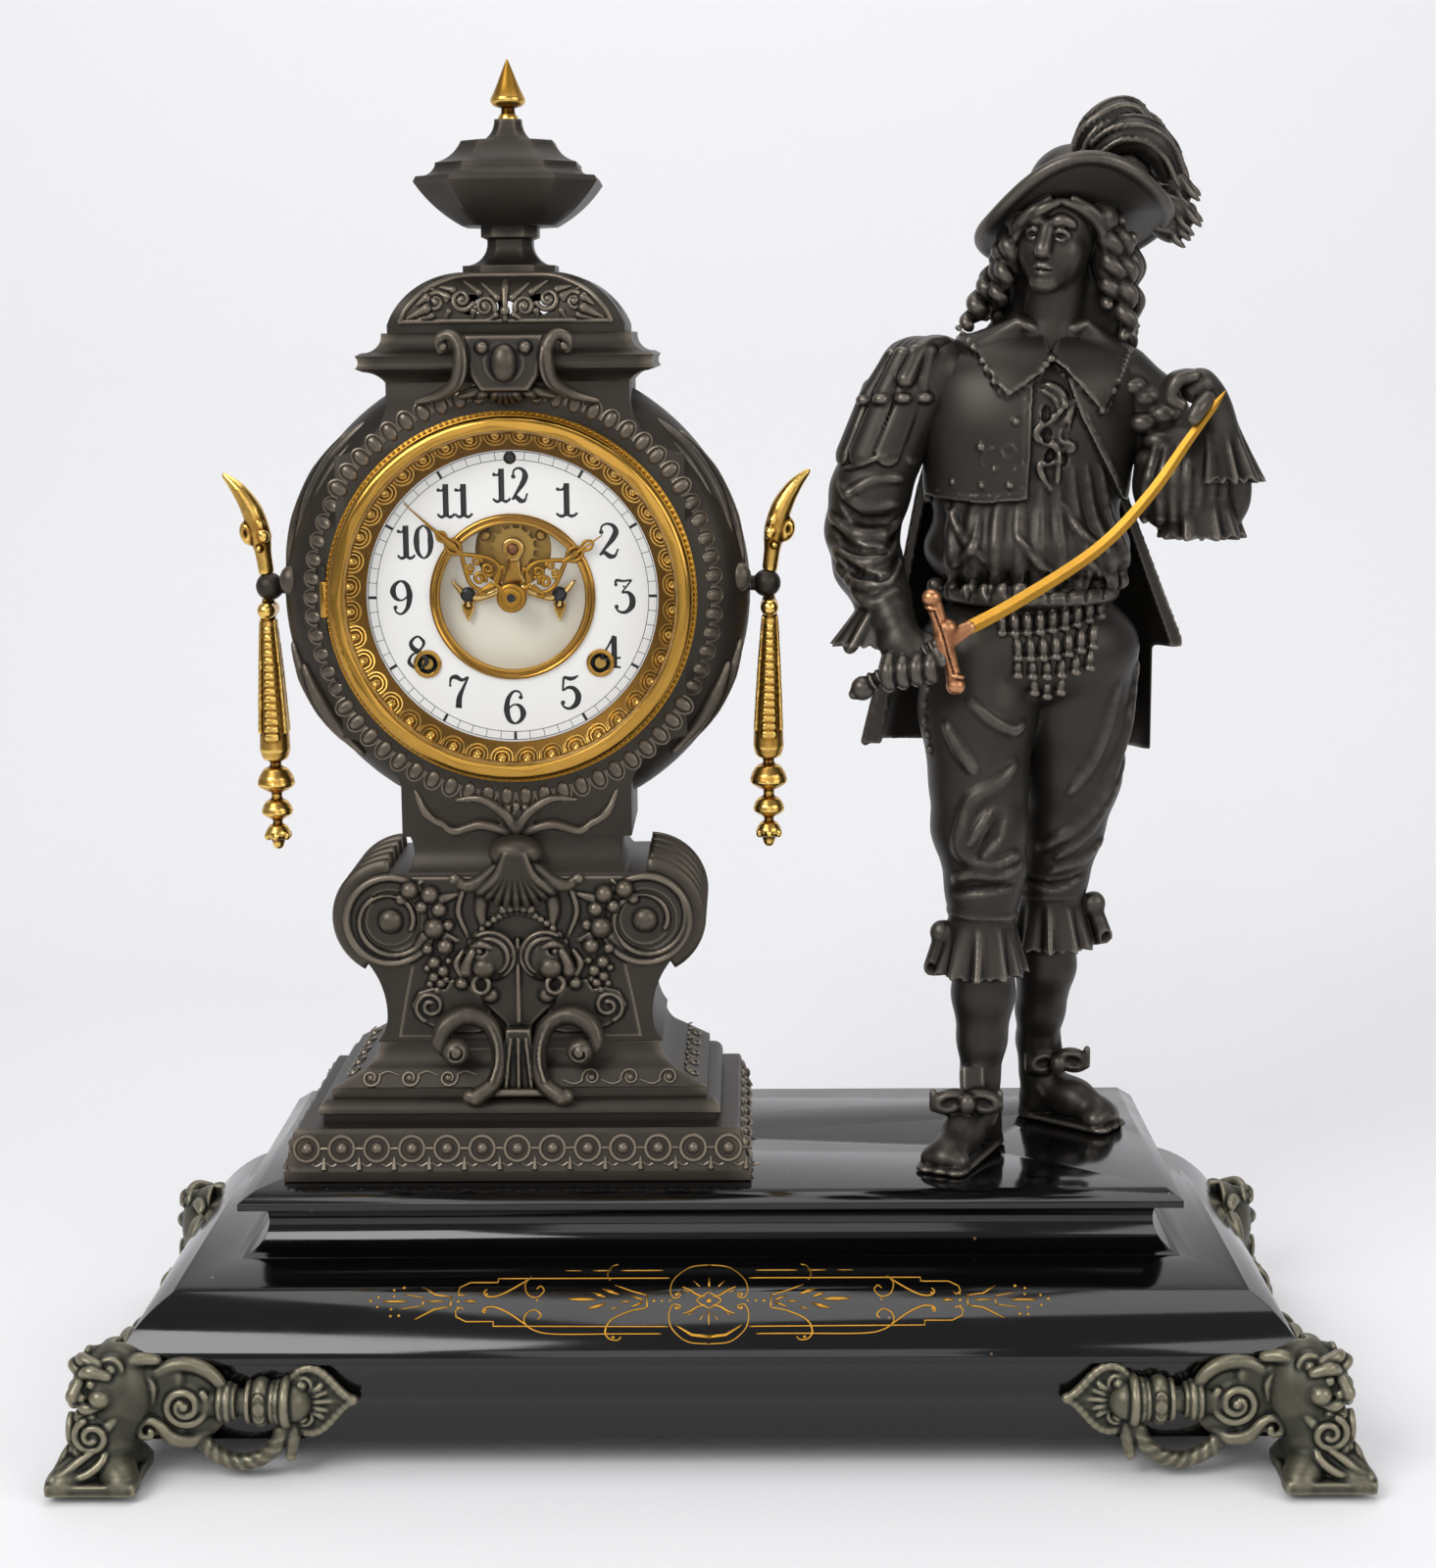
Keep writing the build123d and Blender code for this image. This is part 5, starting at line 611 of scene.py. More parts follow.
def slab(clay, centre, half, rounding=0.5, blend=0.5, cut=False, turn=None):
    half = np.asarray(half, float)
    frameTurn = turnMatrix(turn) if turn else np.eye(3)

    def measure(x, y, z):
        d = [x - centre[0], y - centre[1], z - centre[2]]
        local = [sum(frameTurn[j, i] * d[j] for j in range(3)) for i in range(3)] if turn else d
        q = [np.abs(local[i]) - (half[i] - rounding) for i in range(3)]
        outer = np.sqrt(sum(np.maximum(v, 0) ** 2 for v in q))
        inner = np.minimum(np.maximum(np.maximum(q[0], q[1]), q[2]), 0)
        return (outer + inner - rounding).astype(np.float32)

    reach = np.full(3, np.linalg.norm(half)) if turn else half
    press(clay, measure, np.asarray(centre) - reach, np.asarray(centre) + reach, blend, cut)


def outlineMeasure(outline, x, z):
    # signed distance to a closed outline in the x, z plane
    outline = np.asarray(outline, float)
    best = np.full(np.broadcast(x, z).shape, 1e9, np.float32)
    inside = np.zeros(best.shape, bool)
    for (x0, z0), (x1, z1) in zip(outline, np.roll(outline, -1, 0)):
        ex, ez = x1 - x0, z1 - z0
        t = np.clip(((x - x0) * ex + (z - z0) * ez) / max(ex * ex + ez * ez, 1e-9), 0, 1)
        best = np.minimum(best, (x - x0 - t * ex) ** 2 + (z - z0 - t * ez) ** 2)
        if z0 != z1:
            inside ^= ((z0 > z) != (z1 > z)) & (x < (x1 - x0) * (z - z0) / (z1 - z0) + x0)
    return np.where(inside, -1.0, 1.0) * np.sqrt(best)


def plate(clay, outline, yFront, yBack, rounding=0.6, blend=0.6, cut=False):
    # an outline in the x, z plane given thickness between two depths
    outline = np.asarray(outline, float)
    middle, half = (yFront + yBack) / 2, abs(yBack - yFront) / 2

    def measure(x, y, z):
        flat = outlineMeasure(outline, x[:, :, 0], z[0, :, :].T if z.shape[1] > 1 else z[0, 0, :][None, :])
        q0, q1 = flat[:, None, :] + rounding, np.abs(y - middle) - half + rounding
        return (np.sqrt(np.maximum(q0, 0) ** 2 + np.maximum(q1, 0) ** 2) + np.minimum(np.maximum(q0, q1), 0) - rounding).astype(np.float32)

    low = (outline[:, 0].min(), min(yFront, yBack), outline[:, 1].min())
    high = (outline[:, 0].max(), max(yFront, yBack), outline[:, 1].max())
    press(clay, measure, low, high, blend, cut)


def ringBar(clay, centre, normal, radius, thickness, blend=0.8, cut=False):
    normal = np.asarray(normal, float) / np.linalg.norm(normal)

    def measure(x, y, z):
        d = [x - centre[0], y - centre[1], z - centre[2]]
        height = d[0] * normal[0] + d[1] * normal[1] + d[2] * normal[2]
        flat = np.sqrt(np.maximum(d[0] ** 2 + d[1] ** 2 + d[2] ** 2 - height ** 2, 0))
        return (np.sqrt((flat - radius) ** 2 + height ** 2) - thickness).astype(np.float32)

    reach = radius + thickness
    press(clay, measure, np.asarray(centre) - reach, np.asarray(centre) + reach, blend, cut)


def spiralLine(centre, startRadius, endRadius, startAngle, turns, count, depth=0.0, flip=1):
    # a spiral in the x, z plane at a depth, from the outside in
    t = np.linspace(0, 1, count)
    radius = startRadius + (endRadius - startRadius) * t ** 0.8
    angle = math.radians(startAngle) + flip * 2 * math.pi * turns * t
    return np.column_stack([centre[0] + radius * np.cos(angle), np.full(count, centre[1]) + depth * t, centre[2] + radius * np.sin(angle)])


def frontOf(clay, x, z, back=False):
    # the depth at which the clay begins, looking from the front (or the back) at x, z
    step = clay["step"]
    i = int(round((x - clay["low"][0]) / step))
    k = int(round((z - clay["low"][2]) / step))
    column = clay["field"][i, :, k]
    inside = np.nonzero(column < 0)[0]
    if len(inside) == 0:
        return clay["low"][1] + step * len(column) / 2
    j = inside[-1] if back else inside[0]
    n = j + 1 if back else j - 1
    if n < 0 or n >= len(column):
        return clay["low"][1] + step * j
    share = column[j] / (column[j] - column[n])
    return clay["low"][1] + step * (j + (n - j) * share)


def ridge(clay, spots, radii, blend=0.8, cut=False, sink=0.3, back=False, count=None):
    # a bar that follows the clay's front along x, z spots; sink is how deep its middle lies
    line = smoothLine(spots, count or 7 * len(spots))
    sign = -1 if back else 1
    radii = np.interp(np.linspace(0, 1, len(line)), np.linspace(0, 1, len(np.atleast_1d(radii))), np.atleast_1d(radii))
    settleIn = 0 * radii if cut else 0.42 + 0.36 * np.clip((radii - 1.3) / 0.8, 0, 1)
    path = [(x, frontOf(clay, x, z, back) + sign * (sink + s * r), z) for (x, z), r, s in zip(line, radii, settleIn)]
    for a, b, ra, rb in zip(path, path[1:], radii, radii[1:]):
        bar(clay, a, b, ra, rb, blend, cut)


def stud(clay, x, z, radii, blend=0.5, sink=0.2, back=False, cut=False):
    # a knob on the clay's front
    radii = np.broadcast_to(np.asarray(radii, float), (3,))
    ball(clay, (x, frontOf(clay, x, z, back) + (-sink if back else sink), z), radii, blend, cut)


def skinned(clay, name, shift=(0, 0, 0), adapt=0.0):
    # the clay's surface as a mesh
    grid = openvdb.FloatGrid(30.0)
    field = clay["field"].copy()
    for axis in range(3):
        edge = [slice(None)] * 3
        for end in (0, -1):
            edge[axis] = end
            field[tuple(edge)] = np.maximum(field[tuple(edge)], 0.5 * clay["step"])
    grid.copyFromArray(field)
    points, triangles, quads = grid.convertToPolygons(isovalue=0.0, adaptivity=adapt)
    return meshFromArrays(name, points * clay["step"] + clay["low"] + np.asarray(shift, float), np.asarray(triangles).reshape(-1, 3), np.asarray(quads).reshape(-1, 4))


# the room: a pale sweep, soft lamps and the camera where the photograph was taken from

studio = {"floor": "#e5e5e7", "wallStart": 650, "wallBend": 400, "wallTop": 2200, "reach": 2600, "frontReach": 2400}


def sweepPaper():
    material, tree, shader = blankMaterial("paleSweepPaper")
    where = addNode(tree, "ShaderNodeTexCoord").outputs["Object"]
    fibre = addNode(tree, "ShaderNodeTexNoise", {"Scale": 1 / (2 * mm), "Detail": 2.0}, {"Vector": where})
    mix = addNode(tree, "ShaderNodeMix", {}, {"Factor": fibre.outputs["Fac"]}, data_type="RGBA")
    mix.inputs[6].default_value, mix.inputs[7].default_value = tone(studio["floor"]), tone("#ebebed")
    tree.links.new(mix.outputs[2], shader.inputs["Base Color"])
    shader.inputs["Roughness"].default_value = 0.9
    # seen from behind, the sweep lets the eye through to the object
    behind = addNode(tree, "ShaderNodeNewGeometry").outputs["Backfacing"]
    clear = addNode(tree, "ShaderNodeMath", {0: 1.0}, {1: behind}, operation="SUBTRACT")
    tree.links.new(clear.outputs["Value"], shader.inputs["Alpha"])
    return material


def layStudio():
    profile = [(-studio["frontReach"], 0.0), (studio["wallStart"], 0.0)]
    for k in range(1, 13):
        angle = math.pi / 2 * k / 12
        profile.append((studio["wallStart"] + studio["wallBend"] * math.sin(angle), studio["wallBend"] * (1 - math.cos(angle))))
    profile.append((studio["wallStart"] + studio["wallBend"], studio["wallTop"]))
    points = [(x, y, z) for y, z in profile for x in (-studio["reach"], studio["reach"])]
    faces = [(2 * i, 2 * i + 1, 2 * i + 3, 2 * i + 2) for i in range(len(profile) - 1)]
    mesh = meshFrom("sweep", points, faces)
    mesh.polygons.foreach_set("use_smooth", np.ones(len(mesh.polygons), bool))
    mesh.materials.append(sweepPaper())
    sweep = bpy.data.objects.new("sweep", mesh)
    bpy.context.scene.collection.objects.link(sweep)
    for name, spot, size, power, aim in (("keyLamp", (-0.95, -1.25, 1.35), 1.0, 22, (0, 0, 0.25)), ("fillLamp", (1.25, -1.0, 0.9), 1.0, 8.5, (0, 0, 0.25)),
                                         ("topLamp", (0.1, 0.15, 1.7), 1.3, 11, (0, 0.1, 0)), ("frontLamp", (0.1, -1.9, 0.75), 1.2, 6, (0, 0, 0.25))):
        lamp = bpy.data.lights.new(name, "AREA")
        lamp.shape, lamp.size, lamp.energy = "SQUARE", size, power
        piece = bpy.data.objects.new(name, lamp)
        piece.location = spot
        piece.rotation_euler = (Vector(aim) - Vector(spot)).to_track_quat("-Z", "Y").to_euler()
        bpy.context.scene.collection.objects.link(piece)
    world = bpy.data.worlds.new("softRoom")
    world.use_nodes = True
    tree = world.node_tree
    tree.nodes.clear()
    glow = addNode(tree, "ShaderNodeBackground", {"Color": tone("#f2f2f4"), "Strength": 0.345})
    addNode(tree, "ShaderNodeOutputWorld", links={"Surface": glow.outputs[0]})
    bpy.context.scene.world = world
    bpy.context.scene.view_settings.view_transform = "Standard"


shot = {"place": (17.6186, -1006.4433, 424.5821), "yaw": -0.0135, "pitch": -0.171, "roll": -0.0082, "lens": 59.063}


def setCamera():
    yaw, pitch, roll = shot["yaw"], shot["pitch"], shot["roll"]
    ahead = Vector((math.sin(yaw) * math.cos(pitch), math.cos(yaw) * math.cos(pitch), math.sin(pitch)))
    right = Vector((math.cos(yaw), -math.sin(yaw), 0))
    up = right.cross(ahead)
    r, u = right * math.cos(roll) + up * math.sin(roll), up * math.cos(roll) - right * math.sin(roll)
    camera = bpy.data.cameras.new("shot")
    camera.sensor_width, camera.lens, camera.clip_start = 36.0, shot["lens"], 0.05
    piece = bpy.data.objects.new("shot", camera)
    turn = Matrix((r, u, -ahead)).transposed().to_4x4()
    piece.matrix_world = Matrix.Translation(Vector(shot["place"]) * mm) @ turn
    bpy.context.scene.collection.objects.link(piece)
    bpy.context.scene.camera = piece


layStudio()
setCamera()
print("stage: studio set")


def eased(node, name, material, body, width=0.5, sharp=35, wearAndPaintedLight=False, front=None):
    # a copy of a CAD piece with its triangles merged and its edges softened; what stands before front is pressed flat
    shape = bmesh.new()
    shape.from_mesh(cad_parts[node].data)
    bmesh.ops.remove_doubles(shape, verts=shape.verts, dist=1e-6)
    bmesh.ops.dissolve_limit(shape, angle_limit=math.radians(2), verts=shape.verts, edges=shape.edges)
    mesh = bpy.data.meshes.new(name)
    shape.to_mesh(mesh)
    shape.free()
    holder = bpy.data.objects.new(name + "Raw", mesh)
    bpy.context.scene.collection.objects.link(holder)
    soft = holder.modifiers.new("ease", "BEVEL")
    soft.width, soft.segments, soft.limit_method, soft.angle_limit = width * mm, 2, "ANGLE", math.radians(40)
    soft.use_clamp_overlap = True
    mesh = baked(holder)
    bpy.data.objects.remove(holder)
    if front is not None:
        for corner in mesh.vertices:
            corner.co.y = max(corner.co.y, front * mm)
    return settle(mesh, name, material, body, (node,), sharp=sharp, wearAndPaintedLight=wearAndPaintedLight)


# the enamelled iron base
for node, name, width in (("base_skirt", "baseSkirt", 0.8), ("base_cushion", "baseCushion", 0.9), ("base_cove", "baseCove", 0.6), ("base_top", "baseTop", 0.7)):
    eased(node, name, enamelledIron, "frame", width)

cushion = {"lipX": 223.3, "lipY": 90.55, "lipTop": 48.1, "reach": 40.4, "top": 72.4, "bow": 7.0}
cushionArc = np.array(arcPoints((0, cushion["lipTop"]), (-cushion["reach"], cushion["top"]), cushion["bow"], 60))


def onCushion(x, up, lift=0.0):
    # a point on the cushion's front: x along, up is the share of the way up the slope
    spot = np.array([np.interp(up, np.linspace(0, 1, 61), cushionArc[:, i]) for i in (0, 1)])
    ahead = np.array([np.interp(min(up + 0.02, 1), np.linspace(0, 1, 61), cushionArc[:, i]) for i in (0, 1)])
    behind = np.array([np.interp(max(up - 0.02, 0), np.linspace(0, 1, 61), cushionArc[:, i]) for i in (0, 1)])
    run = (ahead - behind) / max(np.hypot(*(ahead - behind)), 1e-6)
    normal = np.array([run[1], -run[0]])
    normal = normal if normal[1] > 0 else -normal
    return np.array([x, -(cushion["lipY"] + spot[0] + lift * normal[0]), spot[1] + lift * normal[1]])


print("stage: base")

# the clock case's mouldings
plinth = {"halfX": 92.0, "halfY": 58.2, "fillet": 103.6, "recess": 119.0, "cyma": 122.5, "ledge": 128.0, "frieze": 132.0, "ogee": 138.6, "frontShare": 0.72}
caseMiddle = (place["caseX"], place["caseY"])
share = plinth["frontShare"]
plinthLevels = [(-0.7, -0.7, 98.4, 0), (0, 0, 99.1, 0), (0, 0, 102.9, 0), (-0.7, -0.7, 103.6, 0), (-4.4, -4.4, 118.2, 0), (-5.2, -5.2, 119.0, 0), (-14, -14, 119.0, 0),
                (-14, -14, 122.5, 0), (-12.6, -12.6, 122.5, 0), (-12, -12, 123.0, 0), (-17.5, -17.5, 128.0, 1.5), (-17.5, -17.5, 131.6, 0), (-18.2, -18.2, 132.0, 0),
                (-30, -30 * share, 138.6, 0), (-36, -36 * share, 148.6, -1.5)]
settle(meshFrom("casePlinth", *mitredMoulding(plinthLevels, plinth["halfX"], plinth["halfY"], caseMiddle)), "casePlinth", patinatedSpelter, "frame", ("case_plinth",), sharp=32)
corniceLevels = [(-11, -11, 409.3, 0), (-3.6, -3.6, 413.4, -1), (-0.9, -0.9, 414.6, 0), (-0.9, -0.9, 419.4, -1.0), (-3.2, -3.2, 420.6, 0), (-10, -10, 427.0, -2), (-10, -10, 428, 0)]
settle(meshFrom("caseCornice", *mitredMoulding(corniceLevels, 58.0, 38.8, caseMiddle, pitch=4.0)), "caseCornice", patinatedSpelter, "frame", ("case_cornice",), sharp=32)

urnProfile = [(18.0, 0, 0), (18.0, 2.65, 0), (8.7, 10.6, -2.5), (8.7, 12.6, 0), (11.0, 13.6, 0), (11.0, 17.7, 0), (17.8, 17.7, 0), (35.3, 34.2, 1.5), (34.3, 36.2, 0),
              (27.2, 40.5, -1.5), (27.2, 41.5, 0), (17.6, 50.0, -1.5), (8.6, 51.0, 0), (5.2, 58.5, -1)]


def urnShape(facet=1.11):
    # a square vase with its corners cut, as a stack of eight-sided rings
    rows = profileRows([(half, half, rise, bow) for half, rise, bow in urnProfile], pitch=1.2)
    points, faces = [], []
    per = 4
    for half, _, rise in rows:
        cut = half * (facet * math.sqrt(2) - 1)
        ring = [(-cut, -half), (cut, -half), (half, -cut), (half, cut), (cut, half), (-cut, half), (-half, cut), (-half, -cut)]
        for (x0, y0), (x1, y1) in zip(ring, ring[1:] + ring[:1]):
            for i in range(per):
                t = i / per
                points.append((caseMiddle[0] + x0 + (x1 - x0) * t, caseMiddle[1] + y0 + (y1 - y0) * t, place["urnZ"] + rise))
    loop = 8 * per
    for r in range(len(rows) - 1):
        for i in range(loop):
            n = (i + 1) % loop
            faces.append((r * loop + i, r * loop + n, (r + 1) * loop + n, (r + 1) * loop + i))
    faces.append(tuple(range(loop))[::-1])
    faces.append(tuple(range((len(rows) - 1) * loop, len(rows) * loop)))
    return np.array(points), faces


settle(meshFrom("caseUrn", *urnShape()), "caseUrn", patinatedSpelter, "frame", ("case_urn",), sharp=28)
finial = [(0, 0), (3.9, 0), (3.9, 1.0), (2.8, 2.2), (2.6, 4.2), (5.6, 5.2), (6.8, 6.6), (6.9, 7.6), (6.4, 8.6), (5.5, 10.2), (4.2, 13.2), (2.6, 17.2), (1.2, 20.6), (0.7, 21.9), (0.35, 22.7), (0, 22.8)]
settle(meshFrom("urnFinial", *turnedShape(finial, 40, "z", (caseMiddle[0], caseMiddle[1], place["finialZ"]))), "urnFinial", giltBrass, "frame", ("urn_finial",), sharp=50)
print("stage: case mouldings")

# the dial, its ink, the bezel and the hands
dialSet = {"x": place["caseX"], "z": place["dialZ"], "face": -3.0, "trackIn": 53.3, "trackOut": 56.5, "numeralRing": 43.6, "numeralHeight": 13.4,
           "eggs": 40, "beads": 190}


def onDial(u, v, y):
    return np.array([dialSet["x"] + u, y, dialSet["z"] + v])


def clockWay(hours):
    angle = math.radians(90 - 30 * hours)
    return math.cos(angle), math.sin(angle)


# each numeral is a few pen strokes (points, half widths) and ball ends (x, y, radius), in a box of height 1
digits = {
    "0": ([([(.30, .98), (.11, .82), (.06, .5), (.11, .18), (.30, .02), (.49, .18), (.54, .5), (.49, .82), (.30, .98)], [.025, .06, .09, .06, .025, .06, .09, .06, .025])], []),
    "1": ([([(.30, .97), (.30, .04)], [.085, .085]), ([(.30, .95), (.2, .80), (.06, .78)], [.05, .035, .03]), ([(.04, .06), (.16, .02), (.30, .06), (.44, .02), (.57, .07)], [.03, .05, .035, .05, .03])],
          [(.06, .80, .06), (.04, .08, .045), (.57, .09, .045)]),
    "2": ([([(.09, .74), (.14, .92), (.3, .98), (.46, .9), (.51, .74), (.42, .54), (.22, .28), (.06, .07)], [.03, .03, .035, .06, .09, .08, .045, .03]),
           ([(.06, .07), (.18, .15), (.34, .04), (.48, .05), (.56, .22)], [.03, .06, .075, .045, .02])], [(.11, .74, .075), (.56, .22, .04)]),
    "3": ([([(.07, .84), (.1, .96), (.28, .94), (.52, .97)], [.03, .045, .035, .03]), ([(.52, .97), (.36, .76), (.24, .6)], [.03, .025, .025]),
           ([(.24, .6), (.42, .6), (.53, .43), (.51, .2), (.34, .03), (.16, .05), (.06, .18)], [.025, .05, .09, .09, .05, .035, .03])], [(.08, .83, .055), (.09, .19, .07), (.30, .78, .04)]),
    "4": ([([(.42, .97), (.22, .6), (.03, .3)], [.04, .03, .03]), ([(.03, .3), (.3, .28), (.6, .32)], [.03, .04, .03]), ([(.42, .95), (.42, .05)], [.08, .085]), ([(.24, .03), (.42, .05), (.6, .03)], [.03, .04, .03])], []),
    "5": ([([(.13, .95), (.3, .9), (.42, .92), (.54, .99)], [.04, .065, .05, .02]), ([(.13, .95), (.1, .54)], [.035, .03]),
           ([(.1, .54), (.26, .64), (.43, .59), (.53, .4), (.48, .16), (.3, .02), (.15, .05), (.06, .17)], [.025, .045, .07, .09, .085, .045, .035, .03])], [(.1, .19, .075)]),
    "6": ([([(.5, .8), (.44, .94), (.28, .97), (.12, .76), (.07, .42), (.14, .13), (.3, .02), (.47, .13), (.53, .33), (.45, .52), (.3, .58), (.16, .5), (.08, .38)],
            [.03, .03, .035, .065, .09, .07, .03, .06, .09, .06, .025, .03, .03])], [(.47, .79, .07)]),
    "7": ([([(.04, .72), (.08, .93), (.22, .97), (.38, .88), (.56, .97)], [.02, .045, .075, .05, .03]), ([(.56, .97), (.42, .66), (.3, .36), (.27, .05)], [.03, .045, .08, .095])], [(.05, .72, .045)]),
    "8": ([([(.3, .54), (.16, .65), (.12, .82), (.3, .98), (.47, .83), (.43, .67), (.3, .54)], [.08, .075, .05, .03, .05, .035, .03]),
           ([(.3, .54), (.46, .41), (.54, .22), (.3, .02), (.06, .2), (.12, .41), (.3, .54)], [.08, .09, .07, .03, .06, .035, .03])], []),
}
digits["9"] = ([([(.6 - x, 1 - y) for x, y in points], widths) for points, widths in digits["6"][0]], [(.6 - x, 1 - y, r) for x, y, r in digits["6"][1]])


def numeralShapes():
    shapes = []
    height, face = dialSet["numeralHeight"], dialSet["face"] - 0.02
    for hour in range(1, 13):
        text = str(hour)
        cu, cv = (dialSet["numeralRing"] * c for c in clockWay(hour))
        squeeze = 0.86 if len(text) == 2 else 1.05
        advance = 0.60 * height * squeeze
        for k, letter in enumerate(text):
            left = cu + (k - len(text) / 2) * advance
            strokes, ends = digits[letter]
            for points, widths in strokes:
                line = smoothLine([(left + x * height * squeeze, cv + (y - 0.5) * height) for x, y in points], 8 * len(points))
                half = np.interp(np.linspace(0, 1, len(line)), np.linspace(0, 1, len(widths)), widths) * height
                path = [onDial(u, v, face) for u, v in line]
                shapes.append(tubeShape(path, half, 6, flat=0.07))
            for x, y, radius in ends:
                spot = onDial(left + x * height * squeeze, cv + (y - 0.5) * height, face)
                shapes.append(turnedShape([(0, -0.08), (radius * height * 0.7, -0.06), (radius * height * 0.9, 0.0), (0, 0.02)], 14, "y", spot))
    return shapes


def flatRing(inner, outer, front, back):
    return turnedShape([(inner, front), (outer, front), (outer, back), (inner, back)], 128, "y", onDial(0, 0, 0), True)


inkShapes = numeralShapes()
inkShapes += [flatRing(dialSet["trackIn"] - 0.12, dialSet["trackIn"] + 0.12, -3.05, -3.0), flatRing(dialSet["trackOut"] - 0.12, dialSet["trackOut"] + 0.12, -3.05, -3.0)]
settle(meshFrom("dialNumerals", *joined(inkShapes)), "dialNumerals", dialInk, "frame", sharp=0, wearAndPaintedLight=False, closed=False)


def tickItem(length, width, height=0.05):
    half = (length / 2, width / 2)
    points = [(sx * half[0], sy * half[1], z) for z in (0, height) for sx, sy in ((-1, -1), (1, -1), (1, 1), (-1, 1))]
    return np.array(points), [(3, 2, 1, 0), (4, 5, 6, 7), (0, 1, 5, 4), (1, 2, 6, 5), (2, 3, 7, 6), (3, 0, 4, 7)]


def dialSpots(count, radius, y, skip=None):
    spots = []
    for k in range(count):
        if skip and k % skip == 0:
            continue
        u, v = clockWay(12 * k / count)
        spots.append((onDial(radius * u, radius * v, y), (0, -1, 0), (u, 0, v), 1.0))
    return spots


trackMiddle = (dialSet["trackIn"] + dialSet["trackOut"]) / 2
setRow("minuteTicks", dialSpots(60, trackMiddle, -3.0, 5), tickItem(3.2, 0.24), dialInk, "frame", wearAndPaintedLight=False)
setRow("fiveMinuteBars", dialSpots(12, trackMiddle, -3.0), tickItem(3.2, 1.15), dialInk, "frame", wearAndPaintedLight=False)

ringProfile = [(32.5, -3.0), (32.5, -3.7), (32.1, -4.4), (31.5, -4.6), (30.9, -4.3), (30.6, -3.9), (30.2, -3.9), (29.9, -4.3), (29.3, -4.5), (28.7, -4.3), (28.4, -3.7), (28.4, -3.0),
               (29.9, -3.0), (29.9, 6.2), (31.1, 6.2), (31.1, -3.0)]
settle(meshFrom("centreRing", *turnedShape(ringProfile, 120, "y", onDial(0, 0, 0), True)), "centreRing", polishedBrass, "frame", ("center_ring",), sharp=45, wearAndPaintedLight=False)
eased("winding_grommets", "windingGrommets", polishedBrass, "frame", 0.25)

bezelProfile = [(66.3, -6.3), (66.3, -12.4), (66.5, -13.6), (67.2, -14.2), (68.6, -14.2), (69.3, -13.6), (69.5, -12.2), (69.9, -11.9), (70.3, -12.6), (70.8, -12.4), (71.0, -10.6),
                (72.4, -9.8), (72.4, -6.3)]
eased("bezel", "bezelHinge", polishedBrass, "bezel", 0.3)
settle(meshFrom("bezelRim", *turnedShape(bezelProfile, 160, "y", onDial(0, 0, 0), True)), "bezelRim", giltBrass, "bezel", sharp=38, wearAndPaintedLight=False)
beadItem = turnedShape([(0, 0.72), (0.42, 0.6), (0.68, 0.3), (0.74, 0.0), (0.6, -0.4)], 8, "z", (0, 0, 0))
setRow("bezelBeads", dialSpots(dialSet["beads"], 71.6, -10.6), (beadItem[0], beadItem[1] + [tuple(range(len(beadItem[0]) - 8, len(beadItem[0])))[::-1]]), giltBrass, "bezel", wearAndPaintedLight=False)

sashProfile = [(67.0, -11.4), (66.3, -11.4), (57.9, -4.8), (57.15, -4.6), (57.15, -4.0), (58.2, -3.7), (67.0, -10.2)]
# the sash ring's ground is a darker gilt all over, painted shade so that the eggs stand out from it
shadedGiltGround = castMetal("giltGroundPaintedShade", {
    "body": "#74521d", "patch": "#5c4016", "deep": "#2f1e09", "bright": "#cfa24c", "metallic": 0.95, "rough": 0.46, "brightRough": 0.32,
    "mottle": 6, "pits": 0.8, "ragged": 0.3, "rubAndHighlightFrom": 0.3, "rubAndHighlightTo": 0.9, "bump": 0.12})
settle(meshFrom("sashRing", *turnedShape(sashProfile, 160, "y", onDial(0, 0, 0), True)), "sashRing", shadedGiltGround, "bezel", ("sash_ring",), sharp=38, wearAndPaintedLight=False)


def eggItem():
    # one egg in two nested shells with a dart on one side: x runs outward along the slope, z stands out from it
    egg = turnedShape([(0, 2.9), (0.8, 2.6), (1.5, 1.5), (1.7, 0.3), (1.5, -1.2), (0.9, -2.3), (0, -2.9)], 10, "z", (0, 0, 0))
    shapes = [(egg[0][:, [2, 0, 1]] * (1.0, 1.0, 0.75) + (1.7, 0, 0), egg[1])]
    for half, middle, size in ((4.15, 0.7, 0.5), (2.85, 1.0, 0.45)):
        bend = [(middle - half * math.sin(a), half * math.cos(a), 0.15) for a in np.linspace(0, math.pi, 13)]
        shapes.append(tubeShape([(4.4, half, 0.15)] + bend + [(4.4, -half, 0.15)], size, 6, up=(0, 0, 1)))
    shapes.append(tubeShape([(-1.6, 4.95, 0.1), (1.0, 4.95, 0.15), (4.2, 4.95, 0.2)], [0.2, 0.35, 0.4], 5, up=(0, 0, 1)))
    shapes.append(tubeShape([(2.6, 4.95, 0.3), (3.2, 4.95, 0.4), (3.9, 4.95, 0.3)], [0.3, 0.8, 0.3], 8, up=(0, 0, 1)))
    return joined(shapes)


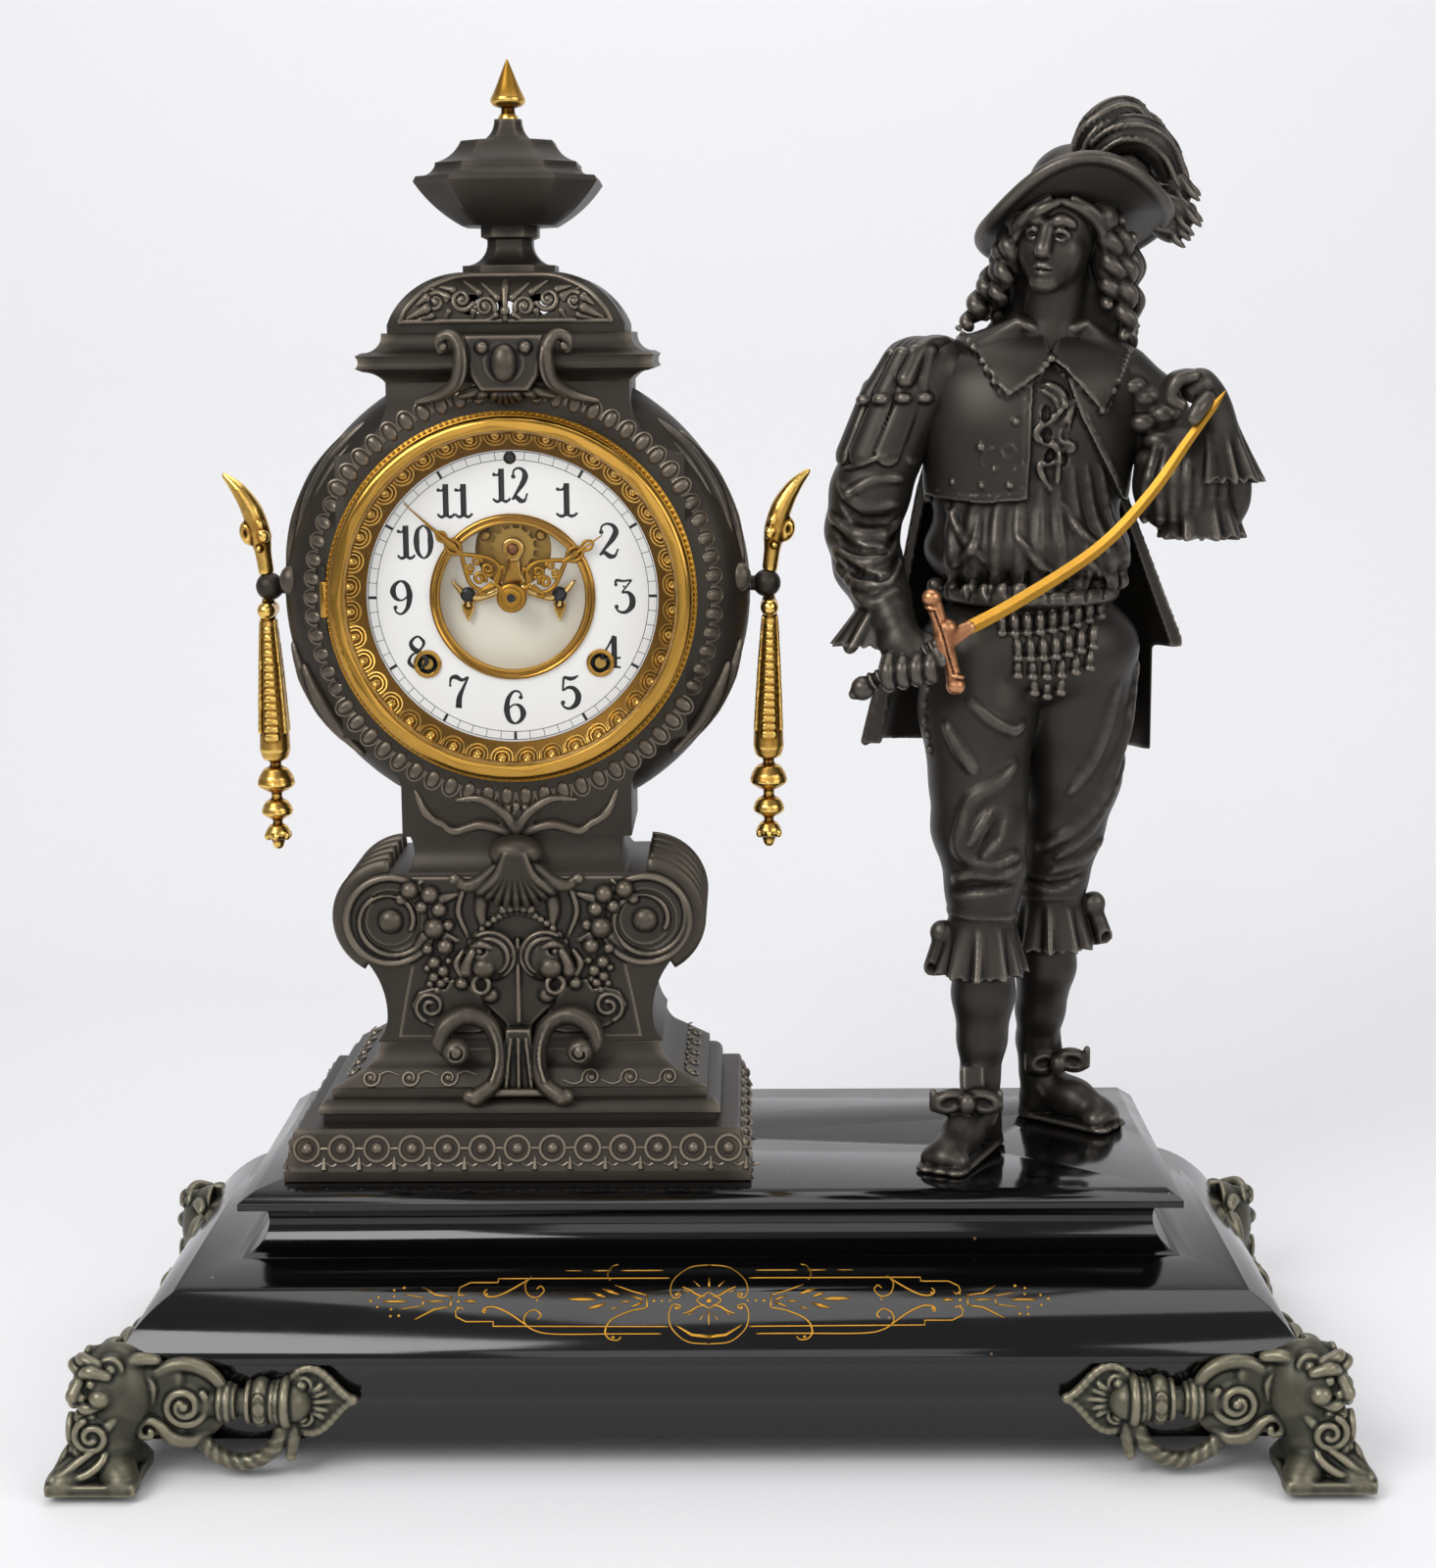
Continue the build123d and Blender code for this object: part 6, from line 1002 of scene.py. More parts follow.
slopeRun = np.array([66.3 - 57.9, -11.4 + 4.8])
slopeRun /= np.hypot(*slopeRun)
eggSpots = []
for k in range(dialSet["eggs"]):
    u, v = clockWay(12 * (k + 0.5) / dialSet["eggs"])
    eggOut = np.array([slopeRun[1] * u, -slopeRun[0], slopeRun[1] * v])
    eggSpots.append((onDial(62.4 * u, 62.4 * v, -8.35) + 0.3 * eggOut, eggOut, (slopeRun[0] * u, slopeRun[1], slopeRun[0] * v), 1.0))
setRow("sashEggs", eggSpots, eggItem(), giltBrass, "bezel", wearAndPaintedLight=True)
eased("hand_nut", "handNut", giltBrass, "center", 0.3)
print("stage: dial and bezel")

# the cavalier, in millimetres from the middle of the footprint on the base's top
figureShift = (place["figX"], place["figY"], place["baseTop"])


def frill(clay, centre, top, bottom, topRadius, bottomRadius, pleats, depth, blend=0.8, lean=(0, 0), scallop=1.2, flat=1.0):
    # a gathered lace edge: a cone with pleats that deepen towards a scalloped hem
    def measure(x, y, z):
        t = np.clip((top - z) / (top - bottom), -0.2, 1.2)
        dx, dy = x - centre[0] - lean[0] * t, (y - centre[1] - lean[1] * t) / flat
        radius, angle = np.sqrt(dx * dx + dy * dy), np.arctan2(dy, dx)
        wave = np.cos(pleats * angle) + 0.35 * np.cos(pleats * 1.7 * angle + 1.0)
        wall = topRadius + (bottomRadius - topRadius) * np.clip(t, 0, 1) ** 1.2 + depth * np.clip(t, 0, 1) * wave
        hem = bottom + scallop * (0.5 - 0.5 * np.cos(pleats * 2 * angle))
        return np.maximum(np.maximum((radius - wall) * 0.8, hem - z), z - top).astype(np.float32)

    reach = max(topRadius, bottomRadius) + 2 * depth + 1
    low = (centre[0] - reach + min(lean[0], 0), centre[1] - reach * flat + min(lean[1], 0), bottom)
    high = (centre[0] + reach + max(lean[0], 0), centre[1] + reach * flat + max(lean[1], 0), top)
    press(clay, measure, low, high, blend)


def bars(clay, chain, blend=3.0):
    # a run of tapering bars: (x, y, z, radius)
    for a, b in zip(chain, chain[1:]):
        bar(clay, a[:3], b[:3], a[3], b[3], blend)


def bowTie(clay, centre, left, right, knot=3.6):
    for end, tilt in ((left, -14), (right, 14)):
        middle = (np.asarray(centre) + np.asarray(end)) / 2
        half = np.linalg.norm(np.asarray(end) - np.asarray(centre)) / 2 + 1.2
        ball(clay, middle, (half, 3.8, 5.4), 0.8, turn=(0, tilt, 0))
        ball(clay, middle + np.array([0, -3.2, 0.3]), (half * 0.55, 1.4, 2.2), 0.8, cut=True, turn=(0, tilt, 0))
        bar(clay, end - np.array([0, 0.5, 3.6]), end + np.array([0, -0.5, 3.6]), 1.5, 1.5, 0.6)
    ball(clay, np.asarray(centre) + np.array([0, -1.5, 0]), (knot, 3.4, knot + 0.8), 0.5)


def makeLegs():
    clay = newClay((-54, -60, -2), (58, 52, 224), 1.0)
    ball(clay, (2, -0.5, 204), (44, 28, 25), 8)
    # breeches
    bars(clay, [(-18, -4, 200, 24), (-19, -7, 180, 23.5), (-18.6, -11, 152, 19.6), (-18.2, -13.5, 133, 19.2), (-16.2, -15, 117, 16.4), (-17, -15.5, 108, 14.8), (-17.2, -15.5, 97, 13.4)])
    bars(clay, [(20, 5, 200, 25), (20.5, 8, 176, 23.5), (20.5, 10, 150, 20.5), (17.4, 12, 128, 17.2), (14.6, 13, 107, 14.0), (13.5, 13.5, 99, 13.2)])
    ridge(clay, [(-6, 160), (-14, 153), (-22, 147), (-26, 138), (-26.7, 127), (-17, 120.6), (-5, 124)], [0.8, 2.0, 2.6, 1.8, 2.4, 2.2, 0.8], 2.6)
    ridge(clay, [(-16, 143), (-20, 136), (-24.3, 129)], [0.6, 1.6, 1.0], 1.8)
    ridge(clay, [(-12, 140), (-15, 132), (-20, 125)], [0.8, 2.0, 0.8], 2.0, cut=True, sink=-0.6)
    ridge(clay, [(-29, 114), (-22, 117), (-12, 116.5), (-3.5, 120)], [1.0, 1.8, 1.6, 0.8], 2.0)
    ridge(clay, [(-30, 109), (-20, 111), (-6, 112)], [0.8, 1.2, 0.6], 1.4, cut=True, sink=-0.2)
    ridge(clay, [(-33, 176), (-27, 166), (-22, 158)], [0.6, 2.0, 0.8], 2.6)
    ridge(clay, [(-24, 186), (-15, 178), (-7, 174), (-3, 176)], [0.8, 1.8, 1.6, 0.6], 2.4)
    ridge(clay, [(45, 196), (40, 170), (32, 148), (22, 132), (8, 122)], [1.2, 2.4, 2.6, 2.2, 0.8], 2.8)
    ridge(clay, [(41, 158), (34, 142), (25, 128), (14, 118)], [0.8, 1.8, 2.0, 0.8], 2.2)
    ridge(clay, [(36, 190), (31, 172), (26, 158), (18, 146)], [0.6, 1.8, 1.8, 0.6], 2.4)
    ridge(clay, [(33, 124), (24, 117), (12, 112)], [0.8, 1.8, 0.8], 2.0)
    ridge(clay, [(3, 108), (13, 106), (25, 110)], [0.6, 1.2, 0.6], 1.4, cut=True, sink=-0.2)
    for x, z in ((-39.5, 189), (-40.5, 183), (-40.3, 177), (-39.6, 171), (-38.6, 165)):
        ball(clay, (x, -17, z), 2.0, 0.5)
    # knee bands and lace
    ringBar(clay, (-17.2, -15.5, 98.5), (0.05, 0.02, 1), 13.0, 1.5, 0.8)
    ringBar(clay, (13.5, 13.5, 100.5), (-0.05, 0, 1), 12.8, 1.5, 0.8)
    frill(clay, (-17.4, -15.5), 97, 73.5, 13.2, 18.6, 11, 1.5, 0.8, (-0.6, -1))
    frill(clay, (13.5, 13.5), 99.5, 77.5, 12.8, 18.2, 11, 1.5, 0.8, (0.8, 0))
    for side, spot, tail in ((-1, (-33, -17, 90), (-37, -17, 76)), (1, (31, 13, 95), (35.5, 12, 82))):
        ball(clay, spot, (5.2, 4.4, 5.6), 0.8, turn=(0, side * 30, 0))
        bar(clay, spot, tail, 3.4, 3.8, 0.8)
        ball(clay, np.asarray(tail) + np.array([side * 1.0, -2.5, -1]), (2.4, 2.0, 3.2), 0.8, cut=True)
    # stockings and shoes
    bars(clay, [(-16.3, -14.5, 84, 12.6), (-16.2, -13.5, 64, 12.5), (-16.6, -13.6, 45, 9.8), (-17.2, -14, 29, 7.7), (-17, -13, 18, 7.9)])
    bars(clay, [(12.5, 15, 88, 12.4), (12.5, 18, 68, 12.3), (11, 22, 48, 10.0), (10.4, 25.5, 34, 8.6), (11, 27, 20, 8.2)])
    for heel, toe in (((-17.5, -13.5), (-32, -42)), ((13, 27.5), (33.5, 12))):
        run = np.asarray(toe, float) - np.asarray(heel)
        aim = run / np.hypot(*run)
        across = np.array([-aim[1], aim[0]])
        def along(t, side=0.0, z=0.0):
            spot = np.asarray(heel) + run * t + across * side
            return (spot[0], spot[1], z)
        bar(clay, along(-0.04, 0, 8), along(0.0, 0, 19), 9.0, 8.0, 3)
        bar(clay, along(0.05, 0, 13), along(0.62, 0, 10.5), 8.8, 8.2, 3)
        bar(clay, along(0.55, 0, 10), along(1.0, 0, 6.6), 8.0, 7.0, 3)
        ball(clay, along(1.04, 0, 5.6), (8.4, 8.4, 6.0), 2)
        for side in (-5.6, 5.6):
            ball(clay, along(1.12, side, 4.4), (4.6, 4.6, 4.4), 2)
        for side in (-4.5, 0, 4.5):
            bar(clay, along(-0.16, side, 1.2), along(1.22, side * 1.35, 1.2), 4.4, 4.8, 0.4, thin=((0, 0, 1), 2.4))
        bar(clay, along(-0.14, -3, 3), along(-0.14, 3, 3), 5.6, 5.6, 0.5)
        trail(clay, [along(0.2, -8.4, 12), along(0.02, -7.6, 17), along(-0.22, 0, 18.5), along(0.02, 7.6, 17), along(0.2, 8.4, 12)], [1.1], 0.6)
        trail(clay, [along(0.42, -7.4, 8), along(0.5, 0, 17.6), along(0.42, 7.4, 8)], [1.0], 0.6)
    bowTie(clay, (-24, -30, 23), np.array([-37.5, -29, 24]), np.array([-10.5, -27, 23]))
    slab(clay, (-21, -23.5, 30), (4.8, 2.0, 6.5), 1.4, 1.2, turn=(-24, 0, 0))
    bowTie(clay, (18, 17, 26), np.array([6.0, 19.5, 26]), np.array([30.0, 15.5, 29]))
    slab(clay, (16, 21.5, 33), (4.4, 2.0, 6.5), 1.4, 1.2, turn=(-20, 0, 30))
    press(clay, lambda x, y, z: (z + 0 * x + 0 * y).astype(np.float32), (-52, -58, -3), (56, 52, 0), 0, cut=True)
    return clay


settle(skinned(makeLegs(), "figureLegs", figureShift), "figureLegs", figureSpelter, "frame", ("figure_legs",), sharp=0)
print("stage: figure's legs")

chestParts = [((0.5, -1, 244), (41, 28.5, 21)), ((0, 1, 268), (38.5, 25.5, 26)), ((1, 1, 290), (41.5, 27.5, 27)), ((2.5, 2, 306), (42, 24, 21))]


def chestMeasure(x, y, z):
    # the trunk as a soft union of rounded masses, the shoulders sloping to the neck
    total = None
    for centre, radii in chestParts:
        d = [(x - centre[0]) / radii[0], (y - centre[1]) / radii[1], (z - centre[2]) / radii[2]]
        k0 = np.sqrt(d[0] ** 2 + d[1] ** 2 + d[2] ** 2)
        k1 = np.sqrt((d[0] / radii[0]) ** 2 + (d[1] / radii[1]) ** 2 + (d[2] / radii[2]) ** 2)
        new = k0 * (k0 - 1) / np.maximum(k1, 1e-6)
        if total is None:
            total = new
        else:
            h = np.clip(0.5 + 0.5 * (new - total) / 9, 0, 1)
            total = new + (total - new) * h - 9 * h * (1 - h)
    return total


def onChest(clay, outline, lift, blend=0.5, frontOnly=True):
    # a panel of cloth lying on the trunk, cut to an outline seen from the front
    outline = np.asarray(outline, float)

    def measure(x, y, z):
        flat = outlineMeasure(outline, x[:, :, 0], z[0, 0, :][None, :])[:, None, :]
        body = np.abs(chestMeasure(x, y, z) - lift / 2) - lift / 2 - 0.4
        half = y + 2.0 if frontOnly else y * 0 - 50
        edge = np.maximum(flat, body)
        return (np.maximum(edge, half)).astype(np.float32)

    low = (outline[:, 0].min(), -45, outline[:, 1].min())
    high = (outline[:, 0].max(), 4 if frontOnly else 45, outline[:, 1].max())
    press(clay, measure, low, high, blend)


def cropPoint(px, py):
    # the dress drawing's own grid to millimetres
    return -10 + (px - 700) * 0.1116, 304.4 - (py - 1045) * 0.1122


def makeTorso():
    clay = newClay((-62, -48, 172), (64, 40, 344), 0.85)
    press(clay, lambda x, y, z: chestMeasure(x, y, z).astype(np.float32), (-46, -34, 216), (50, 34, 334))
    # the waist band over the breeches
    ball(clay, (2, -0.5, 206), (42, 26.5, 25), 5)
    ringBar(clay, (1.5, 0, 226), (0, 0, 1), 33, 3.0, 3)
    bar(clay, (7, 0, 318), (8.5, -4, 338), 13, 10.5, 4)
    # shirt: bloused over the waist, with soft vertical folds
    for x0, x1, size in ((-34, -30, 2.2), (-26, -22, 2.8), (-16, -14, 2.4), (-7, -5, 2.2), (2, 2, 2.6), (10, 11, 2.4), (18, 21, 2.8), (26, 31, 2.4), (34, 38, 2.0)):
        ridge(clay, [(x0 * 0.72 + 2, 276), (x0 * 0.9 + 1, 256), (x1, 240), (x1 * 0.98, 231)], [0.6, size * 0.7, size, size * 0.6], 2.2, sink=0.6)
    for x0, z0, x1, z1, x2, z2 in ((-32, 262, -27, 250, -18, 240), (-20, 258, -23, 246, -30, 238), (12, 262, 20, 250, 30, 244), (-6, 250, 4, 238, 16, 232), (22, 240, 30, 233, 38, 234)):
        ridge(clay, [(x0, z0), (x1, z1), (x2, z2)], [0.5, 1.5, 0.5], 1.6, sink=0.3)
    for x in np.linspace(-36, 38, 13):
        stud(clay, x, 229.5 + 0.8 * math.sin(3 * x), (3.4, 2.6, 3.4), 1.6, 0.6)
    for x in np.linspace(-32, 36, 10):
        ridge(clay, [(x, 236), (x * 1.02, 229), (x, 225)], [0.5, 0.8, 0.5], 0.8, cut=True, sink=-0.2)
    # doublet: two stiff fronts, open over the shirt, and the back
    leftFront = [(-58, 322), (-30, 330), (-3, 318), (-0.5, 309), (-2.1, 264), (-20, 262.5), (-36.7, 264.5), (-58, 268)]
    rightFront = [(58, 322), (36, 328), (12, 322), (13, 310), (18.3, 295.8), (27, 280), (36.6, 263.5), (40, 262), (58, 266)]
    onChest(clay, leftFront, 2.2)
    onChest(clay, rightFront, 2.2)
    press(clay, lambda x, y, z: np.maximum(np.maximum(chestMeasure(x, y, z) - 2.2, -2.5 - y), np.maximum(262 - z, z - 330)).astype(np.float32), (-50, -3, 262), (52, 36, 330), 0.5)
    ridge(clay, [(-3.2, 308), (-4, 290), (-4.6, 266.8)], 0.75, 0.4, sink=0.2)
    ridge(clay, [(-4.6, 266.8), (-20, 265.3), (-36, 267.3)], 0.75, 0.4, sink=0.2)
    ridge(clay, [(20.4, 296.5), (28.6, 281.5), (36.6, 267)], 0.7, 0.4, sink=0.2)
    for px, py, r in ((725, 1135, 1.5), (608, 1222, 1.7), (655, 1295, 0.95), (725, 1297, 0.95), (612, 1355, 1.3), (707, 1355, 1.4), (515, 1345, 1.1)):
        stud(clay, *cropPoint(px, py), r, 0.3, 0.2)
    for cx, cz, r in ((-15.5, 280, 4.2), (-9.5, 283, 2.6)):
        ring = [(cx + r * math.cos(a), cz + r * math.sin(a)) for a in np.linspace(0, 5.2, 12)]
        ridge(clay, ring, 0.45, 0.4, sink=0.15)
    # falling lace collar in two points with a scalloped edge
    leftCollar = [(6.8, 318.5), (3, 313), (-10, 303.8), (-15, 309), (-21, 320), (-30, 331), (-22, 342), (-4, 336), (5, 327)]
    rightCollar = [(6.0, 318.5), (12, 314), (26.5, 297.6), (31, 305), (35, 313), (40, 321), (34, 338), (20, 336), (11, 327)]
    for shape in (leftCollar, rightCollar):
        onChest(clay, shape, 4.2, 0.4)
    for side, low, top in ((-1, (-20, -4, 322), (-3, -10, 331)), (1, (32, -1, 318), (18, -8, 330))):
        bar(clay, low, top, 9, 7, 5, thin=((-side * 0.35, 0, 0.94), 2.2))
    for edge in ([(6.4, 318), (-1, 309.5), (-10, 304), (-15.5, 309.5), (-21, 320), (-27.5, 330)], [(6.8, 318), (15, 309.5), (26.5, 298), (31, 305.5), (35, 313), (38.5, 320)]):
        line = smoothLine(edge, 24)
        for x, z in line[::1]:
            stud(clay, x, z, (1.5, 1.1, 1.5), 0.4, 0.4)
    # jabot: two frilled lace edges folding down the shirt front
    for drawn in ([(820, 1030), (862, 1060), (872, 1110), (812, 1150), (800, 1192), (862, 1220), (872, 1268), (815, 1282), (820, 1322), (852, 1370)],
                  [(872, 1108), (922, 1072), (905, 1140), (888, 1196), (926, 1226), (884, 1250), (874, 1345)], [(835, 1010), (880, 1040), (900, 1085)]):
        ridge(clay, [cropPoint(*p) for p in drawn], [0.8, 1.5, 1.5, 1.5, 0.8], 0.7, sink=-0.6, count=60)
    for drawn in ([(835, 1090), (830, 1130)], [(840, 1170), (835, 1200)], [(850, 1245), (840, 1265)], [(900, 1150), (895, 1190)], [(900, 1240), (895, 1280)]):
        ridge(clay, [cropPoint(*p) for p in drawn], [1.4, 1.4], 0.7, cut=True, sink=-0.2)
    # three tiers of ribbon loops below the waist
    for (x0, z0), (x1, z1), count, tall in (((-11.5, 216), (27.9, 221.5), 9, 5.2), ((-5.5, 206.5), (24.2, 210.5), 7, 5.0), ((-5.3, 199), (23, 201.5), 6, 4.4), ((1.5, 191.5), (12, 191.5), 3, 4.2)):
        for k in range(count):
            t = k / (count - 1)
            x, z = x0 + (x1 - x0) * t, z0 + (z1 - z0) * t - 1.6 * math.sin(math.pi * t)
            y = frontOf(clay, x, z)
            ball(clay, (x, y - 1.4, z), (2.3, 3.4, tall), 0.5, turn=(0, -6 + 12 * t, 0))
            ball(clay, (x, y - 3.0, z - tall * 0.75), (2.5, 2.4, 1.6), 0.5)
    return clay


def makeCoat():
    # coat skirts behind, flaring to the hem with soft folds
    clay = newClay((-72, -2, 152), (72, 54, 324), 1.05)

    def coat(x, y, z):
        t = np.clip((266 - z) / 109, -0.6, 1.05)
        wide = 40 + np.where(x > 0, 40 * np.clip(t, -0.1, 0.56), 22 * np.clip(t, -0.2, 1)) - np.where(t < 0, -t * 6, 0)
        deep = 27 + 9 * np.clip(t, 0, 1)
        dx, dy = (x + 1) / wide, (y - 8) / deep
        radius, angle = np.sqrt(dx * dx + dy * dy), np.arctan2(dy, dx)
        fold = 1 + 0.045 * np.clip(t, 0, 1) * np.cos(7 * angle + 0.4)
        shell = np.abs((radius - fold) * np.minimum(wide, deep) * 1.15) - 1.7
        hem = 158.5 + 5 * np.clip(-x / 64, 0, 1) - z
        return np.maximum(np.maximum(shell, hem), np.maximum(9.5 - y - 3 * np.clip(-t, 0, 1), z - 320)).astype(np.float32)
    press(clay, coat, (-68, 2, 156), (66, 50, 318), 1.2)
    slab(clay, (62, 14, 178), (7.5, 16, 24), 1.5, 0.8, cut=True)
    bar(clay, (-39, 11, 268), (-63, 12, 164), 1.6, 2.0, 0.8)
    return clay


def makeRightArm():
    # shoulder tabs, strap panels, a full sleeve with twisted folds, cuff and hand
    clay = newClay((-90, -60, 188), (-14, 26, 336), 0.72)
    bars(clay, [(-36, 0, 312, 15.5), (-47, -2, 302, 15.5), (-56, -3, 284, 15.5), (-62, -2, 266, 15.8), (-65, 1, 251, 14.6), (-63, -10, 238, 13.6), (-58, -26, 226, 11), (-55, -34, 219.5, 8.6)], 2.5)
    for k in range(6):
        t = k / 5
        spin = math.radians(-150 + 150 * t)
        ax, ay = math.cos(spin) * 15, math.sin(spin) * 15
        top = np.array([-45 + ax * 0.75, -2 + ay * 0.9, 321 - 4 * abs(t - 0.5)])
        low = np.array([-50 + ax * 1.06, -2 + ay * 1.06, 305 - 2 * abs(t - 0.5)])
        bar(clay, top, low, 3.3, 3.9, 0.5, thin=(np.array([math.cos(spin), math.sin(spin), 0]), 1.7))
        ball(clay, low + np.array([ax * 0.06, ay * 0.06, -1.5]), (3.6, 3.6, 2.4), 0.6)
    for k in range(7):
        t = k / 6
        start = np.array([-33 - 8 * t, -6 + 12 * t, 325 - 1.0 * t])
        end = np.array([-41 - 17 * math.sin(0.5 + 1.1 * t), -19 + 24 * t, 313 - 5 * abs(t - 0.5)])
        trail(clay, [start, (start + end) / 2 + np.array([-1.5, -0.5, 4.2]), end], [2.2, 3.2, 3.4], 0.5)
    for k in range(5):
        spin = math.radians(-160 + 40 * k)
        ax, ay = math.cos(spin) * 15.4, math.sin(spin) * 15.4
        bar(clay, (-49 + ax, -2 + ay, 306), (-58.5 + ax, -3 + ay, 282), 4.6, 5.2, 0.4, thin=(np.array([math.cos(spin), math.sin(spin), 0.2]), 2.4))
    ringBar(clay, (-58.6, -3, 281.5), (-0.36, -0.03, 0.93), 16.4, 1.2, 0.6)
    for line, size in (([(-74, 270), (-66, 262), (-52, 262)], 2.2), ([(-78, 258), (-70, 251), (-58, 250), (-51, 256)], 2.6), ([(-79, 248), (-72, 241), (-62, 240), (-53, 247)], 2.4),
                       ([(-76, 238), (-68, 232), (-58, 233), (-51, 240)], 2.2), ([(-72, 266), (-60, 272), (-50, 272)], 1.6), ([(-70, 229), (-62, 225), (-53, 230)], 1.8)):
        ridge(clay, line, [0.6, size, size, 0.6], 2.0, sink=0.6)
    for line in ([(-74, 263), (-66, 256), (-54, 257)], [(-77, 253), (-70, 246), (-58, 245), (-51, 251)], [(-76, 243), (-68, 236.5), (-58, 236), (-51, 243)]):
        ridge(clay, line, [0.6, 1.6, 1.6, 0.6], 1.6, cut=True, sink=-0.5)
    frill(clay, (-57, -29), 226, 208, 9.5, 14, 9, 1.3, 0.8, (-7, 2))
    trail(clay, [(-62, -26, 222), (-68, -27, 214), (-71, -28, 207)], [4.5, 4, 2.4], 1.0)
    bars(clay, [(-55, -34, 221, 8.2), (-52, -38.5, 213, 7.6), (-48.5, -42, 206, 7.0)], 2.0)
    ball(clay, (-49.5, -42, 208), (10.5, 6.4, 9.2), 2.0, turn=(0, 18, 0))
    for k in range(4):
        x = -57.5 + 5.4 * k
        trail(clay, [(x + 1.5, -45.5, 205.5 + 0.5 * k), (x, -50, 201 + 0.6 * k), (x + 0.6, -49.5, 195.5 + 0.9 * k), (x + 2, -44.5, 194.5 + 1.0 * k)], [2.7, 2.8, 2.5, 2.3], 0.5)
    trail(clay, [(-42.5, -42, 212), (-38.5, -46, 209), (-37, -49, 204)], [3.0, 2.9, 2.4], 1.0)
    return clay


def makeLeftArm():
    # puffed shoulder, hanging sleeve gathered into lace, and the raised hand on the blade
    clay = newClay((22, -58, 238), (92, 26, 330), 0.72)
    bars(clay, [(36, 2, 309, 14.5), (47, 1, 298, 14.5), (56, -2, 284, 14.5), (62, -8, 268, 17)], 3.0)
    for spot, size in (((45, -11, 303), 6.0), ((52, -12, 296), 6.2), ((44, -13, 293), 5.6), ((50, -14, 286), 6.0), ((57, -13, 286), 6.0), ((40, -12, 307), 5.0), ((55, -4, 302), 6.4), ((47, -14.5, 279), 5.4)):
        ball(clay, spot, (size, size * 0.9, size * 0.75), 1.4)
    ball(clay, (61, -11, 269), (20.5, 17, 20), 4)
    for k, x in enumerate(np.linspace(45, 78, 8)):
        ridge(clay, [(x * 0.86 + 9.5, 284), (x, 269), (x * 1.0 + 1.0 * math.sin(k), 255)], [0.5, 2.0, 1.4], 1.6, sink=0.6)
    frill(clay, (66, -13), 264, 247.5, 13.5, 16.0, 9, 1.6, 1.6, (2, 0), 2.0)
    trail(clay, [(72, -20, 283), (79.5, -17, 274), (81, -15, 262), (77, -14, 253)], [4.5, 4.8, 4.2, 3.0], 2.0)
    for z, x in ((275, 79.5), (268, 80.8), (261, 80), (255, 78)):
        ball(clay, (x, -17, z), (2.2, 3.2, 2.4), 0.6)
    trail(clay, [(66, -18, 276), (70, -27, 285), (70.5, -33, 293), (67, -37, 302), (61, -40, 308.5)], [9.0, 7.0, 5.2, 5.0, 5.6], 1.8)
    frill(clay, (70, -31), 296, 270, 6.4, 13.0, 8, 1.5, 1.2, (6, 8), 2.0)
    ball(clay, (60, -41, 307), (6.6, 5.4, 6.0), 2.0, turn=(0, -30, 0))
    for k in range(4):
        y = -46.5 + 4.2 * k
        trail(clay, [(57.5, y + 1, 311.5), (51.5, y, 309.5), (49.5, y, 303.5), (53.5, y, 300.5)], [2.6, 2.7, 2.5, 2.2], 0.5)
    trail(clay, [(63, -45.5, 303), (59.5, -49, 299.5), (57.0, -50, 295.5)], [2.9, 2.8, 2.3], 0.8)
    return clay


for name, make, node in (("figureTorso", makeTorso, "figure_torso"), ("figureCoat", makeCoat, "figure_coat"), ("figureRightArm", makeRightArm, "figure_right_arm"), ("figureLeftArm", makeLeftArm, "figure_left_arm")):
    settle(skinned(make(), name, figureShift), name, figureSpelter, "frame", (node,), sharp=0)
print("stage: figure's trunk")

headPose = {"spot": (10.5, -9.5, 364.5), "turn": -24.0, "tilt": 5.0}


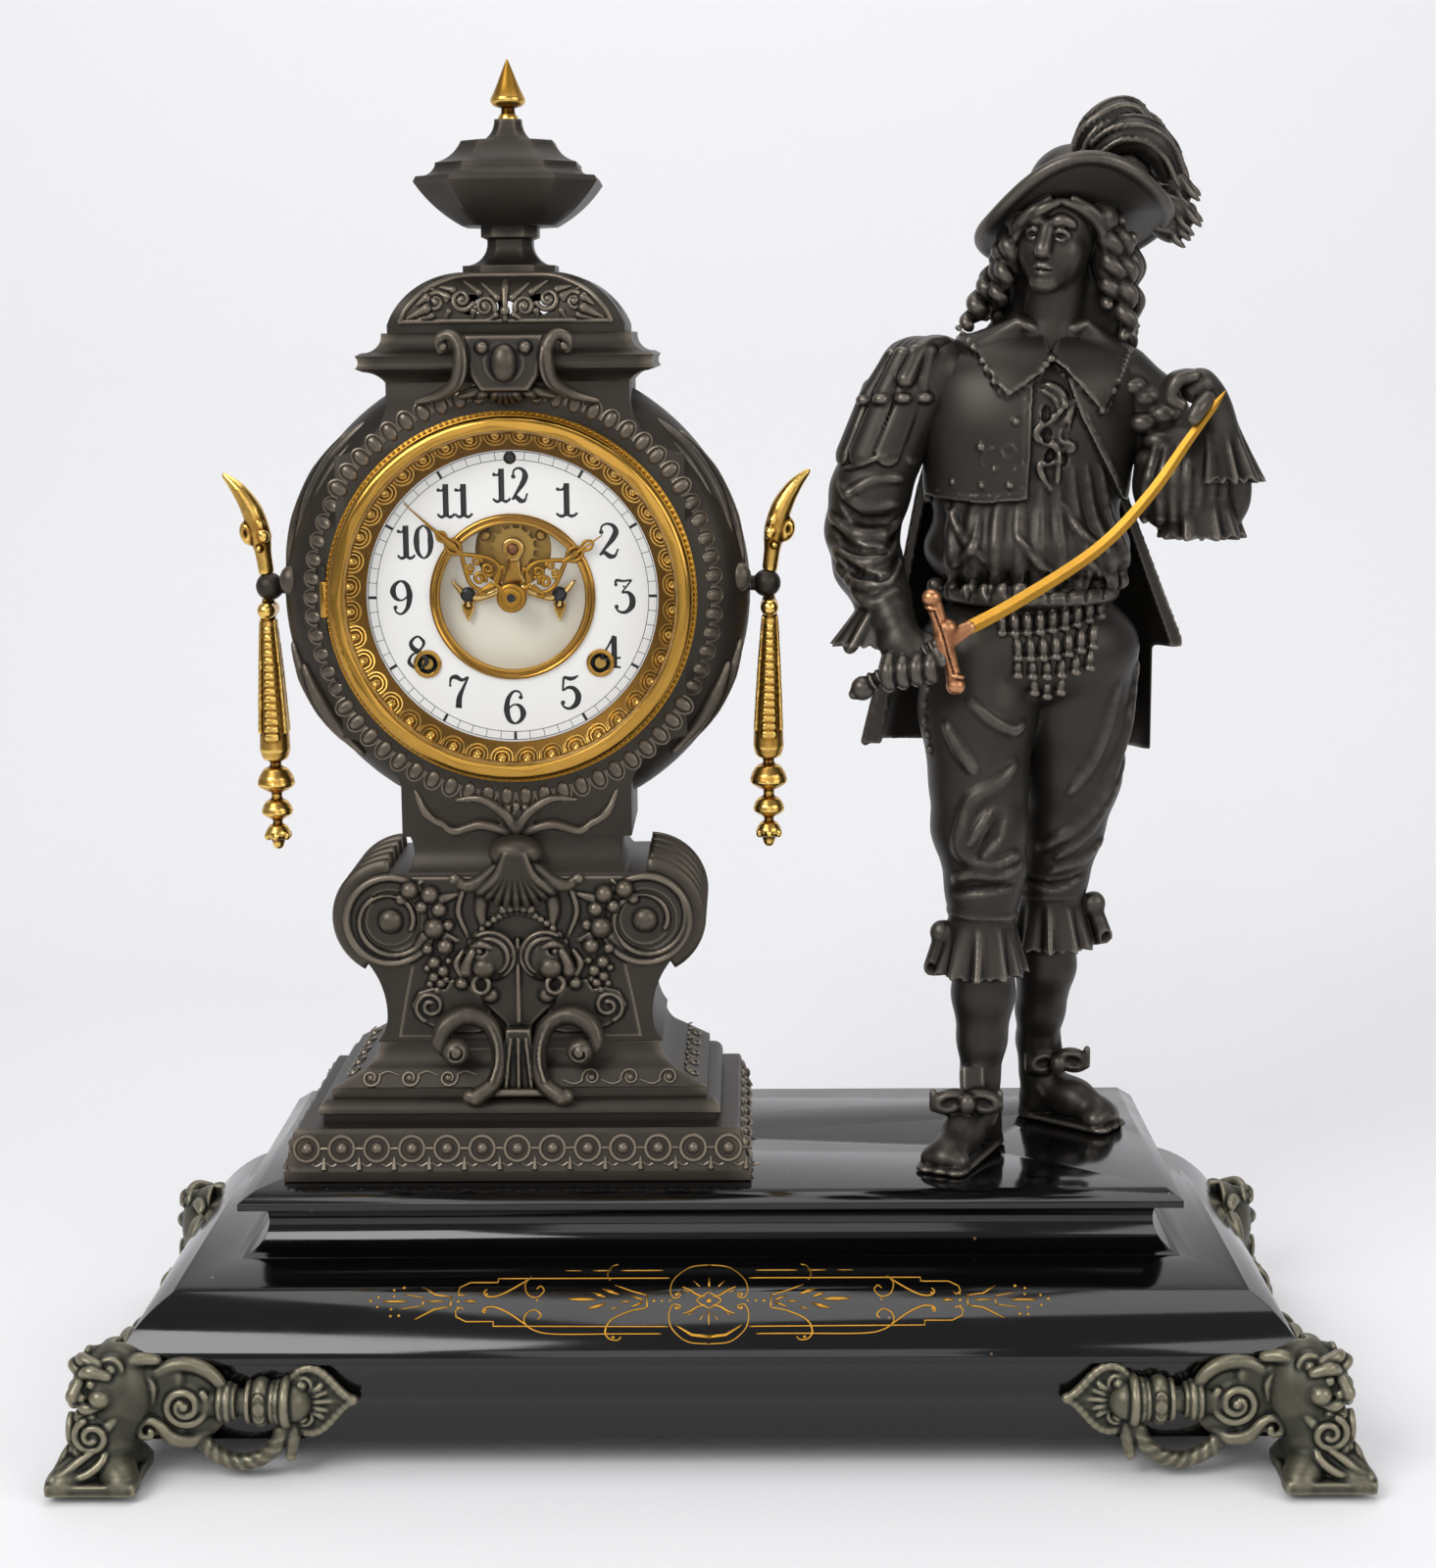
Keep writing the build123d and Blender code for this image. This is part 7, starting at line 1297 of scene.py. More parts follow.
def makeHead():
    clay = newClay((-36, -42, 314), (62, 44, 410), 0.66)
    turn = turnMatrix((-4, headPose["tilt"], headPose["turn"]))

    def at(x, y, z):
        return np.asarray(headPose["spot"]) + turn @ np.array([x, y, z])

    tilt = (-4, headPose["tilt"], headPose["turn"])
    # a plain head on the usual measures: eyes half way down, nose and mouth dividing the lower half
    ball(clay, at(0, 1.5, 3), (14.6, 17.6, 18.5), 2, turn=tilt)
    ball(clay, at(0, -6, -9), (11.6, 11.5, 12.0), 4, turn=tilt)
    ball(clay, at(0, -12.6, -18.8), (5.4, 4.4, 4.0), 3.5, turn=tilt)
    for side in (-1, 1):
        ball(clay, at(side * 6.8, -9.4, -6.5), (5.2, 5.2, 6.0), 3.5, turn=tilt)
        ball(clay, at(side * 5.7, -16.8, -0.4), (3.8, 2.4, 2.5), 2.0, cut=True, turn=tilt)
        ball(clay, at(side * 5.6, -12.4, -0.8), (2.9, 2.7, 2.6), 0.8)
        trail(clay, [at(side * 2.5, -15.6, -0.6), at(side * 5.6, -16.2, 1.0), at(side * 8.8, -13.9, -0.6)], [0.45, 0.7, 0.4], 0.8)
        trail(clay, [at(side * 2.8, -15.4, -1.2), at(side * 5.6, -15.6, -2.7), at(side * 8.4, -13.7, -1.2)], [0.3, 0.4, 0.3], 0.8)
        trail(clay, [at(side * 2.2, -16.2, 3.6), at(side * 5.6, -15.9, 4.9), at(side * 9.4, -13.0, 3.6)], [0.7, 1.0, 0.6], 2.2)
        ball(clay, at(side * 1.9, -17.0, -8.6), (1.5, 1.7, 1.3), 0.9)
    trail(clay, [at(0, -15.6, 3.0), at(0, -17.0, -2.0), at(0, -19.4, -7.6)], [1.3, 1.5, 1.9], 2.4)
    trail(clay, [at(-4.6, -13.8, -13.6), at(-1.7, -16.1, -12.7), at(0, -16.1, -13.0), at(1.7, -16.1, -12.7), at(4.6, -13.8, -13.6)], [0.5, 0.95, 0.9, 0.95, 0.5], 1.0)
    trail(clay, [at(-3.8, -13.9, -14.6), at(0, -15.8, -15.4), at(3.8, -13.9, -14.6)], [0.6, 1.2, 0.6], 1.0)
    trail(clay, [at(-3.8, -15.2, -13.9), at(0, -17.2, -14.0), at(3.8, -15.2, -13.9)], [0.25, 0.35, 0.25], 0.4, cut=True)
    bar(clay, at(0, 3, -12), (8, -4, 326), 10.6, 11.2, 3)
    bar(clay, (8, -4, 326), (7.5, -2, 315), 11.2, 14, 3)
    # long hair in ringlets down to the collar
    ball(clay, (15, 7, 352), (24, 15, 22), 3)
    for spot, size in (((-7.5, -5, 361), (6, 8.5, 13)), ((29.5, -8, 360), (7, 9, 15)), ((-5, -12, 371), (5, 7, 6)), ((26, -17, 371), (6, 6, 6))):
        ball(clay, spot, size, 1.5)
    ball(clay, (17, 9, 335), (26, 11, 17), 4)
    for line in ([(9, -25, 377), (2, -24, 374), (-5, -17, 368), (-8, -12, 360)], [(10, -25, 377), (18, -24, 374), (25, -20, 368), (28, -16, 359)], [(5, -24.5, 378), (-3, -21, 372), (-8, -14, 366)], [(14, -25, 378), (23, -22, 372), (29, -17, 365)]):
        trail(clay, line, [1.2, 2.0, 2.2, 1.4], 0.7)
    locks = [(-10, -3, 362, -15, 2, 334, 0), (-8, 3, 360, -22, 6, 336, 1), (-4, 8, 358, -14, 10, 328, 2), (38, -5, 364, 42, -2, 330, 3), (42, 2, 360, 40, 4, 322, 4), (34, -9, 362, 36, -7, 334, 5),
             (2, 14, 356, -2, 16, 324, 6), (12, 18, 356, 10, 19, 322, 7), (22, 18, 356, 22, 19, 322, 8), (32, 14, 356, 33, 15, 322, 9), (39, 8, 358, 41, 10, 324, 10), (30, -11, 358, 31, -9, 338, 11), (-11, -7, 360, -12, -4, 340, 12),
             (27, -17, 372, 33, -12, 346, 13), (33, -13, 370, 38, -9, 342, 14), (-6, -13, 371, -11, -9, 346, 15), (36, -10, 352, 38, -8, 326, 16), (-15, 0, 348, -24, 2, 330, 17)]
    for x0, y0, z0, x1, y1, z1, k in locks:
        steps = 17
        path = []
        for i in range(steps):
            t = i / (steps - 1)
            spin = 2 * math.pi * (2.6 * t + 0.37 * k)
            path.append((x0 + (x1 - x0) * t + 1.7 * math.cos(spin), y0 + (y1 - y0) * t + 1.7 * math.sin(spin), z0 + (z1 - z0) * t))
        trail(clay, path, [2.6, 2.9, 2.8, 1.6], 1.3, count=steps * 2)
        trail(clay, [(x + 1.6, y - 1.6, z) for x, y, z in path], [0.5, 1.1, 1.1, 0.4], 0.4, count=steps * 2)
    # wide hat: a dish of a brim, low on the forehead and turned up in front so that its underside frames the face
    brim = {"middle": (17.5, 0, 368.8), "halfX": 36.5, "halfY": 33, "lift": -0.42, "lean": 0.08, "wall": 1.5}

    def brimLevel(dx, dy):
        wave = 1.2 * np.sin(3 * np.arctan2(dy, dx) + 0.6) * np.clip(np.hypot(dx, dy) / 34 - 0.5, 0, 0.6)
        return brim["middle"][2] + brim["lean"] * dx + brim["lift"] * dy + 0.018 * np.maximum(-dy - 10, 0) ** 2 + wave

    def brimShape(x, y, z):
        dx, dy = x - brim["middle"][0], y - brim["middle"][1]
        reach = np.sqrt((dx / brim["halfX"]) ** 2 + (dy / brim["halfY"]) ** 2)
        steep = 0.9 / np.sqrt(1 + (brim["lift"] - 0.036 * np.maximum(-dy - 10, 0)) ** 2)
        return np.maximum(np.abs((z - brimLevel(dx, dy)) * steep) - brim["wall"], (reach - 1) * brim["halfY"]).astype(np.float32)

    press(clay, brimShape, (-22, -36, 345), (57, 36, 405), 0.8)
    turns = np.linspace(0, 2 * math.pi, 145)
    rimX, rimY = brim["halfX"] * np.cos(turns), brim["halfY"] * np.sin(turns)
    rim = np.stack([brim["middle"][0] + rimX, brim["middle"][1] + rimY, brimLevel(rimX, rimY)], 1)
    for a, b in zip(rim, rim[1:]):
        bar(clay, a, b, 1.75, 1.75, 1.6)
    ball(clay, (17.5, 5.0, 382.5), (18.0, 18.0, 18.0), 2.5, turn=(-18, 4, 0))
    ringBar(clay, (17.5, 3.0, 375.5), (0.05, 0.3, 0.95), 18.2, 1.9, 1.0)
    return clay


settle(skinned(makeHead(), "figureHead", figureShift), "figureHead", figureSpelter, "frame", ("figure_head", "figure_hat"), sharp=0)


def makePlume():
    clay = newClay((0, -34, 352), (84, 36, 424), 0.66)
    spines = [([(19, -6, 393), (23, -9, 403), (29, -9, 409), (36, -7, 410), (42, -5, 404)], 5.2), ([(22, -8, 394), (31, -12, 401), (40, -12, 402), (48, -9, 397), (53, -6, 389)], 6.2),
              ([(26, 2, 396), (34, 1, 404), (42, 1, 405), (49, 2, 399)], 6.0), ([(45, 6, 388), (54, 11, 387), (61, 13, 381)], 5.0), ([(45, 6, 380), (55, 11, 377), (62, 13, 371)], 5.0), ([(46, 7, 372), (54, 11, 369), (58, 12, 366)], 4.0)]
    ball(clay, (35, -3, 393), (13, 9, 8), 2)
    for spine, size in spines:
        line = smoothLine(spine, 44)
        trail(clay, spine, [size * 0.7, size, size * 1.1, size * 0.8], 1.0, count=40)
        run = np.gradient(line, axis=0)
        run /= np.linalg.norm(run, axis=1)[:, None]
        for i in range(2, len(line) - 1, 2):
            side = np.cross(run[i], (0, 0, 1))
            side /= max(np.linalg.norm(side), 1e-6)
            lift = np.cross(side, run[i])
            for spin in (-0.5, 0.4, 1.3, 2.2, 3.1):
                out = side * math.cos(spin) + lift * math.sin(spin)
                start = line[i] + out * size * 0.45
                end = line[i] + out * size * 1.15 + run[i] * 6.5
                trail(clay, [start, (start + end) / 2 + out * 1.0, end - out * 0.6], [1.2, 1.3, 0.7], 0.3, count=6)
    for spot in ((62, 13, 382), (64, 14, 375), (60, 13, 367)):
        ball(clay, spot, (3.6, 3.4, 3.4), 0.8)
    return clay


settle(skinned(makePlume(), "figurePlume", figureShift), "figurePlume", figureSpelter, "frame", ("figure_plume",), sharp=0)
print("stage: figure's head, hat and plume")

# the sword: gilt blade bowed between the two hands, copper-toned guard, dark grip
sword = {"y": -47.0, "blade": [(-36, 211.6), (-8, 226.5), (22.6, 246.6), (42, 267), (57, 288.6), (69.5, 305.6)], "guardTop": (-40.6, 228.4), "guardMid": (-35.5, 211.6), "guardLow": (-31, 194.3)}


def bladeShape():
    line = smoothLine([(x, sword["y"], z) for x, z in sword["blade"]], 60)
    t = np.linspace(0, 1, len(line))
    half = np.interp(t, [0, 0.08, 0.7, 0.93, 1], [2.6, 2.7, 2.1, 1.5, 0.25])
    return tubeShape(line + np.array(figureShift), half, 4, flat=0.42)


settle(meshFrom("swordBlade", *bladeShape()), "swordBlade", giltBrass, "frame", ("sword_blade",), sharp=30, wearAndPaintedLight=False)


def makeGuard():
    clay = newClay((-48, -56, 188), (-16, -38, 236), 0.5)
    y = sword["y"]
    top, mid, low = sword["guardTop"], sword["guardMid"], sword["guardLow"]
    trail(clay, [(top[0], y, top[1]), (top[0] + 2.6, y, top[1] - 7), (mid[0], y, mid[1]), (low[0] - 1.5, y, low[1] + 7), (low[0], y, low[1])], [3.2, 2.7, 3.4, 2.5, 3.2], 0.6, thin=((0, 1, 0), 1.2))
    for spot in (top, low):
        ball(clay, (spot[0], y, spot[1]), (3.7, 3.2, 3.4), 0.5)
        ringBar(clay, (spot[0] + 0.4, y, spot[1] + (-4.0 if spot is top else 4.0)), (0.2, 0, 1), 2.4, 0.8, 0.4)
    bar(clay, (mid[0], y, mid[1]), (mid[0] + 9.5, y, mid[1] + 5.3), 4.4, 2.6, 0.8, thin=((0, 1, 0), 1.3))
    bar(clay, (mid[0] + 1, y, mid[1] + 5), (mid[0] - 1, y, mid[1] - 6), 3.9, 3.9, 0.8, thin=((0, 1, 0), 1.1))
    ridge(clay, [(top[0] + 1, top[1] - 5), (mid[0], mid[1]), (low[0] - 1, low[1] + 5)], 0.5, 0.3, cut=True, sink=-0.1)
    return clay


settle(skinned(makeGuard(), "swordGuard", figureShift), "swordGuard", copperGilt, "frame", ("sword_guard",), sharp=0)


def makeGrip():
    clay = newClay((-76, -54, 184), (-28, -36, 222), 0.5)
    y0, y1 = -42.0, sword["y"]
    bar(clay, (-64, y0, 195), (-36, y1, 211.6), 2.8, 3.0, 0.5)
    ball(clay, (-66.5, y0, 193), (4.6, 4.4, 4.8), 0.8)
    ball(clay, (-69.8, y0 - 0.3, 190.8), 2.2, 0.8)
    ringBar(clay, (-62.5, y0 - 0.2, 195.6), (0.86, -0.12, 0.5), 3.2, 0.9, 0.4)
    for k in range(9):
        t = k / 8
        ringBar(clay, (-60 + 20 * t, y0 - 0.6 - 4 * t, 197.3 + 11.8 * t), (0.86, -0.12, 0.5), 3.0, 0.55, 0.3)
    return clay


settle(skinned(makeGrip(), "swordGrip", figureShift), "swordGrip", figureSpelter, "frame", ("sword_grip",), sharp=0)
print("stage: sword")

# the four corner feet: made once for the front left corner and mirrored
foot = {"cornerX": -219.3, "cornerY": -86.55, "armZ": 31.0, "scroll": 21.9, "scrollRadius": 16.4, "ring": 37.5, "knop": 50.5, "collar": 59.0, "heartFrom": 62.0, "heartTip": 85.0,
        "heartHalf": 12.7, "swagLow": 6.2, "padHalf": 16.8, "padOut": 10.7, "padTop": 7.4}


def makeFoot():
    clay = newClay((-252, -119, -1), (-130, 3, 60), 0.72)
    cx, cy, az = foot["cornerX"], foot["cornerY"], foot["armZ"]

    def front(a, b, z):
        return np.array([cx + a, cy - b, z])

    def side(a, b, z):
        return np.array([cx - b, cy + a, z])

    def corner(out, across, z):
        return np.array([cx - 0.7071 * out + 0.7071 * across, cy - 0.7071 * out - 0.7071 * across, z])

    # splayed foot on a square pad, with a sunk scroll moulding above it
    slab(clay, (cx - foot["padOut"], cy - foot["padOut"], 3.9), (foot["padHalf"], foot["padHalf"], 3.5), 0.9, 0.4)
    for sx, sy in ((-1, -1), (1, -1), (-1, 1), (1, 1)):
        start = np.array([cx - 7, cy - 7, 24.0])
        end = np.array([cx - foot["padOut"] + sx * 11.5, cy - foot["padOut"] + sy * 11.5, 6.0])
        trail(clay, [start, start * 0.5 + end * 0.5 + np.array([-1.8 * sx, -1.8 * sy, -4.0]), end], [9.5, 6.5, 5.0], 3.0)
    bar(clay, (cx - 7, cy - 7, 24), (cx - 9, cy - 9, 9), 9, 11, 3)
    for way in (front, side):
        trail(clay, [way(-25, 24.5, 8.5), way(-20, 23.5, 11), way(-15, 22, 15), way(-10, 20, 18)], [1.8, 1.6, 1.4, 1.0], 0.6)
        trail(clay, [way(-24, 24, 9), way(-14, 23.5, 9.5), way(-7, 21, 14), way(-6, 17.5, 19)], [1.2, 1.6, 1.6, 1.0], 0.6)
    # the corner block behind the mask
    ball(clay, corner(5, 0, 36), (15, 15, 19), 3)
    for way in (front, side):
        slab(clay, way(9, 3.4, 32), (13, 5.2, 13.5) if way is front else (5.2, 13, 13.5), 2.5, 2.5)
        # panel scroll low on the block and acanthus folds that run back from the mask
        line = [way(8 + 5.2 * math.cos(s) * (1 - 0.12 * s), 10.2, 21.5 + 5.2 * math.sin(s) * (1 - 0.12 * s)) for s in np.linspace(0.5, 6.6, 22)]
        trail(clay, line, [1.5, 1.3, 1.0], 0.5, count=44)
        trail(clay, [way(12.6, 10, 24), way(17, 9, 18.5), way(24, 6.5, 16.5), way(29, 4, 19)], [1.6, 2.4, 2.2, 1.4], 1.0)
        for k in range(5):
            trail(clay, [way(-1 + 2.2 * k, 11.5 - 0.6 * k, 46 - 0.6 * k), way(3 + 1.8 * k, 11 - 0.5 * k, 38.5), way(4 + 1.5 * k, 10.6 - 0.4 * k, 30 + 0.6 * k)], [1.0, 1.7, 0.8], 0.5)
        # volute with a spiral and a hood over it
        centre = way(foot["scroll"], 3.0, az)
        spin = (0, 1, 0) if way is front else (1, 0, 0)
        flat = (foot["scrollRadius"], 5.0, foot["scrollRadius"]) if way is front else (5.0, foot["scrollRadius"], foot["scrollRadius"])
        ball(clay, centre, flat, 1.5)
        hood = [way(foot["scroll"] + 15.4 * math.cos(s), 6.0, az + 15.4 * math.sin(s)) for s in np.radians(np.linspace(155, 12, 15))]
        trail(clay, hood, [2.0, 2.6, 2.6, 1.8], 0.8, count=30)
        ball(clay, way(foot["scroll"], 6.2, az), (9.0, 3.4, 9.0) if way is front else (3.4, 9.0, 9.0), 0.8)
        curl = [way(foot["scroll"] + (8.6 - 6.6 * t) * math.cos(0.6 - 2 * math.pi * 1.75 * t), 8.6 + 1.4 * t, az + (8.6 - 6.6 * t) * math.sin(0.6 - 2 * math.pi * 1.75 * t)) for t in np.linspace(0, 1, 36)]
        trail(clay, curl, [1.5, 1.5, 1.3], 0.35, count=72)
        ball(clay, way(foot["scroll"], 9.8, az), 2.0, 0.4)
        # the turned arm: block, rings, beaded knop, collar
        bar(clay, way(foot["scroll"] + 6, 5, az), way(foot["ring"] + 2, 5, az), 5.4, 5.4, 0.8)
        axis = (1, 0, 0) if way is front else (0, 1, 0)
        for a, r, t in ((35.6, 6.0, 1.6), (38.0, 6.2, 1.6), (40.2, 5.6, 1.2)):
            ringBar(clay, way(a, 5, az), axis, r, t, 0.4)
        bar(clay, way(foot["ring"], 5, az), way(foot["collar"] + 2, 5, az), 5.0, 5.0, 0.6)
        ball(clay, way(foot["knop"], 5, az), (5.4, 8.2, 9.6) if way is front else (8.2, 5.4, 9.6), 0.8)
        for a in (foot["knop"] - 4.6, foot["knop"] + 4.6):
            ringBar(clay, way(a, 5, az), axis, 7.2, 1.0, 0.4)
        for dz, db in ((3.8, 7.6), (-3.8, 7.6), (0, 8.4)):
            ringBar(clay, way(foot["knop"], 5 + db * 0.92, az + dz), spin, 1.5, 0.6, 0.2)
            ball(clay, way(foot["knop"], 5 + db * 0.92, az + dz), 1.0, 0.2)
        for a, r, t in ((57.0, 7.0, 1.5), (60.0, 8.0, 1.9)):
            ringBar(clay, way(a, 5, az), axis, r, t, 0.4)
        bar(clay, way(56, 5, az), way(62, 5, az), 7.5, 7.5, 0.5)
        # heart leaf with a raised rim, ribs and two curled lobes
        rim = []
        for s in np.linspace(0, 1, 40):
            turn = 2 * math.pi * s
            # a heart lying on its side: two lobes at the collar, the point away from the corner
            hx = 13 * math.cos(turn) - 5 * math.cos(2 * turn) - 2 * math.cos(3 * turn) - math.cos(4 * turn)
            hy = 16 * math.sin(turn) ** 3
            rim.append((foot["heartFrom"] + (12.0 - hx) * (foot["heartTip"] - foot["heartFrom"]) / 29.0, hy * foot["heartHalf"] / 16.0))
        for (a0, z0), (a1, z1) in zip(rim, rim[1:]):
            bar(clay, way(a0, 3.6, az + z0), way(a1, 3.6, az + z1), 1.7, 1.7, 0.6)
        for t in np.linspace(0.0, 0.86, 6):
            shrunk = [(foot["heartFrom"] + 9 + (a - foot["heartFrom"] - 9) * t, z * t) for a, z in rim]
            for (a0, z0), (a1, z1) in zip(shrunk[::2], shrunk[2::2] + shrunk[:1]):
                bar(clay, way(a0, 2.6, az + z0), way(a1, 2.6, az + z1), 2.0, 2.0, 0.6)
        for z in (-8.6, -4.6, 0, 4.6, 8.6):
            trail(clay, [way(66, 4.6, az + z * 0.25), way(72, 4.9, az + z * 0.62), way(78 - abs(z) * 0.55, 4.2, az + z * 0.82)], [1.0, 1.1, 0.5], 0.4)
        for z in (-6.2, 6.2):
            ball(clay, way(65.5, 5.2, az + z), (2.3, 2.3, 2.3), 0.4)
            ringBar(clay, way(66, 5.0, az + z), spin, 3.2, 0.8, 0.3)
        # rope swag from the volute to the collar, and the leaf drop
        swag = smoothLine([way(27, 4.2, 16), way(32, 4.6, 10.5), way(40, 5, 7.2), way(48, 5.2, 8.2), way(55, 5.4, 13.5), way(59, 5.6, 22), way(60, 5.8, 28)], 54)
        for p, q in zip(swag, swag[1:]):
            bar(clay, p, q, 3.0, 3.0, 0.4)
        run = np.gradient(swag, axis=0)
        run /= np.linalg.norm(run, axis=1)[:, None]
        outDir = -np.array(spin, float)
        for shift in (0, 2.09, 4.19):
            strand = []
            for i, p in enumerate(swag):
                lift = np.cross(run[i], outDir)
                angle = shift + i * 0.42
                strand.append(p + 1.9 * (math.cos(angle) * outDir + math.sin(angle) * lift))
            for p, q in zip(strand, strand[1:]):
                bar(clay, p, q, 1.45, 1.45, 0.2)
        trail(clay, [way(61, 5, 25), way(61.5, 5, 17), way(61, 5, 10.5)], [2.2, 3.0, 1.8], 0.5)
        ball(clay, way(60.8, 5, 9.5), (2.2, 2.2, 2.6), 0.5)
    # grotesque mask at the corner, traditional: knitted brow, broad nose, moustache, curled beard
    ball(clay, corner(10, 0, 40), (11.5, 11.5, 12), 2, turn=(0, 0, 45))
    for s in (-1, 1):
        trail(clay, [corner(20.5, s * 1.2, 46.5), corner(20, s * 5.5, 48.5), corner(15.5, s * 9.8, 46.5)], [1.9, 2.3, 1.6], 0.8)
        ball(clay, corner(20.6, s * 4.6, 43.4), (2.6, 2.6, 2.0), 0.8, cut=True)
        ball(clay, corner(19.4, s * 4.6, 43.2), 2.0, 0.3)
        ball(clay, corner(17.6, s * 7.2, 38.0), (4.2, 4.2, 4.0), 1.2)
        ball(clay, corner(22.6, s * 2.3, 38.2), 2.0, 0.6)
        trail(clay, [corner(22.6, s * 1.0, 35.4), corner(21.6, s * 4.6, 34.2), corner(17.5, s * 8.8, 35.8)], [1.6, 2.2, 1.2], 0.5)
        # horn-like curl above the brow and the large beard curl at the side
        way = front if s > 0 else side
        spin = (0, 1, 0) if s > 0 else (1, 0, 0)
        ball(clay, way(-3.6, 11.5, 48), (5.4, 4.6, 5.0), 0.8)
        ringBar(clay, way(-3.6, 14.4, 48), spin, 3.9, 1.2, 0.4)
        ball(clay, way(-3.6, 15.4, 48), 2.2, 0.3)
        trail(clay, [way(1.5, 10, 48), way(6, 8.5, 49.5), way(12, 6.5, 48.5)], [2.4, 2.2, 1.6], 1.0)
        ball(clay, way(-10.5, 15.5, 23.5), (7.2, 5.2, 6.8) if s > 0 else (5.2, 7.2, 6.8), 1.0)
        curl = [way(-10.5 + (6.8 - 5.2 * t) * math.cos(2.0 + 2 * math.pi * 1.5 * t), 19.6 + 0.9 * t, 23.5 + (6.8 - 5.2 * t) * math.sin(2.0 + 2 * math.pi * 1.5 * t)) for t in np.linspace(0, 1, 28)]
        trail(clay, curl, [1.4, 1.3, 1.1], 0.3, count=56)
        trail(clay, [way(-5.5, 17.5, 26), way(-1, 15, 31.5), way(2.5, 12.5, 38)], [1.9, 1.8, 1.0], 0.6)
        ball(clay, way(-15.5, 17.5, 16.8), (3.0, 2.6, 2.8), 0.6)
        ball(clay, way(-8.5, 17, 15.4), (2.6, 2.4, 2.4), 0.6)
    trail(clay, [corner(20.5, 0, 46), corner(22.6, 0, 42), corner(24.8, 0, 38.4)], [1.8, 2.0, 2.6], 0.8)
    ball(clay, corner(22.4, 0, 31.6), (3.4, 3.4, 1.7), 0.6, cut=True)
    trail(clay, [corner(19.5, -4.5, 30.2), corner(22.4, 0, 29.4), corner(19.5, 4.5, 30.2)], [1.3, 1.7, 1.3], 0.5)
    for k, (o, s, z) in enumerate(((21.5, 0, 25.5), (20.5, 3.2, 26.5), (20.5, -3.2, 26.5), (21.5, 2.0, 21.5), (21.5, -2.0, 21.5), (20.5, 0, 17.8))):
        ball(clay, corner(o, s, z), (2.7, 2.7, 3.0), 0.5)
    trail(clay, [corner(17, -6, 50), corner(19.5, 0, 51.5), corner(17, 6, 50)], [1.8, 2.2, 1.8], 0.8)
    # the arms lie against the base's skirt and stop at its lip
    press(clay, lambda x, y, z: np.maximum(np.maximum(cx + 0.05 - x, cy + 0.05 - y), 13.9 - z + 0 * x).astype(np.float32), (cx, cy, 10), (-128, 5, 62), 0, cut=True)
    press(clay, lambda x, y, z: np.maximum(np.maximum(-223.3 - 0.1 - x, -90.55 - 0.1 - y), 44.7 - z + 0 * x).astype(np.float32), (-224, -91, 44), (-128, 5, 62), 0, cut=True)
    press(clay, lambda x, y, z: (-z + 0.02 + 0 * x + 0 * y).astype(np.float32), (-252, -119, -3), (-128, 5, 0.6), 0, cut=True)
    return clay


footMesh = skinned(makeFoot(), "footShape")
for name, node, sx, sy in (("footFrontLeft", "foot_front_left", 1, 1), ("footFrontRight", "foot_front_right", -1, 1), ("footRearLeft", "foot_rear_left", 1, -1), ("footRearRight", "foot_rear_right", -1, -1)):
    mesh = footMesh.copy()
    mesh.transform(Matrix.Diagonal((sx, sy, 1, 1)))
    settle(mesh, name, weatheredSpelter, "frame", (node,), sharp=0)
bpy.data.meshes.remove(footMesh)
print("stage: feet")

# the case's cast ornament; x is counted from the case's middle
caseShift = (place["caseX"], 0, 0)
eased("case_pedestal", "casePedestal", patinatedSpelter, "frame", 0.7, front=-10.5)
drumPiece = eased("case_drum", "caseDrum", patinatedSpelter, "frame", 0.7)
eased("case_dome", "caseDome", patinatedSpelter, "frame", 0.6)
eased("handle_bosses", "handleBosses", patinatedSpelter, "frame", 0.3)
pedestal = {"front": -10.5, "voluteX": 50.5, "voluteZ": 198.3, "rim": 17.4, "grain": 0.62}
fruit = [(-42.5, 211, 3.6), (-34.5, 209, 3.6), (-31, 203, 3.1), (-33, 195.5, 4.3), (-29, 188, 3.3), (-33.5, 181.5, 2.6), (-30, 178, 2.4), (-33.8, 175.5, 2.1),
         (-31, 173, 1.9), (-38, 204, 2.6), (-27.5, 196.5, 2.3), (-36, 187, 2.2)]


def disc(centre, radius, count=36):
    return [(centre[0] + radius * math.cos(a), centre[1] + radius * math.sin(a)) for a in np.linspace(0, 2 * math.pi, count, endpoint=False)]


def bothWays(points):
    return [(-p[0], *p[1:]) for p in points]


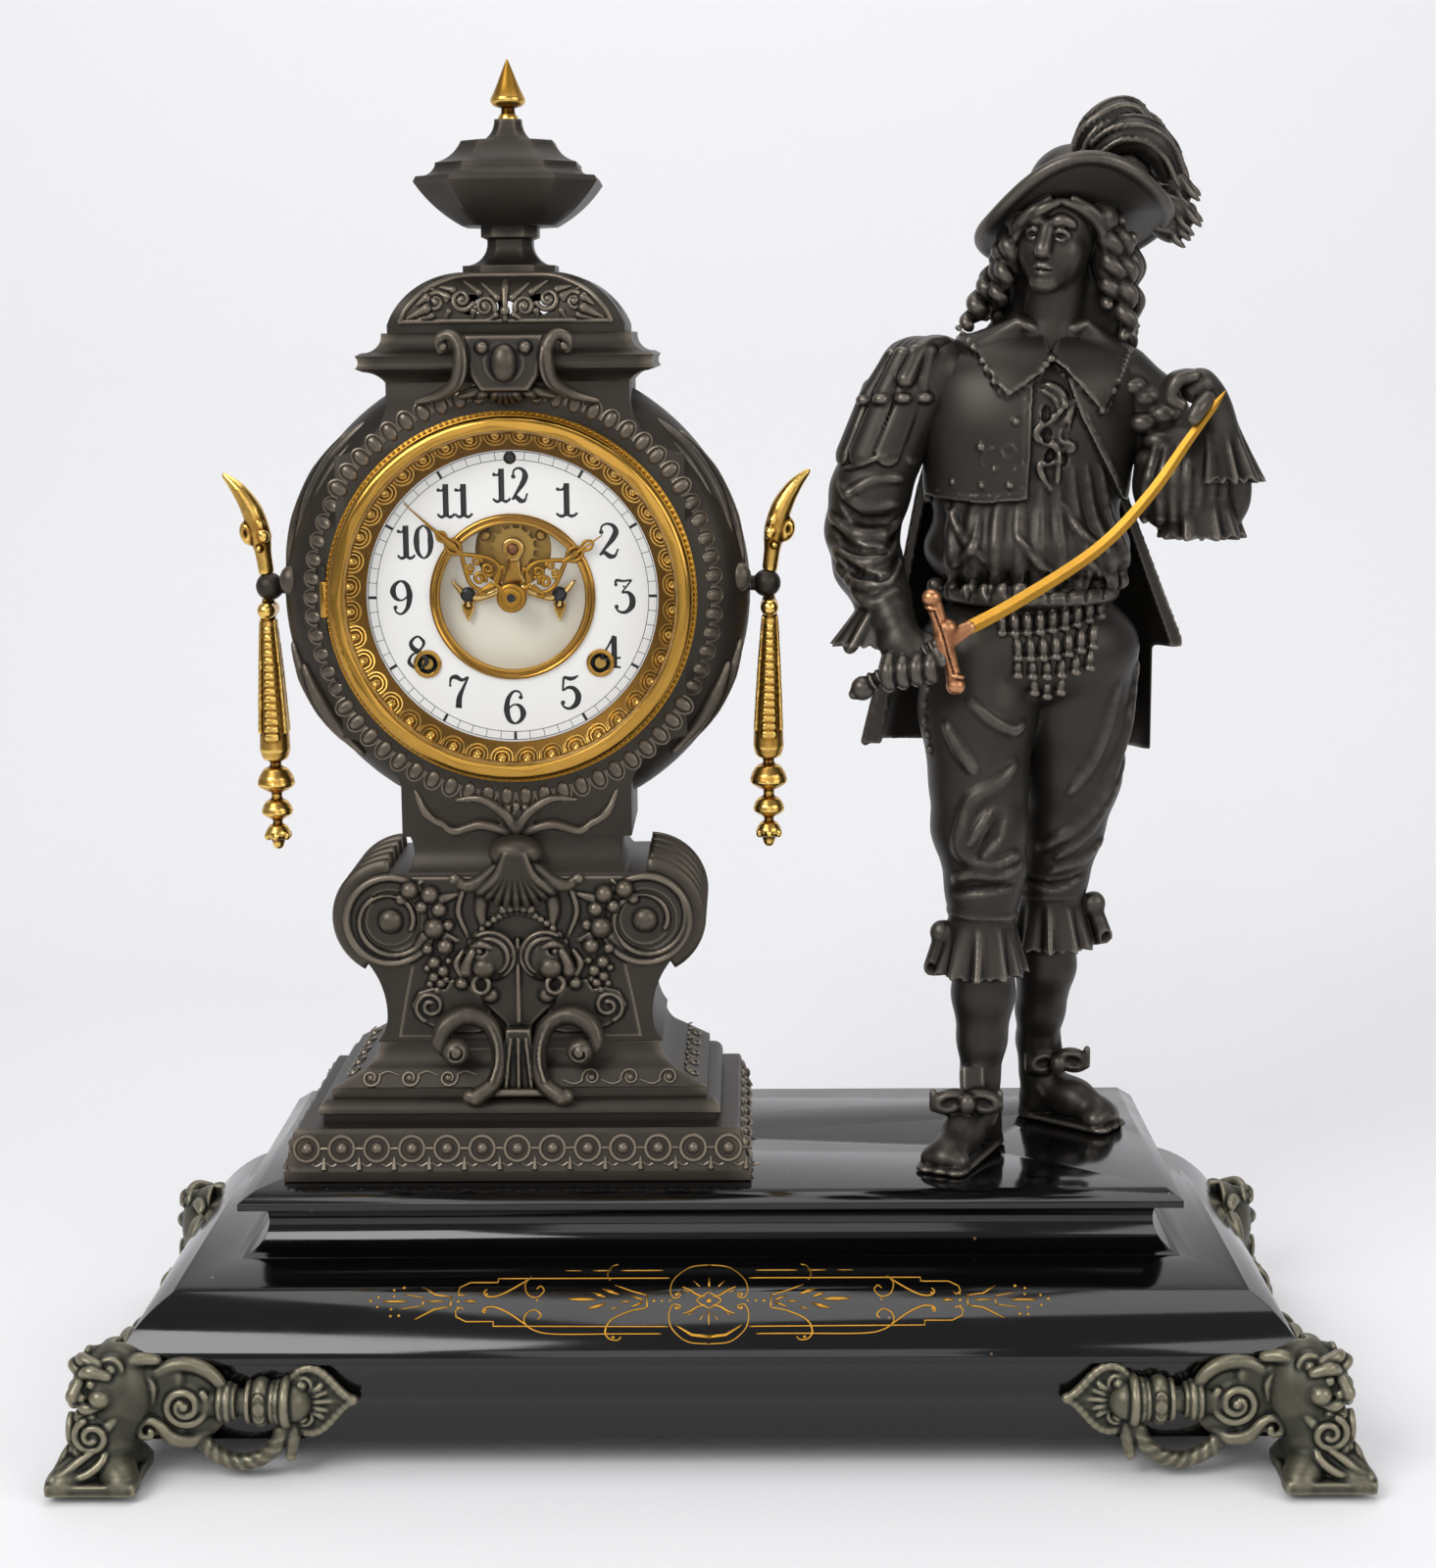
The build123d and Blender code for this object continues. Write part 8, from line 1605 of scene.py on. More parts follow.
def makePedestalRelief():
    clay = newClay((-74, -34, 122), (74, -7, 236), pedestal["grain"])
    f = pedestal["front"]
    panel = [(-49, 150), (-46, 166), (-43, 180), (-46, 196), (-42, 216), (42, 216), (46, 196), (43, 180), (46, 166), (49, 150)]
    plate(clay, panel, f - 0.4, f + 2.4, 0.4, 0.3)
    plate(clay, [(-33, 151), (33, 151), (33, 144.6), (-33, 144.6)], f - 0.1, f + 2.4, 0.4, 0.5)
    # shell with its ribs drawn together at the top, and the leaf that falls to either side of it
    ball(clay, (0, f - 2, 226), (11, 8, 7), 1.5)
    for k in range(-4, 5):
        trail(clay, [(0.9 * k, f - 8.5, 226.5), (1.7 * k, f - 8.0, 218), (3.3 * k, f - 4.5, 209.5 + 0.15 * k * k), (4.0 * k, f - 2.2, 204.5 + 0.42 * k * k)], [1.3, 1.9, 2.4, 1.7], 0.4)
    for side in (-1, 1):
        trail(clay, [(side * 6, f - 4, 221), (side * 14, f - 3.5, 214.5), (side * 20, f - 3, 213), (side * 24.5, f - 2.6, 216)], [3.0, 3.0, 2.2, 1.6], 0.8)
        ball(clay, (side * 24.5, f - 2.6, 215.5), 2.4, 0.5)
        trail(clay, [(side * 13, f - 1.4, 211), (side * 14.5, f - 1.6, 203), (side * 13.5, f - 1.0, 196)], [2.6, 2.2, 1.0], 0.8)
        trail(clay, [(side * 21, f - 0.6, 212), (side * 23.5, f - 0.6, 202), (side * 20, f - 0.4, 192)], [0.9, 1.1, 0.7], 0.5)
    # arc of berries
    for t in np.linspace(-1, 1, 17):
        ball(clay, (18.6 * t, f - 1.5, 189.5 + 12.5 * (1 - t * t)), 1.55, 0.25)
    for t in np.linspace(-0.45, 0.45, 5):
        ball(clay, (12 * t, f - 2.2, 204 - 2.0 * abs(t)), 2.0, 0.25)
    # two grotesque masks, back to back, mouths open
    plate(clay, [(-14, 165), (-10, 178), (0, 192), (10, 178), (14, 165), (7, 158), (0, 150), (-7, 158)], f - 2.6, f, 0.8, 0.6)
    for side in (-1, 1):
        ball(clay, (side * 11.2, f - 1.2, 184), (9.6, 6.6, 10.2), 0.6)
        for reach, lift in ((9.6, 0.0), (7.4, 1.6)):
            arc = [(side * 11.2 + side * reach * math.cos(a), f - 4.2 - lift, 184.5 + reach * math.sin(a)) for a in np.radians(np.linspace(60, 235, 10))]
            trail(clay, arc, [0.8, 1.1, 1.1, 0.6], 0.3)
        ball(clay, (side * 13.2, f - 6.2, 180.5), (4.6, 3.6, 4.2), 0.8)
        ball(clay, (side * 15.0, f - 6.8, 187.2), (2.6, 2.0, 1.8), 0.5, cut=True)
        ball(clay, (side * 15.0, f - 5.6, 187.0), 1.5, 0.2)
        trail(clay, [(side * 10.4, f - 7.0, 188.8), (side * 14.4, f - 7.4, 190.2), (side * 18.2, f - 5.0, 188.4)], [0.9, 1.3, 0.8], 0.5)
        trail(clay, [(side * 17.6, f - 6.0, 187), (side * 19.8, f - 6.2, 182), (side * 20.4, f - 5.6, 178.8)], [1.4, 1.9, 2.3], 0.6)
        ringBar(clay, (side * 14.8, f - 4.6, 173.2), (side * 0.35, -1, 0.2), 3.3, 1.25, 0.4)
        ball(clay, (side * 14.8, f - 6.4, 173.2), (2.4, 4.2, 2.5), 0.4, cut=True)
        ball(clay, (side * 11.4, f - 2.6, 168.5), (3.4, 3.0, 3.2), 0.8)
        ball(clay, (side * 22.6, f - 2.6, 173.2), 2.5, 0.4)
        trail(clay, [(side * 22.6, f - 1.4, 176), (side * 24.5, f - 1.2, 181), (side * 22, f - 1, 186)], [1.2, 1.5, 0.8], 0.6)
        # flat scroll wing
        wing = [(-10, 154), (-18, 152.5), (-28, 153), (-35, 155.2), (-41, 158.6), (-43, 164), (-40, 169.6), (-34.5, 171.2), (-29.5, 170.5), (-27, 174.5), (-22, 174.5), (-17, 170), (-12, 164)]
        plate(clay, wing if side < 0 else bothWays(wing), f - 1.9, f + 1, 0.6, 0.4)
        trail(clay, [(side * abs(x) if side > 0 else x, f - 2.0, z) for x, _, z in spiralLine((-35.3, 0, 163.6), 6.6, 1.6, 250, 1.5, 34, flip=-1)] if side < 0 else
              [(-x, f - 2.0, z) for x, _, z in spiralLine((-35.3, 0, 163.6), 6.6, 1.6, 250, 1.5, 34, flip=-1)], [0.7, 0.6], 0.3, count=40)
        # C-scroll bracket with a knob end, running down to a flared foot
        spine = [(-27.5, -20.5, 146), (-30.8, -19.5, 151), (-28.2, -18, 157.4), (-20.5, -16.5, 160.8), (-12.4, -16, 157.5), (-8.6, -17.5, 150), (-8.0, -20, 142), (-10, -23, 135), (-17, -25.6, 129.8)]
        spine = spine if side < 0 else bothWays(spine)
        trail(clay, spine, [2.6, 3.4, 3.8, 3.8, 3.4, 3.0, 2.8, 2.9, 3.4], 0.5, count=60)
        edge = [(x * (1 + 0.05), y - 2.6, z + 1.2) for x, y, z in spine[1:-1]]
        trail(clay, edge, [0.7, 0.9, 0.7], 0.25, count=50)
        ball(clay, (side * 24.6, -21.5, 147.5), (5.6, 5.2, 5.4), 0.5)
        trail(clay, [(side * -x if side > 0 else x, y - 5.0 + 1.6 * i / 30, z) for i, (x, y, z) in enumerate(spiralLine((-24.6, -21.5, 147.5), 4.6, 0.8, 200, 1.5, 30, flip=-1))] if side < 0 else
              [(-x, y - 5.0 + 1.6 * i / 30, z) for i, (x, y, z) in enumerate(spiralLine((-24.6, -21.5, 147.5), 4.6, 0.8, 200, 1.5, 30, flip=-1))], [0.7, 0.5], 0.25, cut=True, count=40)
        ball(clay, (side * 18.5, -25.5, 130.2), (3.6, 3.0, 3.2), 0.5)
    bar(clay, (0, f - 3.2, 191), (0, f - 4.6, 158), 0.9, 1.1, 0.4)
    for x, z, size in ((-3.4, 153.5, 1.7), (3.4, 153.5, 1.7), (0, 151.6, 2.2)):
        ball(clay, (x, -15.6, z), size, 0.3)
    plate(clay, [(-5, 156), (5, 156), (5.4, 145), (8.4, 134), (12, 129.2), (-12, 129.2), (-8.4, 134), (-5.4, 145)], -20.4, -11, 1.0, 0.8)
    for x in (-3.4, 0, 3.4):
        bar(clay, (x * 0.9, -20.6, 152), (x * 1.5, -21.6, 133), 0.6, 0.9, 0.3)
    bar(clay, (-9, -23.0, 131), (9, -23.0, 131), 1.6, 1.6, 0.6)
    # volute faces
    for side in (-1, 1):
        middle = (side * pedestal["voluteX"], pedestal["voluteZ"])
        plate(clay, disc(middle, 17.9), f - 0.5, f + 2, 0.4, 0.3)
        ringBar(clay, (middle[0], f - 0.3, middle[1]), (0, 1, 0), pedestal["rim"], 1.5, 0.3)
        coil = [(x, f - 0.7, z) for x, _, z in spiralLine((0, 0, 0), 17.0, 8.6, 150, 1.15, 50, flip=1)]
        trail(clay, [(middle[0] - side * -x if side < 0 else middle[0] - x, y, middle[1] + z) for x, y, z in coil], [0.9, 1.2, 0.9], 0.3, count=60)
        ringBar(clay, (middle[0], f - 0.6, middle[1]), (0, 1, 0), 11.2, 0.8, 0.3, cut=True)
        ball(clay, (middle[0], f - 0.6, middle[1]), (4.9, 3.6, 4.9), 0.3)
        for x, z, size in fruit:
            ball(clay, (x if side < 0 else -x, f - 1.3, z), size, 0.3)
        for x, z in ((-27.8, 182), (-36.4, 179), (-35.5, 172.6), (-29, 174.5), (-32.6, 170)):
            ball(clay, (x if side < 0 else -x, f - 1.0, z), 1.5, 0.2)
        for a, b in (((-46, 207), (-38, 214)), ((-30, 207), (-24, 209)), ((-37, 192), (-42, 186)), ((-29, 192), (-24, 190))):
            sx = 1 if side < 0 else -1
            bar(clay, (sx * a[0], f - 0.9, a[1]), (sx * b[0], f - 0.6, b[1]), 2.2, 0.8, 0.4, thin=((0, 1, 0), 1.4))
    return clay


settle(skinned(makePedestalRelief(), "pedestalRelief", caseShift), "pedestalRelief", patinatedSpelter, "frame", sharp=0)


def reedShapes():
    # half-round reeds over the rounded ends of the pedestal
    shapes = []
    for side in (-1, 1):
        for k in range(5):
            y = -4.5 + 13.2 * k
            arc = [(place["caseX"] + side * (50.5 + 18.6 * math.cos(a)), y, 198.3 + 18.6 * math.sin(a)) for a in np.radians(np.linspace(88, -62, 26))]
            shapes.append(tubeShape(arc, 5.6, 10, flat=0.34, up=(0, 1, 0)))
    return shapes


settle(meshFrom("pedestalReeds", *joined(reedShapes())), "pedestalReeds", patinatedSpelter, "frame", sharp=0)
print("stage: pedestal relief")

# ring-and-pearl band and small tongues round the plinth's foot
band = {"pitch": 13.85, "front": 13, "side": 8, "z": 111.6}


def pearlRing():
    pearl = turnedShape([(0, 2.5), (1.2, 2.25), (2.2, 1.4), (2.7, 0.2), (2.7, -0.6)], 14, "z", (0, 0, 0))
    ring = [(4.9 * math.cos(a), 4.9 * math.sin(a), 0.15) for a in np.linspace(0, 2 * math.pi, 25)]
    shapes = [(pearl[0], pearl[1]), tubeShape(ring, 0.95, 6, up=(0, 0, 1))]
    shapes.append(tubeShape([(4.6, 0, 0.1), (9.2, 0, 0.1)], 0.6, 5, up=(0, 0, 1)))
    for y0, y1, wide in ((-6.2, -8.2, 1.5),):
        shapes.append(tubeShape([(band["pitch"] / 2, -3.4, 0.1), (band["pitch"] / 2, y1, 0.25)], [0.5, wide], 6, up=(0, 0, 1)))
    swag = [(2.0, -6.1, 0.1), (4.0, -6.9, 0.1), (band["pitch"] / 2, -5.4, 0.1), (band["pitch"] - 4.0, -6.9, 0.1), (band["pitch"] - 2.0, -6.1, 0.1)]
    shapes.append(tubeShape(smoothLine(swag, 15), 0.45, 5, up=(0, 0, 1)))
    return joined(shapes)


def plinthSpots(z, drop, frontCount, sideCount, pitch, lean):
    # places round the plinth at a height: drop is how far that face stands behind the plinth's edge
    spots = []
    out = math.cos(lean)
    for k in range(frontCount):
        x = (k - (frontCount - 1) / 2) * pitch
        spots.append(((caseMiddle[0] + x, caseMiddle[1] - plinth["halfY"] + drop, z), (0, -out, math.sin(lean)), (1, 0, 0), 1.0))
        spots.append(((caseMiddle[0] - x, caseMiddle[1] + plinth["halfY"] - drop, z), (0, out, math.sin(lean)), (-1, 0, 0), 1.0))
    for k in range(sideCount):
        y = (k - (sideCount - 1) / 2) * pitch
        spots.append(((caseMiddle[0] + plinth["halfX"] - drop, caseMiddle[1] + y, z), (out, 0, math.sin(lean)), (0, 1, 0), 1.0))
        spots.append(((caseMiddle[0] - plinth["halfX"] + drop, caseMiddle[1] - y, z), (-out, 0, math.sin(lean)), (0, -1, 0), 1.0))
    return spots


setRow("plinthPearls", plinthSpots(band["z"], 2.7, band["front"], band["side"], band["pitch"], 0.25), pearlRing(), patinatedSpelter, "frame", wearAndPaintedLight=True)


def waveItem():
    coil = [(x, y, 0.1) for x, _, y in spiralLine((0, 0, 0), 3.9, 1.5, 200, 1.2, 22, flip=-1)]
    tail = smoothLine([(-3.6, -1.4, 0.1), (-7.0, -2.6, 0.1), (-11.5, -1.0, 0.1)], 8)
    pearl = turnedShape([(0, 1.7), (0.9, 1.5), (1.6, 0.6), (1.7, -0.4)], 10, "z", (0, 0, 0))
    return joined([tubeShape(coil, 0.62, 6, up=(0, 0, 1)), tubeShape(tail, [0.6, 0.5, 0.3], 6, up=(0, 0, 1)), (pearl[0], pearl[1])])


waveSpots = []
for x in (28.5, 44.0, 59.5):
    for side in (-1, 1):
        waveSpots.append(((caseMiddle[0] + side * x, -16.8, 135.4), (0, -0.9, 0.45), (side, 0, 0), 1.0))
for y in (-30, -15, 0, 15, 30):
    for side in (-1, 1):
        waveSpots.append(((caseMiddle[0] + side * 67.9, caseMiddle[1] + y, 135.4), (side * 0.5, 0, 0.87), (0, -1, 0), 1.0))
setRow("friezeWaves", waveSpots, waveItem(), patinatedSpelter, "frame", wearAndPaintedLight=True)
print("stage: plinth bands")

# tongues round the drum, on the slope outside the bezel
drumBand = {"count": 66, "radius": 78.6}


def tongueItem():
    egg = turnedShape([(0, 3.6), (1.1, 3.2), (2.0, 2.0), (2.3, 0.4), (2.2, -1.6), (1.6, -3.2), (0, -3.9)], 10, "z", (0, 0, 0))
    body = egg[0][:, [2, 0, 1]] * (1.0, 1.0, 0.5)
    shell = [(-4.4 * math.cos(a), 3.3 * math.sin(a), 0.1) for a in np.radians(np.linspace(-112, 112, 13))]
    return joined([(body, egg[1]), tubeShape(shell, 0.5, 5, up=(0, 0, 1))])


drumTree = BVHTree.FromPolygons([v.co.copy() for v in drumPiece.data.vertices], [tuple(p.vertices) for p in drumPiece.data.polygons])
tongueSpots = []
for k in range(drumBand["count"]):
    u, v = clockWay(12 * (k + 0.5) / drumBand["count"])
    x, _, z = onDial(drumBand["radius"] * u, drumBand["radius"] * v, 0)
    spot, normal, _, _ = drumTree.ray_cast(Vector((x * mm, -0.2, z * mm)), Vector((0, 1, 0)))
    if spot is None or normal.y > -0.4:
        continue
    out = np.array(normal)
    along = np.array([-u, 0, -v]) - out * np.dot(out, (-u, 0, -v))
    tongueSpots.append((np.array(spot) / mm, out, along / np.linalg.norm(along), 1.0))
setRow("drumTongues", tongueSpots, tongueItem(), patinatedSpelter, "frame", wearAndPaintedLight=True)


def makeDrumLeaves():
    # acanthus leaves that sweep round the drum's outer edge, and the low relief under the dial
    clay = newClay((-98, -14, 226), (98, 20, 402), 0.9)
    for side in (-1, 1):
        for start, end, reach, depth, size in ((50, 14, 88.5, 7.5, 2.8), (44, 6, 91.0, 11.5, 2.6), (46, 20, 85.8, 4.6, 2.0), (-18, -46, 88.5, 7.5, 2.4), (-12, -40, 91.0, 11.5, 2.2)):
            line = [(side * reach * math.cos(a), depth + 2.2 * math.sin(3 * a), place["dialZ"] + reach * math.sin(a)) for a in np.radians(np.linspace(start, end, 9))]
            trail(clay, line, [0.8, size, size * 0.9, 0.6], 1.2)
        ball(clay, (side * 88.5, 10, place["dialZ"] + 6), (5, 4.5, 6), 1.2)
        trail(clay, [(0, -7.4, 234), (side * 5, -7.6, 241), (side * 14, -7.2, 246.5), (side * 24, -6.4, 246)], [2.2, 2.0, 1.6, 0.8], 0.8)
        trail(clay, [(side * 3, -7.2, 233), (side * 14, -7.0, 236), (side * 25, -6.6, 233.5), (side * 31, -6.2, 238)], [1.6, 2.0, 1.6, 1.0], 0.8)
        trail(clay, [(side * 30, -6.6, 236), (side * 36, -6.4, 241), (side * 40, -6.0, 250)], [1.0, 1.6, 0.7], 0.8)
    for k in range(-2, 3):
        bar(clay, (1.3 * k, -7.4, 232), (3.6 * k, -7.0, 244 - 0.8 * k * k), 0.9, 1.6, 0.4)
    return clay


settle(skinned(makeDrumLeaves(), "drumLeaves", caseShift), "drumLeaves", patinatedSpelter, "frame", sharp=0)


def makeCrest():
    # the cornice's crest: cabochon, two beads, scroll brackets and a drop of leaves
    clay = newClay((-44, -27, 396), (44, -2, 432), 0.5)
    plate(clay, [(-15, 427), (15, 427), (13, 412), (9, 406), (-9, 406), (-13, 412)], -18.6, -8, 1.2, 0.6)
    ball(clay, (0, -18.2, 416.6), (5.0, 4.4, 7.2), 0.4)
    ringBar(clay, (0, -18.0, 416.6), (0, 1, 0), 7.4, 0.8, 0.4)
    for side in (-1, 1):
        ball(clay, (side * 8.2, -18.8, 422.4), 2.4, 0.4)
        trail(clay, [(side * 24, -16.5, 421.5), (side * 24.5, -17.5, 425.5), (side * 20, -18.5, 427), (side * 16.6, -19.4, 422.5), (side * 16.4, -19.8, 415.5), (side * 18.6, -17, 409), (side * 25.5, -11.5, 404.5), (side * 35, -8.2, 402)],
              [1.6, 1.9, 2.2, 2.6, 2.8, 2.6, 2.2, 1.0], 0.5, count=50)
        trail(clay, [(side * 15, -21.4, 422), (side * 14.6, -21.8, 415.5), (side * 16.8, -19.2, 408.5), (side * 23, -14, 403.8)], [0.7, 0.9, 0.6], 0.3)
        ball(clay, (side * 23, -17.4, 423), 2.1, 0.4)
        for k in range(3):
            trail(clay, [(side * 1.5, -13 + k, 409), (side * (4 + 4.5 * k), -11.5 + k, 405.5), (side * (6 + 6 * k), -9 + 0.5 * k, 403.2 + 0.4 * k)], [1.6, 2.2, 1.2], 0.5)
    for k in range(-2, 3):
        trail(clay, [(0.6 * k, -16.5, 410), (1.8 * k, -14, 405.5), (2.6 * k, -10, 401.5 + 0.3 * k * k)], [1.3, 1.9, 1.1], 0.4)
    return clay


settle(skinned(makeCrest(), "corniceCrest", caseShift), "corniceCrest", patinatedSpelter, "frame", sharp=0)

domeArc = np.array(arcPoints((30.0, 431.0), (18.0, 451.0), 5.0, 40))


def onDomeFront(x, z, lift=0.0):
    depth = np.interp(z, domeArc[:, 1], domeArc[:, 0])
    return (x, caseMiddle[1] - depth - lift, z)


def makeDomeFoliage():
    clay = newClay((-45, -20, 427), (45, 10, 452), 0.42)
    rim = smoothLine([(-40.5, 432), (-38, 437), (-32, 443), (-24, 447.5), (-16, 449.6), (0, 449.8), (16, 449.6), (24, 447.5), (32, 443), (38, 437), (40.5, 432)], 60)
    trail(clay, [onDomeFront(x, z, 0.2) for x, z in rim], [1.0], 0.3, count=80)
    trail(clay, [onDomeFront(x, 432.4, 0.3) for x in np.linspace(-40.5, 40.5, 9)], [1.0], 0.3)
    trail(clay, [onDomeFront(0, z, 0.6) for z in (433, 438, 444, 447.5)], [1.3, 1.0, 1.6, 0.7], 0.3)
    ball(clay, onDomeFront(0, 436, 0.8), (2.0, 1.6, 2.0), 0.3)
    for side in (-1, 1):
        for cx, cz, r, start, turns, flip in ((7.6, 437.6, 4.0, 200, 1.4, -1), (16.5, 440.5, 4.6, 200, 1.4, 1), (26.5, 439.5, 4.2, 170, 1.4, -1)):
            coil = spiralLine((cx, 0, cz), r, 1.0, start, turns, 26, flip=flip)
            trail(clay, [onDomeFront(side * x, z, 0.5) for x, _, z in coil], [1.05, 0.9, 1.1], 0.25, count=34)
            ball(clay, onDomeFront(side * cx, cz, 0.7), (1.5, 1.3, 1.5), 0.2)
        for x0, z0, x1, z1, wide in ((3, 441, 9, 446.5, 1.7), (10, 443, 16, 447.4, 1.5), (20, 444, 25, 445.2, 1.6), (21.5, 436, 23, 433.4, 1.4), (12, 436, 12.5, 433.4, 1.4), (30, 441, 34, 438.4, 2.0),
                                     (30, 437, 37.5, 433.6, 2.2), (28, 434.5, 33, 433.2, 1.4), (22, 441.5, 28, 444.4, 1.6), (3.4, 434.5, 6.4, 432.9, 1.3)):
            bar(clay, onDomeFront(side * x0, z0, 0.5), onDomeFront(side * x1, z1, 0.4), wide, 0.5, 0.25)
    return clay


settle(skinned(makeDomeFoliage(), "domeFoliage", caseShift), "domeFoliage", patinatedSpelter, "frame", sharp=0)
print("stage: drum, crest and dome")

# the two gilt side handles
handleSet = {"x": 100.2, "z": 328.6, "y": 21.8}


def makeHandle():
    # drawn for the right side: leaf on top, eye, a long tapered body with overlapping scales, three bells
    clay = newClay((86, 8, 213), (120, 36, 376), 0.5)
    y = handleSet["y"]
    trail(clay, [(116.2, y, 373), (110.6, y, 367), (105.8, y, 359), (103.0, y, 350), (101.8, y, 342), (100.8, y, 334)], [1.0, 2.8, 4.0, 4.2, 3.0, 2.8], 0.6, count=40)
    for k in range(5):
        t = k / 4
        spot = np.array([103.0 + 9.0 * t ** 1.4, y, 349 + 18 * t])
        for front in (-1, 1):
            ball(clay, spot + np.array([-2.0, front * (3.2 - 1.6 * t), 0]), (2.2 - 0.8 * t, 2.0 - 0.8 * t, 3.0 - 0.8 * t), 0.4, turn=(0, 25, 0))
    ball(clay, (107.2, y, 350), (3.8, 3.6, 5.2), 0.5, turn=(0, 14, 0))
    ball(clay, (109.0, y - 3.8, 350), (1.8, 1.4, 3.0), 0.4, cut=True)
    bar(clay, (102.6, y - 4.6, 344), (102.6, y + 4.6, 344), 1.2, 1.2, 0.4)
    bar(clay, (100.8, y, 336), (100.4, y, 322), 2.6, 2.6, 0.6)
    bar(clay, (100.6, y - 4.8, 319.2), (100.6, y + 4.8, 319.2), 3.6, 3.6, 0.4)
    for front in (-1, 1):
        ball(clay, (100.6, y + front * 5.6, 319.2), (1.8, 1.4, 1.8), 0.3, cut=True)
    trail(clay, [(100.8, y, 315), (100.4, y, 296), (100.0, y, 275), (100.0, y, 264)], [3.2, 4.4, 5.6, 5.8], 0.5, count=24)
    for front in (-1, 1):
        for edge in (-1, 1):
            trail(clay, [(100.8 + edge * 2.8, y + front * 1.8, 315), (100.4 + edge * 3.9, y + front * 2.6, 296), (100.0 + edge * 5.1, y + front * 3.4, 270)], [0.6, 0.8, 0.9], 0.3)
        for k in range(15):
            t = k / 14
            ball(clay, (100.7 - 0.6 * t, y + front * (3.0 + 2.5 * t), 311 - 43 * t), (1.7 + 1.4 * t, 0.9, 1.6 + 0.5 * t), 0.2)
    turned = [(5.8, 268), (6.2, 262.3), (5.0, 258.6), (2.3, 257.4), (2.3, 255.6), (4.8, 254.6), (6.9, 251.4), (7.7, 248.2), (6.6, 247.0), (4.4, 245.6), (2.2, 244.6), (2.2, 242.2), (4.4, 241.2), (6.0, 238.6), (6.4, 236.3), (5.2, 235.2), (3.4, 234.2),
              (2.0, 233.4), (2.0, 231.8), (3.6, 231.0), (4.9, 228.8), (5.1, 227.1), (4.2, 225.8), (2.8, 225.2), (2.4, 223.6), (1.2, 222.2)]
    radii, heights = np.array([r for r, _ in turned])[::-1], np.array([z for _, z in turned])[::-1]

    def bells(x, y0, z):
        reach = np.sqrt((x - 100.0) ** 2 + (y0 - y) ** 2)
        wall = np.interp(z, heights, radii)
        return (np.maximum(np.maximum(reach - wall, z - 268), 222.2 - z) * 0.8).astype(np.float32)

    press(clay, bells, (91, y - 9, 222), (109, y + 9, 268), 0.3)
    for k in range(6):
        a = math.radians(60 * k + 30)
        bar(clay, (100 + 3.6 * math.cos(a), y + 3.6 * math.sin(a), 253.4), (100 + 7.0 * math.cos(a), y + 7.0 * math.sin(a), 248.4), 0.5, 0.9, 0.3)
        ball(clay, (100 + 4.4 * math.cos(a), y + 4.4 * math.sin(a), 227), (1.5, 1.5, 1.8), 0.3)
    ball(clay, (100, y, 223.4), (2.3, 2.3, 2.2), 0.4)
    ball(clay, (99.6, y, 328.6), 5.75, 0.0, cut=True)
    return clay


handleClay = makeHandle()
for side, name, node in ((1, "handleRight", "handle_right"), (-1, "handleLeft", "handle_left")):
    mesh = skinned(handleClay, name, (0, 0, 0))
    if side < 0:
        mesh.transform(Matrix.Scale(-1, 4, (1, 0, 0)))
        mesh.flip_normals()
    mesh.transform(Matrix.Translation((place["caseX"] * mm, 0, 0)))
    settle(mesh, name, giltCasting, "frame", (node,), sharp=0)
print("stage: handles")
# gilt lines cut into the cushion's front; drawn on a grid of 0.176 mm with its middle at the medallion
giltPaint = castMetal("goldPaintIncised", {
    "body": "#d6a040", "patch": "#b5822c", "deep": "#6f4a16", "bright": "#eec878", "metallic": 0.9, "rough": 0.38, "brightRough": 0.3,
    "mottle": 5, "pits": 0.8, "ragged": 0.3, "rubAndHighlightFrom": 0.3, "rubAndHighlightTo": 1.0, "bump": 0.1})
giltDrawing = {"grid": 0.176, "line": 0.33, "bottom": 133.0, "top": -85.0}
slopeView = np.array([onCushion(0, u) for u in np.linspace(0, 1, 61)])
slopeSeen = 0.985 * slopeView[:, 2] + 0.174 * slopeView[:, 1]
slopeSeen = (slopeSeen - slopeSeen[0]) / (slopeSeen[-1] - slopeSeen[0])


def onDrawing(px, py, lift=0.05):
    seen = (giltDrawing["bottom"] - py) / (giltDrawing["bottom"] - giltDrawing["top"])
    return onCushion(px * giltDrawing["grid"], float(np.interp(seen, slopeSeen, np.linspace(0, 1, 61))), lift)


def curl(cx, cy, start, end, angle, turns, flip):
    return [(x, y) for x, _, y in spiralLine((cx, 0, cy), start, end, angle, turns, 20, flip=flip)]


